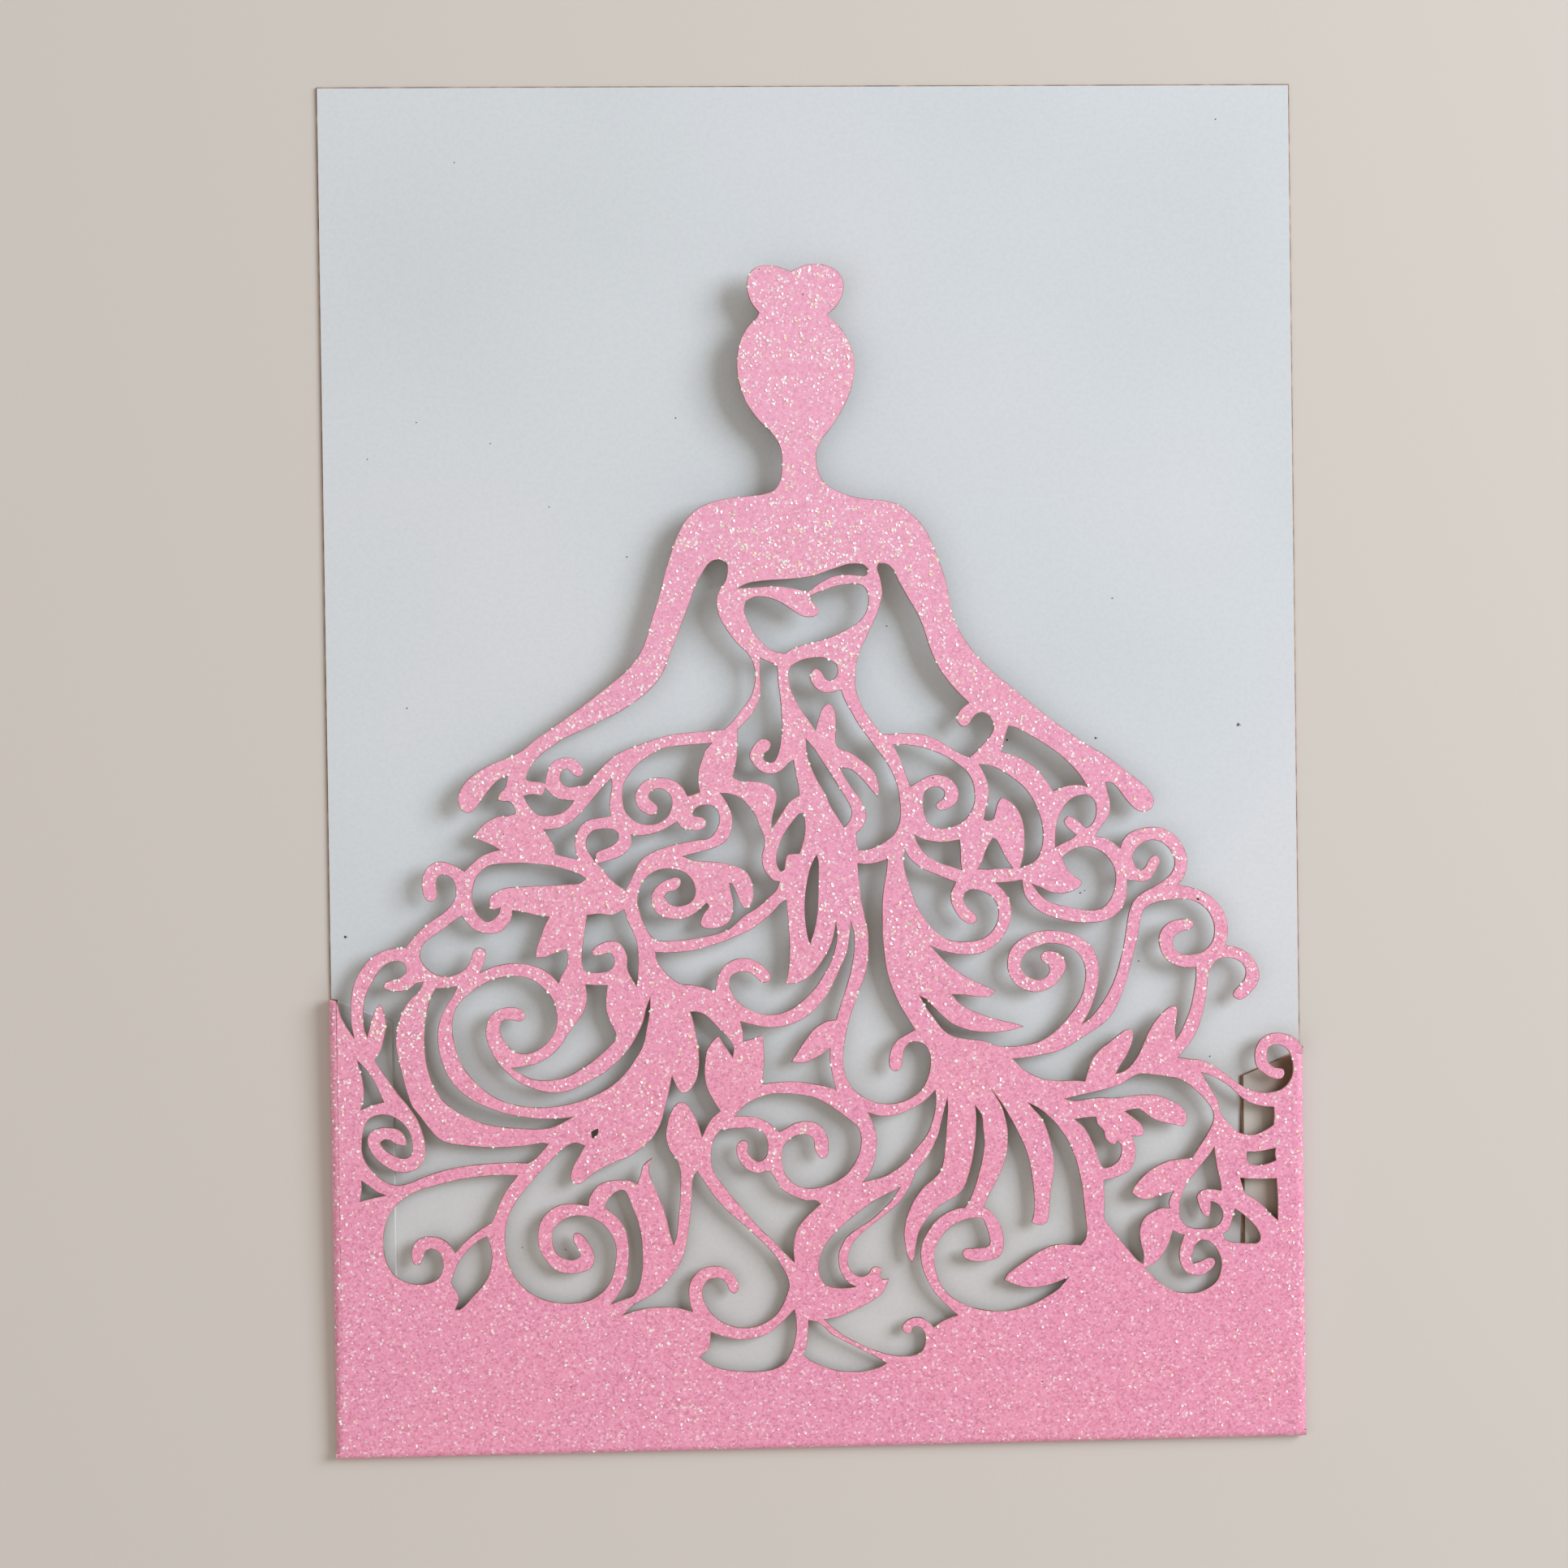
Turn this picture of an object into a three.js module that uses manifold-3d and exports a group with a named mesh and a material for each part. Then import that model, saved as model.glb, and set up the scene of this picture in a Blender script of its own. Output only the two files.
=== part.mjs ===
// A laser-cut invitation card, folded flat from one sheet of glitter cardstock, lying on its back panel.
// Millimetres, +Z up. X runs across the card and Y up the card.
// The origin is the middle of the back panel's underside.
import * as THREE from 'three';
import { mergeVertices } from 'three/addons/utils/BufferGeometryUtils.js';
import Module from 'manifold-3d';

const wasm = await Module();
wasm.setup();

const WIDTH = 127;
const HEIGHT = 177.8;
const SHEET = 0.4;
// The clear gap between the back panel and the front panel at the bottom fold.
const GAP = 1;
// How far the front panel rises for each millimetre up the card.
const SLOPE = 0.0168;
// How far the bends reach in from the card's edges.
const SIDE_BEND = 1;
const BOTTOM_BEND = 0.9;
const BEND_STEPS = 6;
// How much higher the left bend ends at the card's edge than at the flat panel.
const LEFT_BEND_RISE = 0.25;
// How far below the end of the curl on its top the right bend ends.
const CURL_FOOT = 0.8;
const FLAP_WIDTH = 8.1;
const FLAP_SLANT = 3;
// The glued flaps are pressed this far into the back panel, and the side bends this far into the bottom one.
const GLUE = 0.05;
const BEND_LAP = 0.3;
// No curve is drawn with straight edges that stand further off it than this.
const CURVE_MISS = 0.1;
const CURVE_STEPS = 6;

const HALF = WIDTH / 2;
const PANEL_EDGE = HALF - SIDE_BEND;

// The outlines are drawn in the front panel's plane, on a card of this size, and stretch with the card.
const DRAWN_WIDTH = 127;
const DRAWN_HEIGHT = 177.8;
// x is from the card's middle, and y up from the bottom bend.
// Each line is one smooth run of x, y pairs. A corner is where one run ends and the next begins.
// The top edge of the front panel, from the left fold over the lady's figure to the right fold.
const PANEL_TOP = [
  [-62.5, 59.65, -62.2, 59, -61.9, 57.7, -61.2, 56.3],
  [-60.3, 55, -60.6, 57, -60.55, 60, -60, 62.2, -59.2, 63.7, -58, 65.1, -56.5, 66, -55, 66.4],
  [-53.4, 66.5, -52.5, 67.6, -51.2, 69, -49.5, 70.2, -48, 71.3, -47, 72.7, -46.9, 74.2, -47.3, 75.2,
    -48.1, 75.75,
    -48.9, 75.7, -49.35, 75.1, -49.35, 74.2, -49.25, 73.4, -49.4, 72.7, -50, 72.35, -50.7, 72.6,
      -51.1, 73.5, -51.2, 74.7,
    -51.05, 75.7, -50.5, 76.7, -49.7, 77.3, -48.7, 77.5, -47.5, 77.2, -46.5, 76.7],
  [-45.7, 76.2, -44.9, 77, -43.7, 78, -42.4, 78.6],
  [-41.1, 78.9, -42.3, 79.6, -43.5, 80.1],
  [-44.5, 80.6, -43.6, 81.8, -42.6, 82.6, -41.3, 83.2, -40, 83.3],
  [-39, 83.6, -39.25, 84.5, -39.8, 85.1, -40.6, 85.15],
  [-41.3, 85.3, -41.1, 86.1, -40.4, 86.8],
  [-40.15, 87.3],
  [-39.95, 88.5, -41.3, 87.8, -42.4, 86.6, -43.6, 85, -44.3, 84.1, -45.1, 83.7, -46, 84.2, -46.4,
    85.2, -46.2, 86.4,
    -45.4, 87.7, -44, 88.9, -42.2, 89.9, -40.2, 90.7, -38.2, 91.6, -36.5, 92.9, -34.5, 94.3, -32, 96,
      -29, 98.2,
    -26, 100.5, -24, 102.3, -22.7, 104, -21.8, 106, -21.1, 108.4, -20.1, 111.4, -19.3, 114.4, -18.3,
      117.5, -17.5, 119.4,
    -16.7, 120.9, -15.5, 122.2, -14, 123.1, -12, 123.7, -9.5, 124.1, -7, 124.3, -5.2, 124.8, -4.3,
      126, -4, 128,
    -4.05, 129.7, -4.5, 131.1, -5.4, 132.4, -7, 134, -8.4, 136, -9.2, 138, -9.6, 140, -9.6, 142,
      -9.2, 144,
    -8.2, 145.9, -7.1, 147],
  [-6.7, 147.7, -7.6, 148.9, -8.1, 150.2, -8.2, 151.5, -7.9, 152.7, -7.1, 153.5, -6, 153.8, -4.5,
    153.7, -3.3, 153.3],
  [-2.5, 153, -1.5, 153.5, -0.2, 153.9, 1.4, 153.9, 2.9, 153.4, 3.9, 152.5, 4.3, 151.3, 4.1, 149.9,
    3.3, 148.5],
  [2.1, 147.4, 3.4, 146.2, 4.6, 144.5, 5.35, 142.7, 5.6, 141, 5.4, 139, 4.8, 137, 3.8, 135, 2.5, 133,
    1.2, 131.3,
    0.55, 129.9, 0.5, 128.4, 0.8, 127, 1.6, 125.7, 3, 124.8, 5, 124, 7.2, 123.6, 9.3, 123.4, 11.2,
      122.8, 13, 121.4,
    14.4, 119.8, 15.4, 117.8, 16.3, 115.4, 17.1, 113, 17.5, 110.9, 17.9, 108.8, 18.7, 106.7, 19.9,
      104.7, 21.4, 102.8,
    23.2, 101, 25.5, 99.1, 28, 97, 30.2, 95.2, 32.6, 93.4, 35.3, 91.5, 37.8, 90, 40, 88.3, 42, 86.7,
      43.3, 85.5, 44, 84.2,
    43.7, 83.1, 42.8, 82.6, 41.8, 82.8, 40.9, 83.6, 40, 84.7, 39.2, 85.8, 38.5, 86.4],
  [37.7, 86.5, 37.9, 85.4, 38.25, 84.1, 38.2, 82.7, 37.6, 81.4, 36.8, 80.4],
  [36.3, 79.5, 37.5, 79.3, 38.5, 78.7],
  [39.5, 77.9, 39.9, 78.9, 40.7, 79.8, 42, 80.35, 43.8, 80.6, 45.4, 80.3, 46.8, 79.4, 47.8, 78, 48.3,
    76.5, 48.2, 75,
    47.75, 73.8],
  [47.1, 73, 48.5, 72.7, 50, 72.2, 51.5, 71.3, 52.7, 70, 53.4, 68.5, 53.6, 67, 53.5, 65.9],
  [53.2, 65, 54.3, 64.8, 55.4, 64.4, 56.5, 63.6, 57.4, 62.3, 57.7, 61, 57.4, 59.8, 56.6, 58.8, 55.7,
    58, 54.9, 57.8,
    54.25, 58.3, 54.4, 59, 55.1, 59.7, 55.75, 60.6, 55.9, 61.6, 55.5, 62.5, 54.6, 63.1, 53.4, 63.35,
      52.2, 63.1,
    51.4, 62.2, 50.95, 61, 50.8, 59.5, 50.5, 57.5, 50, 55.5, 49.4, 53.8, 48.5, 52.3, 47.6, 51.2],
  [46.9, 50.4, 48.3, 50.15, 50, 49.95, 51.5, 49.25, 53, 48.2, 54.5, 47, 56, 46.1, 57.8, 45.6, 59.3,
    45.6, 60.5, 45.95,
    61.4, 46.7, 61.95, 47.9, 62, 49.4, 61.5, 50.9, 60.6, 51.65, 59.6, 51.8, 58.85, 51.4, 58.6, 50.5,
      58.8, 49.5,
    59.6, 48.85, 60.7, 48.6, 60.9, 47.9, 60.4, 47.3, 59.2, 47.45, 58.1, 48.1, 57.3, 48.9, 57, 50,
      57.1, 51.2,
    57.7, 52.4, 58.7, 53.15, 60.1, 53.35, 61.6, 53.05, 62.7, 52.3, 63.35, 51.4],
];
// The cut-outs, in groups from the bodice to the hem.
const BODICE_CUTS = [
  // between the left arm and the bodice, down to the waist scrolls
  [[-12.3, 116, -11.4, 115.6, -11.2, 114.8, -11.5, 113.3, -12.4, 111.9, -12.7, 110.2, -12.1, 108.1,
    -10.4, 105.5,
    -8.9, 104, -8.1, 102.7, -7.8, 101, -8.1, 99.1, -8.7, 97.8, -9.8, 96.4, -10.9, 95],
  [-12, 94, -14, 93.9, -16.6, 93.7, -18.6, 93.5, -20.7, 93, -22.7, 92.3, -24.5, 91.7, -26.1, 90.9,
    -27.6, 89.6,
    -28.8, 88.3],
  [-29.8, 87.1, -31, 87, -32, 86.9, -32.9, 87.3, -33.2, 88.1, -32.9, 88.9, -32.2, 89.2, -31.65, 88.6,
    -31.1, 88.25,
    -30.5, 88.3, -30.2, 89, -30.6, 89.9, -31.4, 90.5, -32.5, 90.75, -33.7, 90.4, -34.6, 89.5, -35,
      88.3],
  [-35.15, 87.4, -36, 87.6, -37, 87.7, -37.6, 88, -37.3, 88.9, -36.7, 89.9, -35.5, 91.2, -34.2, 92.1,
    -32.7, 93.1,
    -30.5, 94.1, -28, 95.3, -26, 96.2, -23.8, 97.5, -21.7, 99.1, -19.9, 101.2, -18.7, 104, -17.4,
      107.3, -16.1, 110.6,
    -15.3, 112.8, -14.1, 114.9, -13.2, 115.8]],
  // the neckline
  [[-9.9, 112.3, -8.4, 112.95, -6, 113.25, -3, 113.4, -0.2, 113.75, 2.4, 114.6, 4.6, 115.25, 6.2,
    115.2],
  [7, 114.6, 6.8, 113.9], [6.4, 113.7, 4.5, 113.9, 2.5, 113.7, 0.8, 112.9],
  [-0.9, 111.7, -2.2, 112.1, -4, 112.4, -6, 112.5, -8, 112.35]],
  // the bust
  [[-8.9, 110.6, -7.6, 111.15, -6, 111, -4.4, 110.4, -2.9, 109.4, -1.6, 108.6, -0.2, 108.5, 0.6,
    109.1, 0.1, 110],
  [-0.7, 111.1, 0.7, 111.7, 2.85, 112.4, 5, 112.7, 6.3, 112.4, 6.9, 111.5, 7, 110.3, 6.6, 108.9, 5.6,
    107.7, 3.7, 106.6,
    1.6, 105.7, -0.6, 105.1, -2.7, 104.5],
  [-3.9, 103.8, -5.3, 104.1, -6.5, 104.9, -7.8, 106.4, -8.7, 108.1, -9.1, 109.5]],
  // between the right arm and the bodice
  [[8.4, 115.3, 9.4, 115.2, 10.3, 114.4, 11, 112.9, 12.2, 110.7, 13.3, 108.8, 14.2, 106.6, 14.9,
    104.3, 16, 101.8,
    17.3, 99.9, 18.6, 98.4],
  [19.9, 97.1, 18.9, 96.3, 18.3, 95.3, 18.6, 94.4, 19.2, 94, 19.9, 94.3, 20.3, 95, 20.9, 95.6, 21.7,
    95.8, 22.6, 95.3,
    23.1, 94.1, 22.8, 93, 21.7, 91.7, 20.7, 90.7],
  [19.9, 90, 18.6, 90.6, 17.3, 91.4, 15.8, 92.3, 14, 93, 11.9, 93.25, 10, 93.2],
  [8.6, 93.2, 7.6, 94.4, 6.5, 96, 5.6, 97.8, 5.2, 99.6, 5.3, 101.7, 5.7, 103.6, 7, 106.4, 8.2, 109,
    8.8, 111.2,
    8.6, 113.3, 8.2, 114.6]],
  // left of the waist strip, with the small curl
  [[-7.1, 103.2, -6, 102.7, -5, 102.1],
  [-4.9, 100.3, -4.65, 98.4, -4.5, 96.3, -4.4, 94.2, -4.6, 92.7, -4.8, 91.4, -5.3, 90.1, -6, 89.7,
    -6.8, 90.1,
    -6.8, 90.8, -6.2, 91.3, -5.9, 92.1, -6.4, 92.7, -7.3, 92.7, -8.2, 91.8, -8.7, 90.6, -8.2, 89.5,
      -7.3, 88.6,
    -6, 88.2, -4.6, 88.6, -3.6, 89.6],
  [-3, 89.9, -2.75, 88.3, -2.4, 86.5], [-2.3, 85.4, -3.5, 84.6, -4.5, 83.3, -5.3, 82],
  [-6, 81.1, -5.8, 82.7, -5.4, 84.2, -5.2, 85.4, -5.65, 86.4, -6.8, 87.05, -8.4, 87.35, -9.9, 87.4],
  [-10.9, 87.9, -10.6, 89, -10.3, 90.5, -10.2, 92.3],
  [-10.15, 94, -9.3, 94.9, -8.2, 96.1, -7.35, 97.7, -7.1, 99.5, -7.2, 101.4]],
  // right of the waist strip
  [[-3.1, 102.2, -1.5, 102.95, 0.5, 103.2, 1.9, 102.85, 2.8, 102.1, 2.8, 101, 2.2, 100.3, 1.4, 100.4,
    0.9, 101.2,
    0.2, 101.8, -0.5, 101.4, -0.7, 100.4, 0, 99.3, 1, 98.7, 2.2, 98.7],
  [3.3, 99, 3.7, 97.8, 4.5, 96.3, 5.5, 94.5, 6.8, 92.7, 8.1, 90.9, 9.1, 89.5, 10, 87.8, 10.55, 86,
    10.8, 84, 10.75, 82,
    10, 80.2, 8.6, 79.1, 6.8, 78.3],
  [5.4, 78.1, 5.1, 79.3], [5.1, 80.4, 5.9, 81.15, 6.4, 82.4, 6.15, 83.7, 5.5, 85, 4.5, 86.3, 3.7, 87.6],
  [3.1, 88.9, 4.5, 88.6, 5.8, 87.5, 6.8, 86.3],
  [7.9, 85, 8.1, 86, 7.9, 87.3, 7.3, 88.5, 6, 89.7, 4.5, 90.8, 2.9, 91.5, 2.55, 92.6, 2.6, 94, 2.6,
    95.3, 2.35, 96.6,
    1.7, 97.2, 1, 96.8, 0.5, 95.8, 0.15, 94.7],
  [-0.1, 93.8, -1.2, 95.5, -2.1, 96.8, -2.9, 98.4, -3.4, 99.9, -3.45, 101.2]],
  // the slots down the middle
  [[-1.3, 92.6, -0.3, 91.4, 0.6, 90, 1.9, 88, 2.9, 86.3, 4, 84.5, 4.5, 83.2, 4.2, 82],
  [3.5, 81.15, 2.8, 82.3, 1.9, 83.7, 1.1, 85.5, 0.1, 87.3, -0.7, 89.1, -1.2, 90.7]],
  [[-1.8, 83, -2.4, 82.9, -3.1, 82.1, -4, 80.9, -4.8, 79.4, -5.3, 77.9, -5.3, 76.5, -4.9, 75.6, -4.4,
    75.8, -4.25, 76.6,
    -4, 77.6, -3.2, 77.8],
  [-2.4, 77.8, -2, 78.9, -1.7, 80.1, -1.6, 81.7]],
  [[-0.1, 77.9, 0.2, 76.5, 0.15, 73.5, 0, 70.3, -0.4, 68],
  [-1.15, 65.6, -1.6, 67.4, -1.85, 69.7, -1.8, 72.2, -1.4, 74.7, -0.9, 76.4]],
];
const LEFT_CUTS = [
  // under the left wrist
  [[-37.95, 85.8, -36.9, 86, -35.6, 85.9], [-35.1, 86.8, -34.4, 86, -33.5, 85.4, -32.5, 85.2],
  [-31.5, 85.1, -32.2, 84.2, -33.3, 83.5, -35, 83.2, -36.3, 83.5, -37.1, 84.3]],
  [[-35.4, 81.4, -33.5, 81.6, -31.9, 82.3, -30.4, 83.7, -29.2, 85.1, -28, 86.5],
  [-26.6, 87.9, -26.55, 87, -26.7, 86, -26.9, 84.6],
  [-26.75, 83.05, -28.1, 82.85, -29.6, 82.6, -30.8, 81.7, -31.4, 80.2, -31.4, 78.8],
  [-31.1, 77.55, -32.5, 77.85], [-34, 78.2, -34.15, 79.4, -34.7, 80.4]],
  [[-28.75, 77.1, -29.3, 77.9, -29.9, 79, -29.85, 80.2, -29.1, 81.1, -27.9, 81.4, -26.5, 81.3],
  [-25.8, 80.8, -25.9, 79.9, -26.9, 79.1, -28, 78.7, -28.75, 78.2]],
  // round the small scrolls of the left hip
  [[-28.5, 76.9, -27.1, 77.3, -25.6, 77.8, -24.5, 78.7, -24.1, 79.7],
  [-24.2, 80.6, -23.2, 80.45, -21.7, 80.6, -20.2, 81.1, -19, 81.7],
  [-18.2, 82.2, -17.6, 81.4, -16.6, 81.1, -15.3, 81.05, -14.5, 81.6, -14.45, 82.3, -15, 82.75, -15.9,
    82.9, -16.1, 83.3,
    -15.6, 84, -14.7, 84.3, -13.6, 84.2, -12.85, 83.4, -12.7, 82.2, -13.2, 80.9, -14.1, 80, -15.4,
      79.8, -17, 79.55,
    -18.7, 79.2, -20.4, 78.7, -22, 78, -23, 77.2, -23.7, 76, -24.3, 74.7],
  [-25, 73.4, -26.1, 74.2, -27, 75.1, -27.7, 76]],
  [[-24.9, 87.4, -24, 88.8, -22.8, 90, -21.6, 90.8, -20.2, 91.6, -18.6, 91.9, -16.6, 92.1, -15, 92.2],
  [-13.6, 92.3, -14.4, 91.4, -14.9, 90.1, -15.3, 88.8, -15.4, 87.3], [-15.2, 86, -16, 85.7],
  [-16.8, 85.5, -17.3, 86.5, -18.1, 87.3, -19.1, 87.75, -20.4, 87.95, -21.7, 87.8, -22.7, 87.2,
    -23.4, 86.2,
    -23.55, 85.1, -23.1, 84, -22.2, 83.3, -21.3, 83.1, -20.7, 83.6, -20.7, 84.3, -21.3, 84.8, -21.8,
      85.4, -21.5, 86.1,
    -20.7, 86.5, -19.8, 86.35, -19, 85.6, -18.8, 84.7, -19, 83.7, -19.6, 82.7, -20.7, 82.05, -22,
      81.9, -23.2, 82.15,
    -24.4, 83, -25, 84, -25.2, 85.5, -25.1, 86.7]],
  // round the ring scroll beside the middle
  [[-12.5, 85.8, -11.2, 85.65, -9.9, 85.1, -8.9, 84.1, -8.1, 83, -7.5, 81.5, -6.95, 80.1, -6.95,
    78.8, -7.25, 77.6,
    -7.1, 76.1, -6.5, 75.1, -5.8, 74.4],
  [-5, 74.2, -5.4, 73.2, -6.3, 72.3, -7.3, 71.4, -8.4, 70.6, -9.6, 69.9, -10.6, 69, -11.6, 68.2, -13,
    67.65, -15, 67.2,
    -17, 66.9, -19, 66.75, -20.7, 66.8, -21.6, 67.3, -22.2, 68.1, -22.7, 69.2, -23.1, 70.4, -23.45,
      71.8, -23.2, 73.3,
    -22.6, 74.6, -21.5, 75.6, -20, 76.1, -18.5, 76, -17.2, 75.5, -16.3, 74.5, -15.95, 73.3, -16.2,
      72.2, -17, 71.5,
    -18.2, 71.25, -19.3, 71.6],
  [-20, 72.5, -19.4, 73.1, -18.6, 73.3, -17.9, 73.9, -17.8, 74.6, -18.3, 75, -19.3, 74.8, -20.4,
    74.3, -21.3, 73.4,
    -21.7, 72.2, -21.4, 71, -20.6, 70.1, -19.4, 69.65, -18, 69.55, -16.7, 69.9, -15.6, 70.6],
  [-14.5, 71.6, -14.25, 71.1, -14.9, 70.2, -15.35, 69.1, -15.1, 68.5, -14.3, 68.25, -13, 68.35, -12,
    68.75, -11.4, 69.4,
    -11.15, 70.3, -11.05, 71.5, -11.25, 72.8],
  [-11.5, 74.1, -11.1, 73.9, -10.5, 72.5, -10, 71.3, -9.4, 70.75, -8.8, 71.2, -8.4, 72.3, -8.5, 73.8,
    -8.9, 75,
    -9.6, 75.8, -10.9, 76.4, -12.5, 76.8, -14.5, 77, -16, 77.15],
  [-17.4, 77.7, -16.4, 77.95, -15, 78.3, -13.2, 78.8, -11.9, 79.6, -11.2, 80.8, -11, 82.2, -11.2,
    83.4, -11.7, 84.6]],
  // the sweep of strokes left of the middle
  [[-21.2, 65.3, -19.6, 65.2, -17.6, 65.3, -16, 65.5, -14.5, 65.9, -12.5, 66.5, -10.7, 67.2, -8.9,
    68, -7.3, 69.1,
    -6, 70.2, -5, 71.3],
  [-4.2, 71.8, -4, 69.7, -3.9, 67.7, -3.8, 65.6, -3.9, 63.6, -4.1, 62.1],
  [-4.4, 60.9, -3.2, 60.95, -1.9, 61.35, -0.65, 62.4, 0.6, 64.1, 1.5, 65.7, 2, 67.3],
  [2.25, 68.8, 2.4, 67.2, 2.1, 65.4, 1.5, 63.6, 0.6, 62, -0.4, 60.5, -1.7, 59.1, -3.2, 57.9, -4.8,
    57.15, -6.3, 56.9,
    -7.8, 57.1, -9.4, 57.8, -10.7, 58.8, -11.4, 60, -11.7, 61.2, -11.4, 62.1, -10.4, 62.55, -9.2,
      62.5, -8.4, 62,
    -7.8, 61.4, -7.1, 61.1, -6.4, 61.4, -6.4, 62.2, -7.3, 63.3, -8.6, 64.1, -9.9, 64.35, -11.2, 64.1,
      -12.4, 63.3,
    -13.1, 62.1, -13.4, 61.1],
  [-13.6, 60.1, -15, 60.6, -16.6, 61, -18.1, 61.2, -19.6, 62.3, -20.7, 63.7, -21.1, 64.6]],
  [[4.2, 68.8, 4.6, 67.2, 4.6, 65.4, 4.35, 63.6, 3.95, 61.8, 3.3, 59.7, 2.7, 57.9],
  [2.1, 56.1, 0.8, 55.9, -0.7, 55, -1.7, 53.8, -2.7, 52.4], [-3.8, 50.7, -2, 50.6, -0.2, 51.4],
  [1.3, 52.4, 1.25, 51, 1.5, 49.2], [2, 47, 0.9, 47.4, -1.4, 47.9, -3.5, 48.15, -5.6, 48.1],
  [-7.5, 47.9, -7.45, 49, -7.3, 50.6, -7.3, 52.3], [-7.45, 54.3, -8.6, 53.9], [-9.95, 53.5, -10, 54.7],
  [-10.3, 56.1, -8.9, 55.7, -7.3, 55.35, -5.3, 55.3, -3.5, 55.7, -1.7, 56.6, -0.4, 57.7, 0.9, 59.2,
    1.9, 61, 2.9, 63.1,
    3.7, 65.1, 4.05, 67.2]],
  // the long slot and the clear space on the left of the skirt
  [[-44.75, 73.5, -44.4, 74.9, -43.7, 76, -42.6, 76.8, -41.2, 77.05, -39.2, 77.15, -37, 77.05, -34.7,
    76.75,
    -32.6, 76.2, -31, 75.6],
  [-30.1, 75, -31, 74.4, -32.7, 74.3, -35.2, 74.2, -37.8, 74.1, -40.1, 74, -41.4, 73.6, -42.4, 72.9,
    -42.6, 72,
    -42.3, 71.2, -41.8, 71.2],
  [-41.15, 71.4, -41.4, 70.6, -42, 70, -42.9, 69.65, -43.8, 70.2, -44.4, 71.1, -44.75, 72.3]],
  [[-39.6, 71, -38.3, 70.8, -36.7, 70.4], [-34.9, 70.1, -35.5, 69, -36.1, 67.4, -36.6, 66],
  [-36.75, 64.85, -35.5, 64.9, -34.2, 65.4], [-32.8, 65.9, -32.55, 64.9, -32.8, 63.6, -33.4, 62.5],
  [-33.8, 61.55, -34.8, 62.6, -36.1, 63.5, -37.7, 64, -39.5, 64.2, -41.3, 64, -42.7, 63.6],
  [-43.9, 63.05, -43.4, 64.2, -43.15, 65.2, -43.25, 65.95, -44, 66.3, -44.7, 65.9, -45, 64.9, -45.6,
    63.8, -46.6, 63.05,
    -48.1, 62.6, -49.6, 62.9, -50.8, 63.8, -51.5, 64.9, -51.5, 66, -51, 67, -50, 67.8, -48.6, 68.7,
      -47.3, 69.7],
  [-46.2, 70.45, -45.5, 69.5, -44.5, 68.6, -42.9, 68.1, -41.4, 68.2, -40.3, 69.1, -39.75, 70]],
  // from the left scroll down between the strokes and round the small spiral
  [[-55.1, 64.7, -54, 64.6, -53.5, 64], [-53.4, 63.2, -54.3, 62.5, -55.4, 62.25, -56.2, 61.9, -56.3,
    61.3, -55.5, 60.9,
    -54.2, 60.8, -53, 61.1, -52.1, 61.8],
  [-51.25, 61.9, -51.9, 60.7, -53, 59.7, -53.9, 58.4, -54.5, 56.9, -54.8, 55.3, -54.9, 53.8, -54.6,
    52, -54.2, 50.2,
    -53.7, 48.2, -53, 46, -51.9, 44.5, -50.9, 43.1, -50, 42, -48.9, 41.2, -47.3, 40.8, -45, 40.5,
      -42.7, 40.3,
    -40.1, 40.35, -38.1, 40.5, -36.3, 40.75],
  [-35.5, 40.6, -36, 40, -37, 38.9], [-38.1, 38.2, -40.1, 38.3, -42.7, 38.25, -45, 38.1, -47.3, 37.8,
    -49.6, 37.3,
    -51.7, 36.6, -53.5, 35.9, -55, 35.65, -56.5, 36.1, -57.8, 37.1, -58.9, 38.5, -59.4, 39.8, -59.5,
      41.1, -59.3, 42.5,
    -58.9, 43.8, -58, 44.6, -56.8, 44.85, -55.5, 44.6, -54.2, 43.7, -53.3, 42.4, -53, 41, -53.1,
      39.8, -53.7, 39.2,
    -54.6, 39.2, -55.5, 39.6, -56.5, 40.3, -57.1, 41.1, -56.6, 41.6, -55.8, 41.5, -55.1, 41],
  [-53.7, 40.7, -53.9, 41.8, -54.5, 42.7, -55.5, 43.1, -56.8, 43.2, -58.1, 42.8, -58.7, 42, -58.7,
    40.9, -58.1, 39.7,
    -57.1, 38.6, -55.8, 37.7, -54.5, 37.3, -53.2, 37.4, -52.1, 38, -51.45, 39.1, -51.3, 40.5, -51.5,
      41.9, -51.95, 43.3,
    -52.6, 44.6, -53.5, 46, -54.5, 47.2, -55.4, 48.5, -56.3, 49.8, -57, 50.9],
  [-57.7, 51.9, -57.2, 52.6, -56.7, 53.6, -56.3, 55.1, -56.1, 56.6, -56.3, 58, -56.8, 59.1, -57.5,
    58.4, -58, 57.1,
    -58.3, 55.9],
  [-58.55, 55, -58.95, 56.2, -59, 57.8, -58.85, 59.5, -58.4, 60.9, -57.8, 62, -57.1, 63.2, -56.2,
    64.2]],
  // the two small openings beside the left fold
  [[-59.85, 51.9, -59.1, 51.1, -58.3, 50, -57.6, 48.9, -57.1, 47.7], [-56.6, 46.5, -57.6, 46.25,
    -58.5, 46],
  [-59.5, 45.6, -59.15, 46.8, -59.1, 48.4, -59.4, 50.2]],
  [[-59.6, 36.3, -58.5, 35.5, -57.6, 34.8], [-56.6, 34.4, -58.2, 34.05], [-59.8, 33.7, -59.6, 35]],
];
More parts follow.
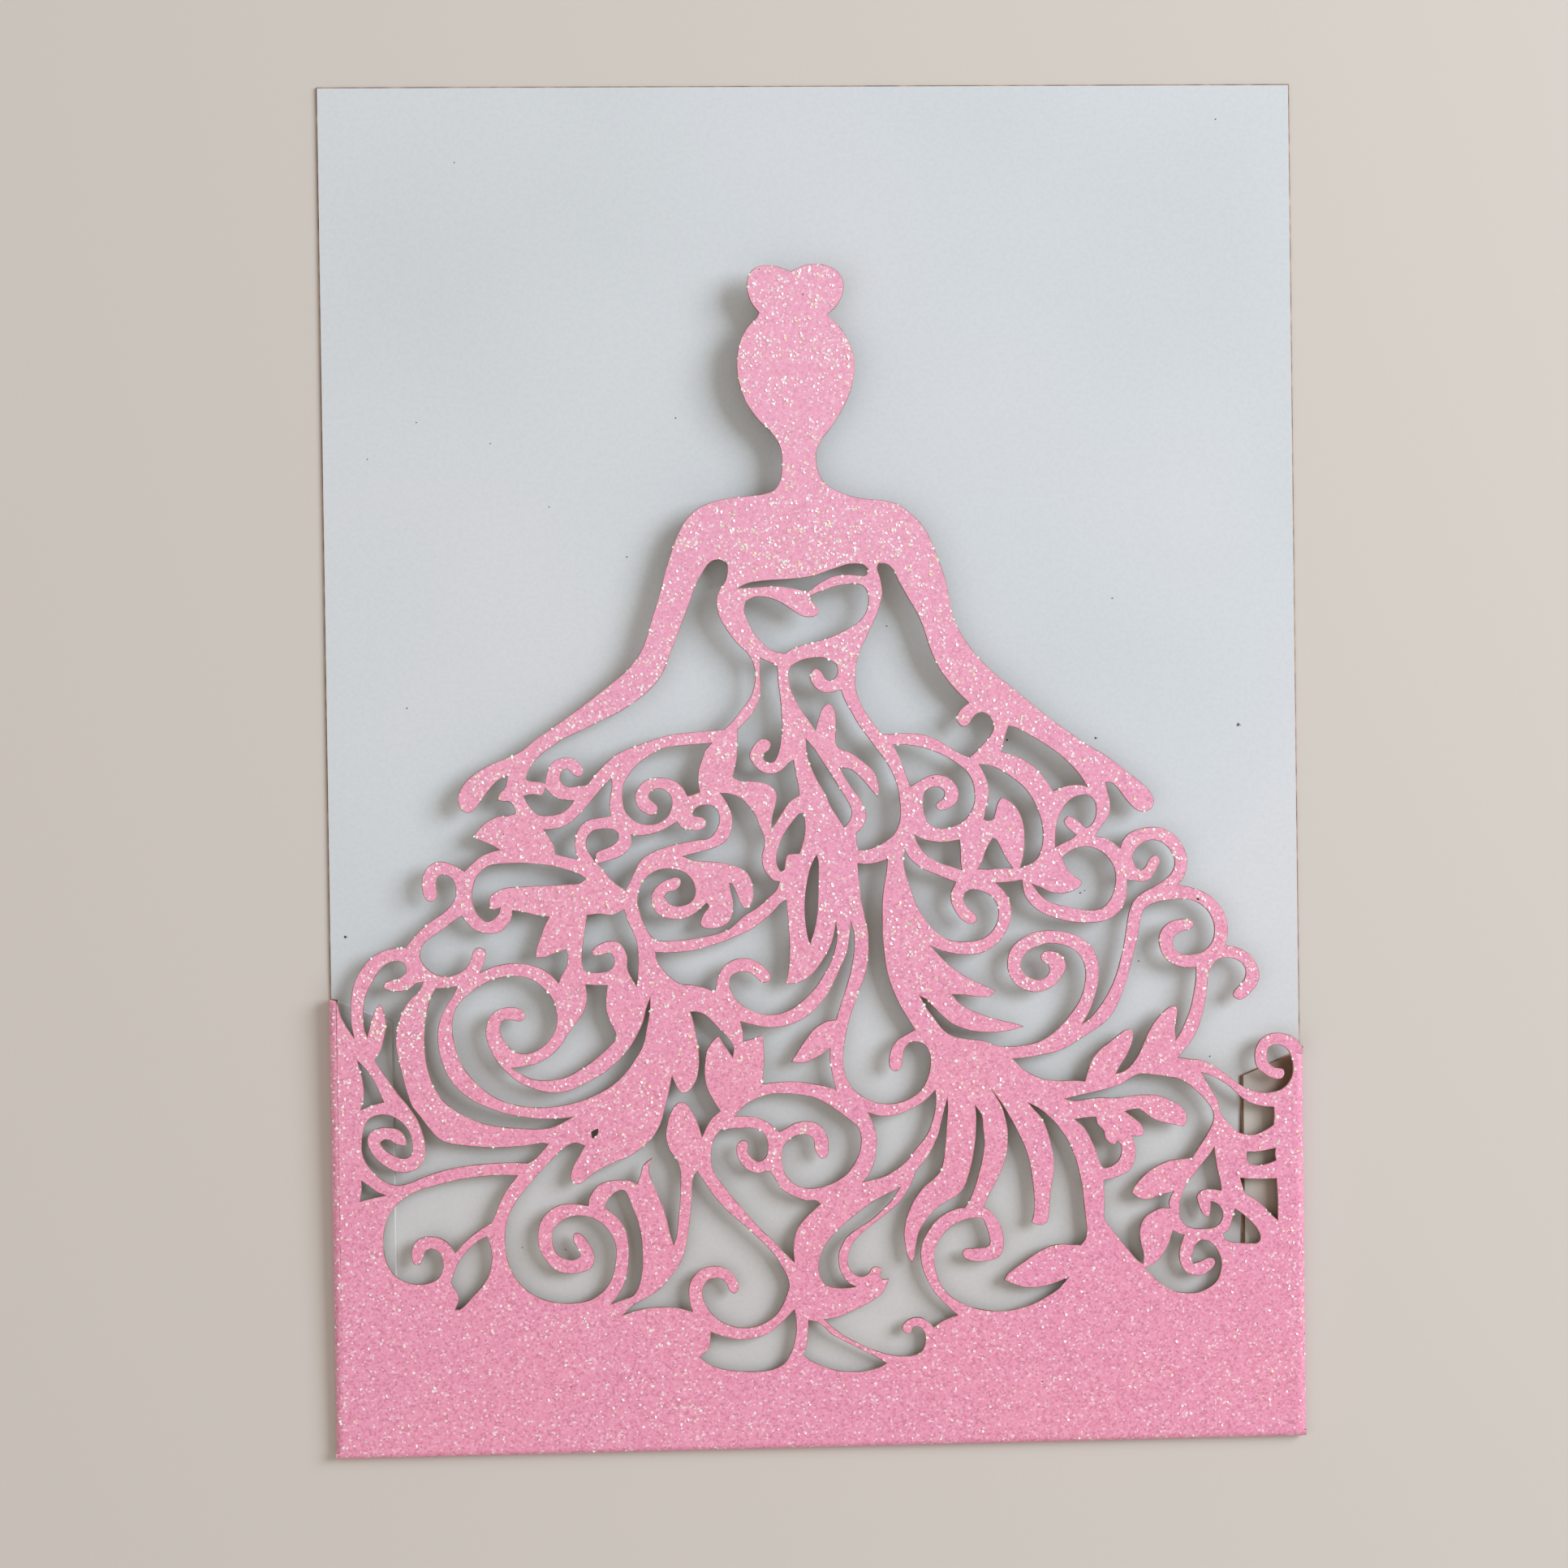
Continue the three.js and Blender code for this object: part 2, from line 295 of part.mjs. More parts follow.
const LOWER_LEFT_CUTS = [
  [[-29.95, 70.25, -28.4, 70.4, -26.8, 70.2], [-25.2, 70.9, -24.8, 69.5, -24.2, 68.2, -23.7, 66.9,
    -23.5, 65.4, -23.5, 63.3],
  [-23.7, 61, -24.4, 62.1, -24.9, 63.4, -24.85, 64.6, -25.2, 65.7, -25.9, 66.6, -27, 66.9, -28.4,
    66.5, -29.3, 65.8,
    -29.4, 65.15, -28.8, 64.95, -27.8, 65.2],
  [-27, 65.3, -26.6, 64.6, -26.7, 63.6, -27.5, 62.95, -29.1, 62.8, -30.3, 63.05, -30.75, 64.3, -30.6,
    66.1,
    -30.3, 68.2]],
  [[-30.3, 61.25, -28.9, 61.15], [-27.5, 61.1, -27.7, 59.7, -27.7, 57.9, -27.2, 56.3, -26.5, 54.8],
  [-26.7, 53.8, -27.9, 52.7, -29.4, 51.4, -30.9, 50.4, -33, 49.3, -35.3, 48.9, -37.3, 49.1, -38.8,
    49.8],
  [-40, 50.55, -38.4, 50.8, -36.8, 51.1, -35.1, 52, -33.7, 53.3, -32.8, 54.7, -31.9, 55.9, -30.9,
    57.2, -30.3, 58.5,
    -30.15, 59.8]],
  // the big spiral
  [[-22, 59.3, -22.1, 57.6, -22.5, 55.4, -23, 53.3, -24, 51.5, -25.6, 49.4, -27.4, 47.9, -29.7, 46.7,
    -32.5, 45.8,
    -35.5, 45.4, -38, 45.5, -40.4, 46, -42.4, 46.9, -44.2, 48.3, -45.8, 50.1, -46.8, 52, -47.4, 54.1,
      -47.6, 56.1,
    -47.3, 57.9, -46.4, 59.4, -45, 60.6, -43.4, 61.6, -41.6, 62.3, -39.7, 62.5, -38, 62.3, -36.6,
      61.6, -35.4, 60.5,
    -34.6, 59.4, -34.2, 58.1, -34.1, 56.6, -34.5, 55.1, -35.5, 53.7, -36.8, 52.8, -38.3, 52.4, -39.7,
      52.8, -40.9, 54.1,
    -41.45, 55.5, -41.2, 56.6],
  [-40.6, 56.9, -39.7, 56.8, -38.8, 56.65, -38.1, 57.2, -38.6, 58.1, -40, 58.5, -41.6, 58.2, -42.8,
    57.2, -43.3, 55.6,
    -43.1, 54, -42.5, 52.5, -41.7, 51.2, -40.6, 50, -39.1, 48.7, -37.1, 47.8, -35, 47.3, -33, 47.4,
      -31.2, 48.1,
    -29.5, 48.9, -28, 49.8, -26.3, 51.2, -25, 52.6, -24, 54.1, -23, 56.1, -22.5, 58]],
  [[-49.65, 61.1, -48.2, 61.15],
  [-46.85, 61.3, -47.4, 60.2, -48.4, 58.7, -49.1, 57.2, -49.5, 55.3, -49.4, 53.3, -48.9, 51.2, -48.1,
    49.4, -46.8, 47.8,
    -45, 46.4, -42.9, 45.4, -40.9, 44.7, -38.6, 44.2, -36.2, 43.9, -34, 43.9],
  [-32.2, 44.1, -33.5, 43.4, -35.2, 42.75, -37, 42.6, -39.4, 42.75, -41.7, 43, -43.9, 43.5, -46,
    44.4, -47.9, 45.6,
    -49.4, 47.1, -50.4, 49.2, -51, 51.5, -51.2, 53.8, -51.1, 56.1, -50.8, 58.2, -50.25, 59.9]],
  // the drop with its hook, and the leaf-shaped opening beside it
  [[-39.5, 36.6, -41.8, 36.7, -44.5, 36.55, -47.1, 36.2, -49.4, 35.7, -51.7, 35.1, -53.7, 34.2,
    -55.3, 32.9, -56.3, 31.4,
    -56.8, 29.6, -56.9, 27.5, -56.5, 25.5, -55.5, 23.9, -54, 23, -52.4, 22.7, -50.9, 22.9, -49.9,
      23.5, -49.3, 24.7,
    -49.4, 26, -49.9, 26.9, -50.8, 27.3, -51.6, 26.9, -51.9, 26, -52.3, 25.3, -53, 25.3, -53.3, 26.2,
      -53.2, 27.5,
    -52.5, 28.5, -51.2, 28.9, -49.7, 28.7, -48.6, 28],
  [-47.7, 26.7, -46.8, 27.7, -45.5, 28.9, -44.2, 29.8], [-42.95, 30.5, -42.5, 31.5, -41.9, 33, -40.9,
    34.8]],
  [[-43.5, 28.8, -43.1, 27.2, -43, 25.7, -43.35, 23.9, -44.2, 22.4, -45.3, 21.2, -46.3, 20.1, -47.2,
    19.35],
  [-47.8, 19.3, -47.3, 20.6, -47.6, 21.6], [-48.3, 22.8, -47.95, 23.9, -47.3, 25.4, -46.3, 26.7, -45,
    28]],
  // the lower spiral and the winding opening above it
  [[-30.75, 40.3, -31.9, 40.7, -33.2, 40.2, -34.5, 39.1, -35.8, 37.8, -37.1, 36.4, -38.3, 35, -39.6,
    33.4, -40.6, 31.6,
    -41.15, 29.6, -41.2, 27.5, -40.9, 25.5, -40.1, 23.5, -38.8, 21.9, -37.3, 20.8, -35.5, 20.1,
      -33.4, 19.8, -31.6, 19.9,
    -30, 20.3, -28.5, 21.4, -27.5, 22.9, -27, 24.9, -26.9, 27, -27.4, 28.5, -28.4, 29.9, -29.9,
      30.85, -31.5, 31.2,
    -33, 31, -34.2, 30.3, -35, 29.3, -35.1, 27.8, -34.6, 26.4, -33.5, 25.6, -32.3, 25.5, -31.5, 26,
      -31.9, 27, -32.4, 28,
    -32.3, 28.8, -31.6, 28.9, -30.9, 28.3, -30.1, 27, -29.7, 25.7, -30.1, 24.4, -31.4, 23.8, -33.2,
      23.7, -34.8, 24.2,
    -36, 25.5, -36.8, 27, -37, 28.6, -36.7, 30.3, -35.8, 31.6, -34.5, 32.5, -32.9, 32.8, -31.5, 32.7],
  [-30.4, 32.5, -30.2, 33.6, -29.2, 35, -27.9, 35.6, -26.3, 35.75, -24.9, 35.6], [-24, 35.2, -23.6,
    36.3, -23.2, 37.6],
  [-22, 38.6, -22.45, 37.3, -22.2, 35.8, -21.4, 33.9, -20.7, 32.1, -20.2, 30.3, -19.8, 28.5],
  [-19.4, 27.2, -19, 28.4, -18.75, 30.6, -18.5, 32.7, -18.4, 34.8, -18.4, 36.8, -18.9, 38.3, -19.8,
    39.6, -20.2, 41.4,
    -19.95, 43.2, -19.5, 44.5, -18.8, 45.5, -18, 45.7, -17.3, 45.3, -16.6, 44.2, -16, 42.8],
  [-15.5, 41.2, -15, 42.3, -14.2, 43.6],
  [-13.1, 44.5, -14, 45.9, -14.8, 47.6, -15.1, 49.4, -15, 51, -14.75, 52.4, -14, 53.6], [-13.2, 54.3,
    -12.4, 53],
  [-11.4, 51.5, -11.3, 52.9, -12.3, 54.4, -13.3, 55.4, -14, 56.2, -15, 57.1, -16, 57.45],
  [-16.8, 57.5, -16.4, 56.1, -16.05, 54.3, -15.8, 52.5, -15.75, 50.7, -16.05, 48.9, -16.8, 47.5,
    -17.8, 46.9,
    -18.6, 47.5],
  [-19.3, 49.1, -19.55, 47.9, -19.9, 46.4, -20.4, 44.6, -20.9, 42.9, -22, 41.1, -23.2, 40, -25, 38.8,
    -27.1, 38,
    -29.1, 37, -30.4, 36.1, -31.3, 35.4, -32.1, 35.4, -32.6, 35.9, -32.6, 36.7, -32.2, 37.8, -31.4,
      39.1]],
  [[-28.25, 32.2, -27.7, 33.4, -26.8, 34.2, -25.8, 34.4, -25.2, 33.6, -24.8, 32.4, -24.15, 30.8,
    -23.75, 29.2,
    -23.5, 27.4, -23.45, 25.5, -23.6, 23.4, -24.1, 21.6, -24.8, 20.6, -26.1, 20.1],
  [-27.6, 19.6, -26.8, 20.6, -25.9, 22.1, -25.4, 23.9, -25.2, 26, -25.3, 28, -25.8, 29.6, -26.8, 31]],
  [[-26.1, 18.1, -24.5, 18.65, -22.7, 18.95, -20.7, 19.05, -18.8, 18.85],
  [-17.05, 18.35, -17.45, 19.8, -17.5, 21.4, -17.1, 22.6, -16.1, 23.7, -14.8, 24.2, -13.3, 24.15,
    -12, 23.4, -11.1, 22.1,
    -11.05, 21.1, -11.6, 20.6, -12.2, 21, -12.6, 21.9, -13.4, 22.6, -14.5, 22.6, -15.3, 22.1, -15.7,
      21.1, -15.5, 19.6,
    -14.6, 18.1, -13.2, 16.9, -11.4, 16.2, -9.6, 16.1, -7.8, 16.6, -6.3, 17.6, -5.3, 19, -4.8, 20.2,
      -4.45, 21.3,
    -4.6, 22.5, -5.3, 23.9, -6.2, 25.4, -7.4, 26.8, -8.9, 28.3, -10.4, 29.7, -12, 31.1, -13.3, 32.5,
      -14.4, 33.9,
    -15.3, 35.3],
  [-16.2, 36.7, -16.7, 36, -16.9, 34.4, -17, 32.6, -17.2, 30.6, -17.5, 28.5, -17.9, 26.5, -18.6,
    24.7, -19.9, 22.9,
    -21.4, 21.3, -23, 20.3, -24.7, 19.4]],
  // left of the middle, above the hem
  [[-13.1, 42, -13.9, 40.9, -14.3, 39.3, -14.3, 37.5, -13.7, 36, -12.7, 34.6, -11.4, 32.9, -10.15,
    31.4, -8.9, 29.9,
    -7.6, 28.5, -6.3, 27.3, -5.2, 26],
  [-3.75, 24.6, -3.8, 26.5, -3.5, 28.3, -2.8, 29.6, -1.8, 30.7],
  [-0.2, 32.1, -0.9, 32.55, -2.2, 32.6, -3.7, 33.2, -5, 33.95, -5.8, 35],
  [-6.65, 36.4, -7.3, 36.5, -8.2, 36.25, -9.4, 36.6, -10.4, 37.5, -10.95, 38.6, -11.05, 39.8, -10.5,
    40.5, -9.8, 40.5,
    -9.5, 40, -9.6, 39.1, -9.1, 38.3, -8.2, 37.8, -7.3, 38.3, -7, 39.3, -7.05, 40.6, -7.6, 41.6,
      -8.6, 42.1, -9.9, 42.2,
    -11.4, 42.15]],
  [[-11.2, 43.8, -10.4, 44.7, -9.4, 45.5, -7.9, 46.2, -6.3, 46.6, -4.5, 46.6, -2.7, 46.4, -0.9, 46,
    0.9, 45.1, 2.6, 43.9,
    3.9, 42.9, 4.8, 42, 5.2, 40.6, 5, 38.8, 4.3, 37.3, 3.3, 36, 1.9, 35, 0.4, 34.4, -1.2, 34.15,
      -2.6, 34.3, -3.7, 34.9,
    -4.6, 35.9, -5.1, 37.3, -5.15, 38.8, -4.8, 39.9, -4, 40.7, -2.8, 41.2, -1.7, 41.1, -1, 40.5,
      -0.9, 39.5, -0.5, 38.5,
    0.15, 38, 0.8, 38.4, 0.95, 39.6, 0.8, 40.9, 0.2, 42, -0.7, 42.7, -1.9, 42.95, -3.4, 42.7, -4.5,
      42.1],
  [-5.45, 41.6, -6.1, 42.2, -7.1, 43, -8.4, 43.55, -9.9, 43.75]],
  [[-16.2, 12.4, -15.1, 13.3, -14.8, 14.2],
  [-14.7, 15.6, -13.6, 15.2, -12.3, 14.8, -10.9, 14.55, -9.1, 14.7, -7.4, 15.2, -6.1, 16.1, -5, 17.1],
  [-3.8, 18.3, -3.6, 17, -3.6, 15.4, -3.9, 13.9, -4.4, 12.5, -5.2, 11.3, -6.6, 10.6, -8.6, 10.3,
    -10.9, 10.4, -13, 10.7,
    -14.8, 11.3]],
  [[-29.85, 42.1, -29.4, 42.35], [-29, 42.45, -29.1, 41.8, -29.7, 41.3]],
];
const RIGHT_CUTS = [
  [[10, 91.75, 12, 91.7, 14, 91.3, 15.9, 90.6, 17.6, 89.7, 19.1, 88.6, 20.1, 87.3, 20.5, 85.8, 20.5,
    84.2, 19.9, 82.7,
    18.7, 81.5, 17.1, 80.9, 15.6, 80.9, 14.5, 81.6, 13.9, 82.9, 13.8, 84.4, 14, 85.5, 14.7, 86.05,
      15.8, 86.2, 16.6, 85.6,
    16.4, 84.7, 15.7, 84.2, 15.5, 83.6, 16.15, 83.15, 17.3, 83.5, 18.2, 84.2, 18.5, 85.3, 18.2, 86.3,
      17.3, 87.3,
    16, 87.8, 14.7, 87.7, 13.5, 87.1],
  [12.2, 86.35, 11.7, 87.7, 11.1, 89.4, 10.5, 90.7]],
  [[21.2, 89.05, 22.7, 88.85, 24.3, 88.1, 25.8, 87.05, 27.1, 85.9, 28.1, 84.5, 28.9, 82.7, 29.35,
    80.9, 29.4, 79.1,
    29, 77.4, 28.1, 76.2],
  [26.4, 75.55, 26.8, 77, 27, 78.8, 27, 80.6, 26.6, 82.2, 25.9, 83.5, 25, 84.3, 24.1, 84.7, 23.5,
    83.9, 23.2, 82.8],
  [23, 81.95, 22.2, 81.75], [21.7, 81.95, 22.1, 83.5, 22.4, 85, 22.3, 86.5, 21.8, 87.9]],
  [[12.6, 80, 14, 79.35, 15.8, 79, 17.3, 79.1], [18.5, 79.3, 18.6, 77.9, 18.6, 76.5],
  [18.75, 75.4, 17.5, 75.8, 16, 76.3, 14.7, 77, 13.7, 77.9, 13, 79]],
  [[22.8, 79.45, 22, 78, 21.5, 76.6], [20.9, 75.5, 22.4, 75.4, 24, 75.5], [25.4, 75.5, 24.6, 76.7,
    23.9, 78.1,
    23.3, 79.2]],
  // under the right wrist
  [[25, 94, 26.1, 93.75, 27.9, 92.75, 29.8, 91.6, 31.6, 90.3, 33.2, 88.8, 34.4, 87.4],
  [35.25, 86, 34.4, 86.2, 33.4, 86.25, 32.1, 86],
  [30.85, 85.5, 30.2, 86.4, 29.4, 87.6, 28.3, 88.7, 27, 89.6, 26, 90.1], [24.1, 90.7, 24.4, 91.8,
    24.7, 92.9]],
  [[35, 84.95, 35.9, 84.5, 36.4, 83.5, 36.35, 82.2, 35.9, 81.2, 35.1, 80.65, 34.3, 81.3, 33.5, 81.9,
    32.7, 82.15,
    32.2, 81.5, 32.5, 80.85, 33.2, 80.2],
  [33.75, 79.7, 33, 79.1, 31.9, 78.6], [31, 78.15, 31.05, 79.4, 31.2, 80.9, 31.65, 82.4, 32.5, 83.8,
    33.7, 84.7]],
  [[31.9, 76.8, 32.8, 77.5, 34.1, 78.05, 35.6, 78.1, 37, 77.5, 38, 76.6, 38.7, 75.3, 38.9, 73.8,
    38.6, 72.2, 38, 71,
    37, 70.1, 35.5, 69.85, 33.7, 70.1, 31.9, 70.5, 30.3, 71, 29.05, 71.9],
  [27.95, 73.35, 29.1, 72.9, 30.3, 72.3, 31.9, 72.1, 33.3, 72.4, 34.3, 73.1, 34.35, 73.75, 33.5,
    74.3, 32.6, 75.2]],
  // inside the right-hand scroll and down between the two leaves
  [[42.5, 69.8, 43.2, 70.3, 44.2, 70.75, 45.6, 71, 47.4, 71.1, 49, 70.9, 50.4, 70.1, 51.3, 69, 51.8,
    67.5, 51.7, 66,
    51.1, 64.9, 50.1, 64.1, 48.8, 63.8, 47.5, 63.95, 46.6, 64.6, 46.3, 65.6, 46.8, 66.5, 47.8, 66.95,
      48.7, 67.2,
    49.1, 67.8, 48.6, 68.4, 47.4, 68.5, 46, 68.15, 45, 67.3, 44.5, 66.1, 44.65, 64.7, 45.3, 63.4,
      46.4, 62.55,
    47.8, 62.15],
  [49.35, 62.15, 49.3, 60.6, 49, 58.7, 48.6, 56.9, 48, 55.3, 47.3, 53.8],
  [46.6, 52.7, 46.55, 54.3, 46.8, 55.8, 46.85, 56.8, 46.3, 57.15, 45.5, 56.8, 44.5, 55.9, 43.5, 54.6,
    42.7, 53.1,
    42.1, 51.7, 41.4, 50.4, 40.6, 49.4, 39.7, 48.7],
  [38.7, 48.4, 39.3, 49.5, 40.1, 50.7, 40.7, 52, 41, 53.3, 40.85, 54.1, 40.1, 54.15, 39.1, 53.5,
    37.8, 52.5, 36.5, 51.5,
    35.5, 50.2, 35, 48.9],
  [34.6, 47.45, 32.9, 47.6, 31, 47.6, 29.1, 47.9, 27.3, 48.7, 26, 49.7],
  [25.2, 50.6, 26.8, 50.7, 28.8, 51, 30.8, 51.4, 32.5, 52.1, 34.1, 53.1, 35.8, 54.1, 37.2, 55.1,
    38.4, 56.4, 39.3, 58.2,
    40.1, 60.2, 40.7, 62.3, 41.3, 64.6, 41.8, 66.7, 42.1, 68.5]],
  // round the right-hand spiral
  [[26.6, 73.95, 26.75, 72.7, 27.2, 71.5, 28.1, 70.4, 29.6, 69.4, 31.4, 68.75, 33.5, 68.3, 35.5,
    68.2, 37.3, 68.4,
    38.6, 69, 39.5, 69.8, 40.1, 70.8, 40.35, 72.2],
  [40.4, 73.75, 41.4, 73.6, 42.6, 73.45, 43.5, 73.9, 44.2, 75, 44.7, 76, 44.5, 76.7, 43.9, 76.85,
    43.3, 76.3, 42.8, 75.4,
    42.1, 75, 41.5, 75.6, 41.15, 76.6, 41.4, 77.5, 42.1, 78.3, 43.3, 78.85, 44.7, 78.7, 45.9, 77.8,
      46.6, 76.5,
    46.6, 75.4, 46.1, 74.4, 45.2, 73.6, 43.9, 72.8, 42.7, 72.2, 41.7, 71.5, 41, 70.6, 40.6, 69.5,
      40.35, 68.2, 40.1, 66.6,
    39.8, 64.8, 39.35, 63.1, 38.85, 61.4, 38.2, 59.8, 37.3, 58.2, 36.3, 56.8, 35.3, 55.7],
  [34.4, 55.1, 35.2, 56.5, 35.9, 58.2, 36.4, 60, 36.6, 61.8, 36.45, 63.3, 35.8, 64.9, 34.7, 66, 33.2,
    66.8, 31.4, 67.2,
    29.6, 67.3, 27.9, 67, 26.2, 66.1, 25, 64.85, 24.6, 63.3, 24.75, 61.8, 25.5, 60.5, 26.8, 59.6,
      28.3, 59.25, 29.7, 59.55,
    30.9, 60.3, 31.9, 61.5, 32.25, 62.7, 31.9, 63.8, 30.9, 64.5, 29.7, 64.6, 29, 64.1, 29.15, 63.3],
  [29.9, 62.9, 30.1, 62, 29.6, 61.2, 28.6, 60.85, 27.3, 61.3, 26.4, 62.3, 26.5, 63.6, 27.3, 64.6,
    28.4, 65.2, 29.9, 65.6,
    31.7, 65.4, 33.3, 64.7, 34.3, 63.6, 34.8, 62, 34.75, 60.5, 34.4, 59.1, 33.8, 57.7, 32.65, 56.1,
      31.4, 54.7, 29.8, 53.4,
    28.3, 52.7, 26.4, 52.3, 24.4, 52.2],
  [23, 52.35, 21.6, 52.95, 20.1, 53.2, 18.6, 53.4, 17.3, 53.75, 16, 54.7, 15, 56, 14, 57.4],
  [13.1, 59, 14, 58.5, 14.8, 57.6, 16, 56.4, 17.3, 55.3, 18.9, 54.6, 20.6, 54.2, 22.7, 54.1, 24.8,
    54.3],
  [26.7, 54.8, 25.4, 55.25, 23.9, 55.6, 21.9, 56.2, 19.9, 57, 18.4, 57.9], [17.3, 59.15, 18.9, 59.05,
    20.6, 58.8,
    22.2, 58.8],
  [23, 59.5, 21.6, 60.2, 19.9, 61, 18.3, 62, 16.8, 63.2, 15.6, 64.4],
  [14.6, 65.5, 16.1, 64.85, 17.8, 64.45, 19.6, 64.3, 21.2, 64.5, 22.5, 65.1, 23.6, 66, 24.5, 67.3,
    25.05, 68.7,
    25.2, 70.2, 24.9, 71.5, 24.1, 72.7],
  [23.2, 73.6, 24.9, 73.7]],
  [[11.3, 78.1, 11.95, 77, 12.9, 76.1, 14, 75.4, 15.3, 74.9, 16.6, 74.3],
  [17.95, 73.8, 17.35, 72.5, 17.3, 71.3, 17.75, 70.2, 18.4, 69.2, 19.1, 68.6, 19.9, 68.3, 20.65,
    68.7, 20.6, 69.3, 20, 70,
    19.3, 70.7, 18.9, 71.6, 19.2, 72.4, 20, 72.8, 21.2, 72.6, 22.4, 72, 23.2, 71, 23.5, 69.8, 23.3,
      68.5, 22.6, 67.3,
    21.4, 66.4, 19.9, 66.05, 18.1, 66.05, 16.6, 66.45, 15.3, 67.4, 14, 68.9, 12.9, 70.7, 12.2, 72.7,
      11.5, 74.7,
    11.2, 76.5]],
  // the long opening right of the middle, ending in a hook
  [[5.2, 76.4, 6.3, 76.3, 7.6, 76.45],
  [9.05, 76.9, 8.95, 75.5, 8.6, 73.6, 8.35, 71.6, 8.3, 69.6, 8.3, 67.4, 8.45, 65.2, 8.7, 63.1, 9.1,
    61.3, 9.7, 59.6,
    10.4, 58, 11.2, 56.6],
  [12.4, 54.6, 11.2, 54, 10.1, 53.3, 9.35, 52.3, 9, 51, 9.05, 49.8, 9.7, 49.25, 10.4, 49.5, 10.7,
    50.3, 10.8, 51.3,
    11.1, 52.3, 11.9, 53, 13.2, 52.9, 14.1, 52, 14.4, 50.5, 14.1, 48.7, 13.4, 47.1, 12.4, 46.1, 10.9,
      45.35, 9.1, 45,
    7.3, 45.2, 5.8, 45.85, 4.3, 47, 3.35, 48.7, 3, 50.5, 3.1, 52.4, 3.45, 54.4, 3.95, 56.4, 4.6,
      58.2, 5.25, 60,
    5.9, 61.6, 6.3, 63.4, 6.5, 65.5, 6.4, 67.7, 6, 69.7, 5.6, 71.8, 5.4, 73.9]],
];
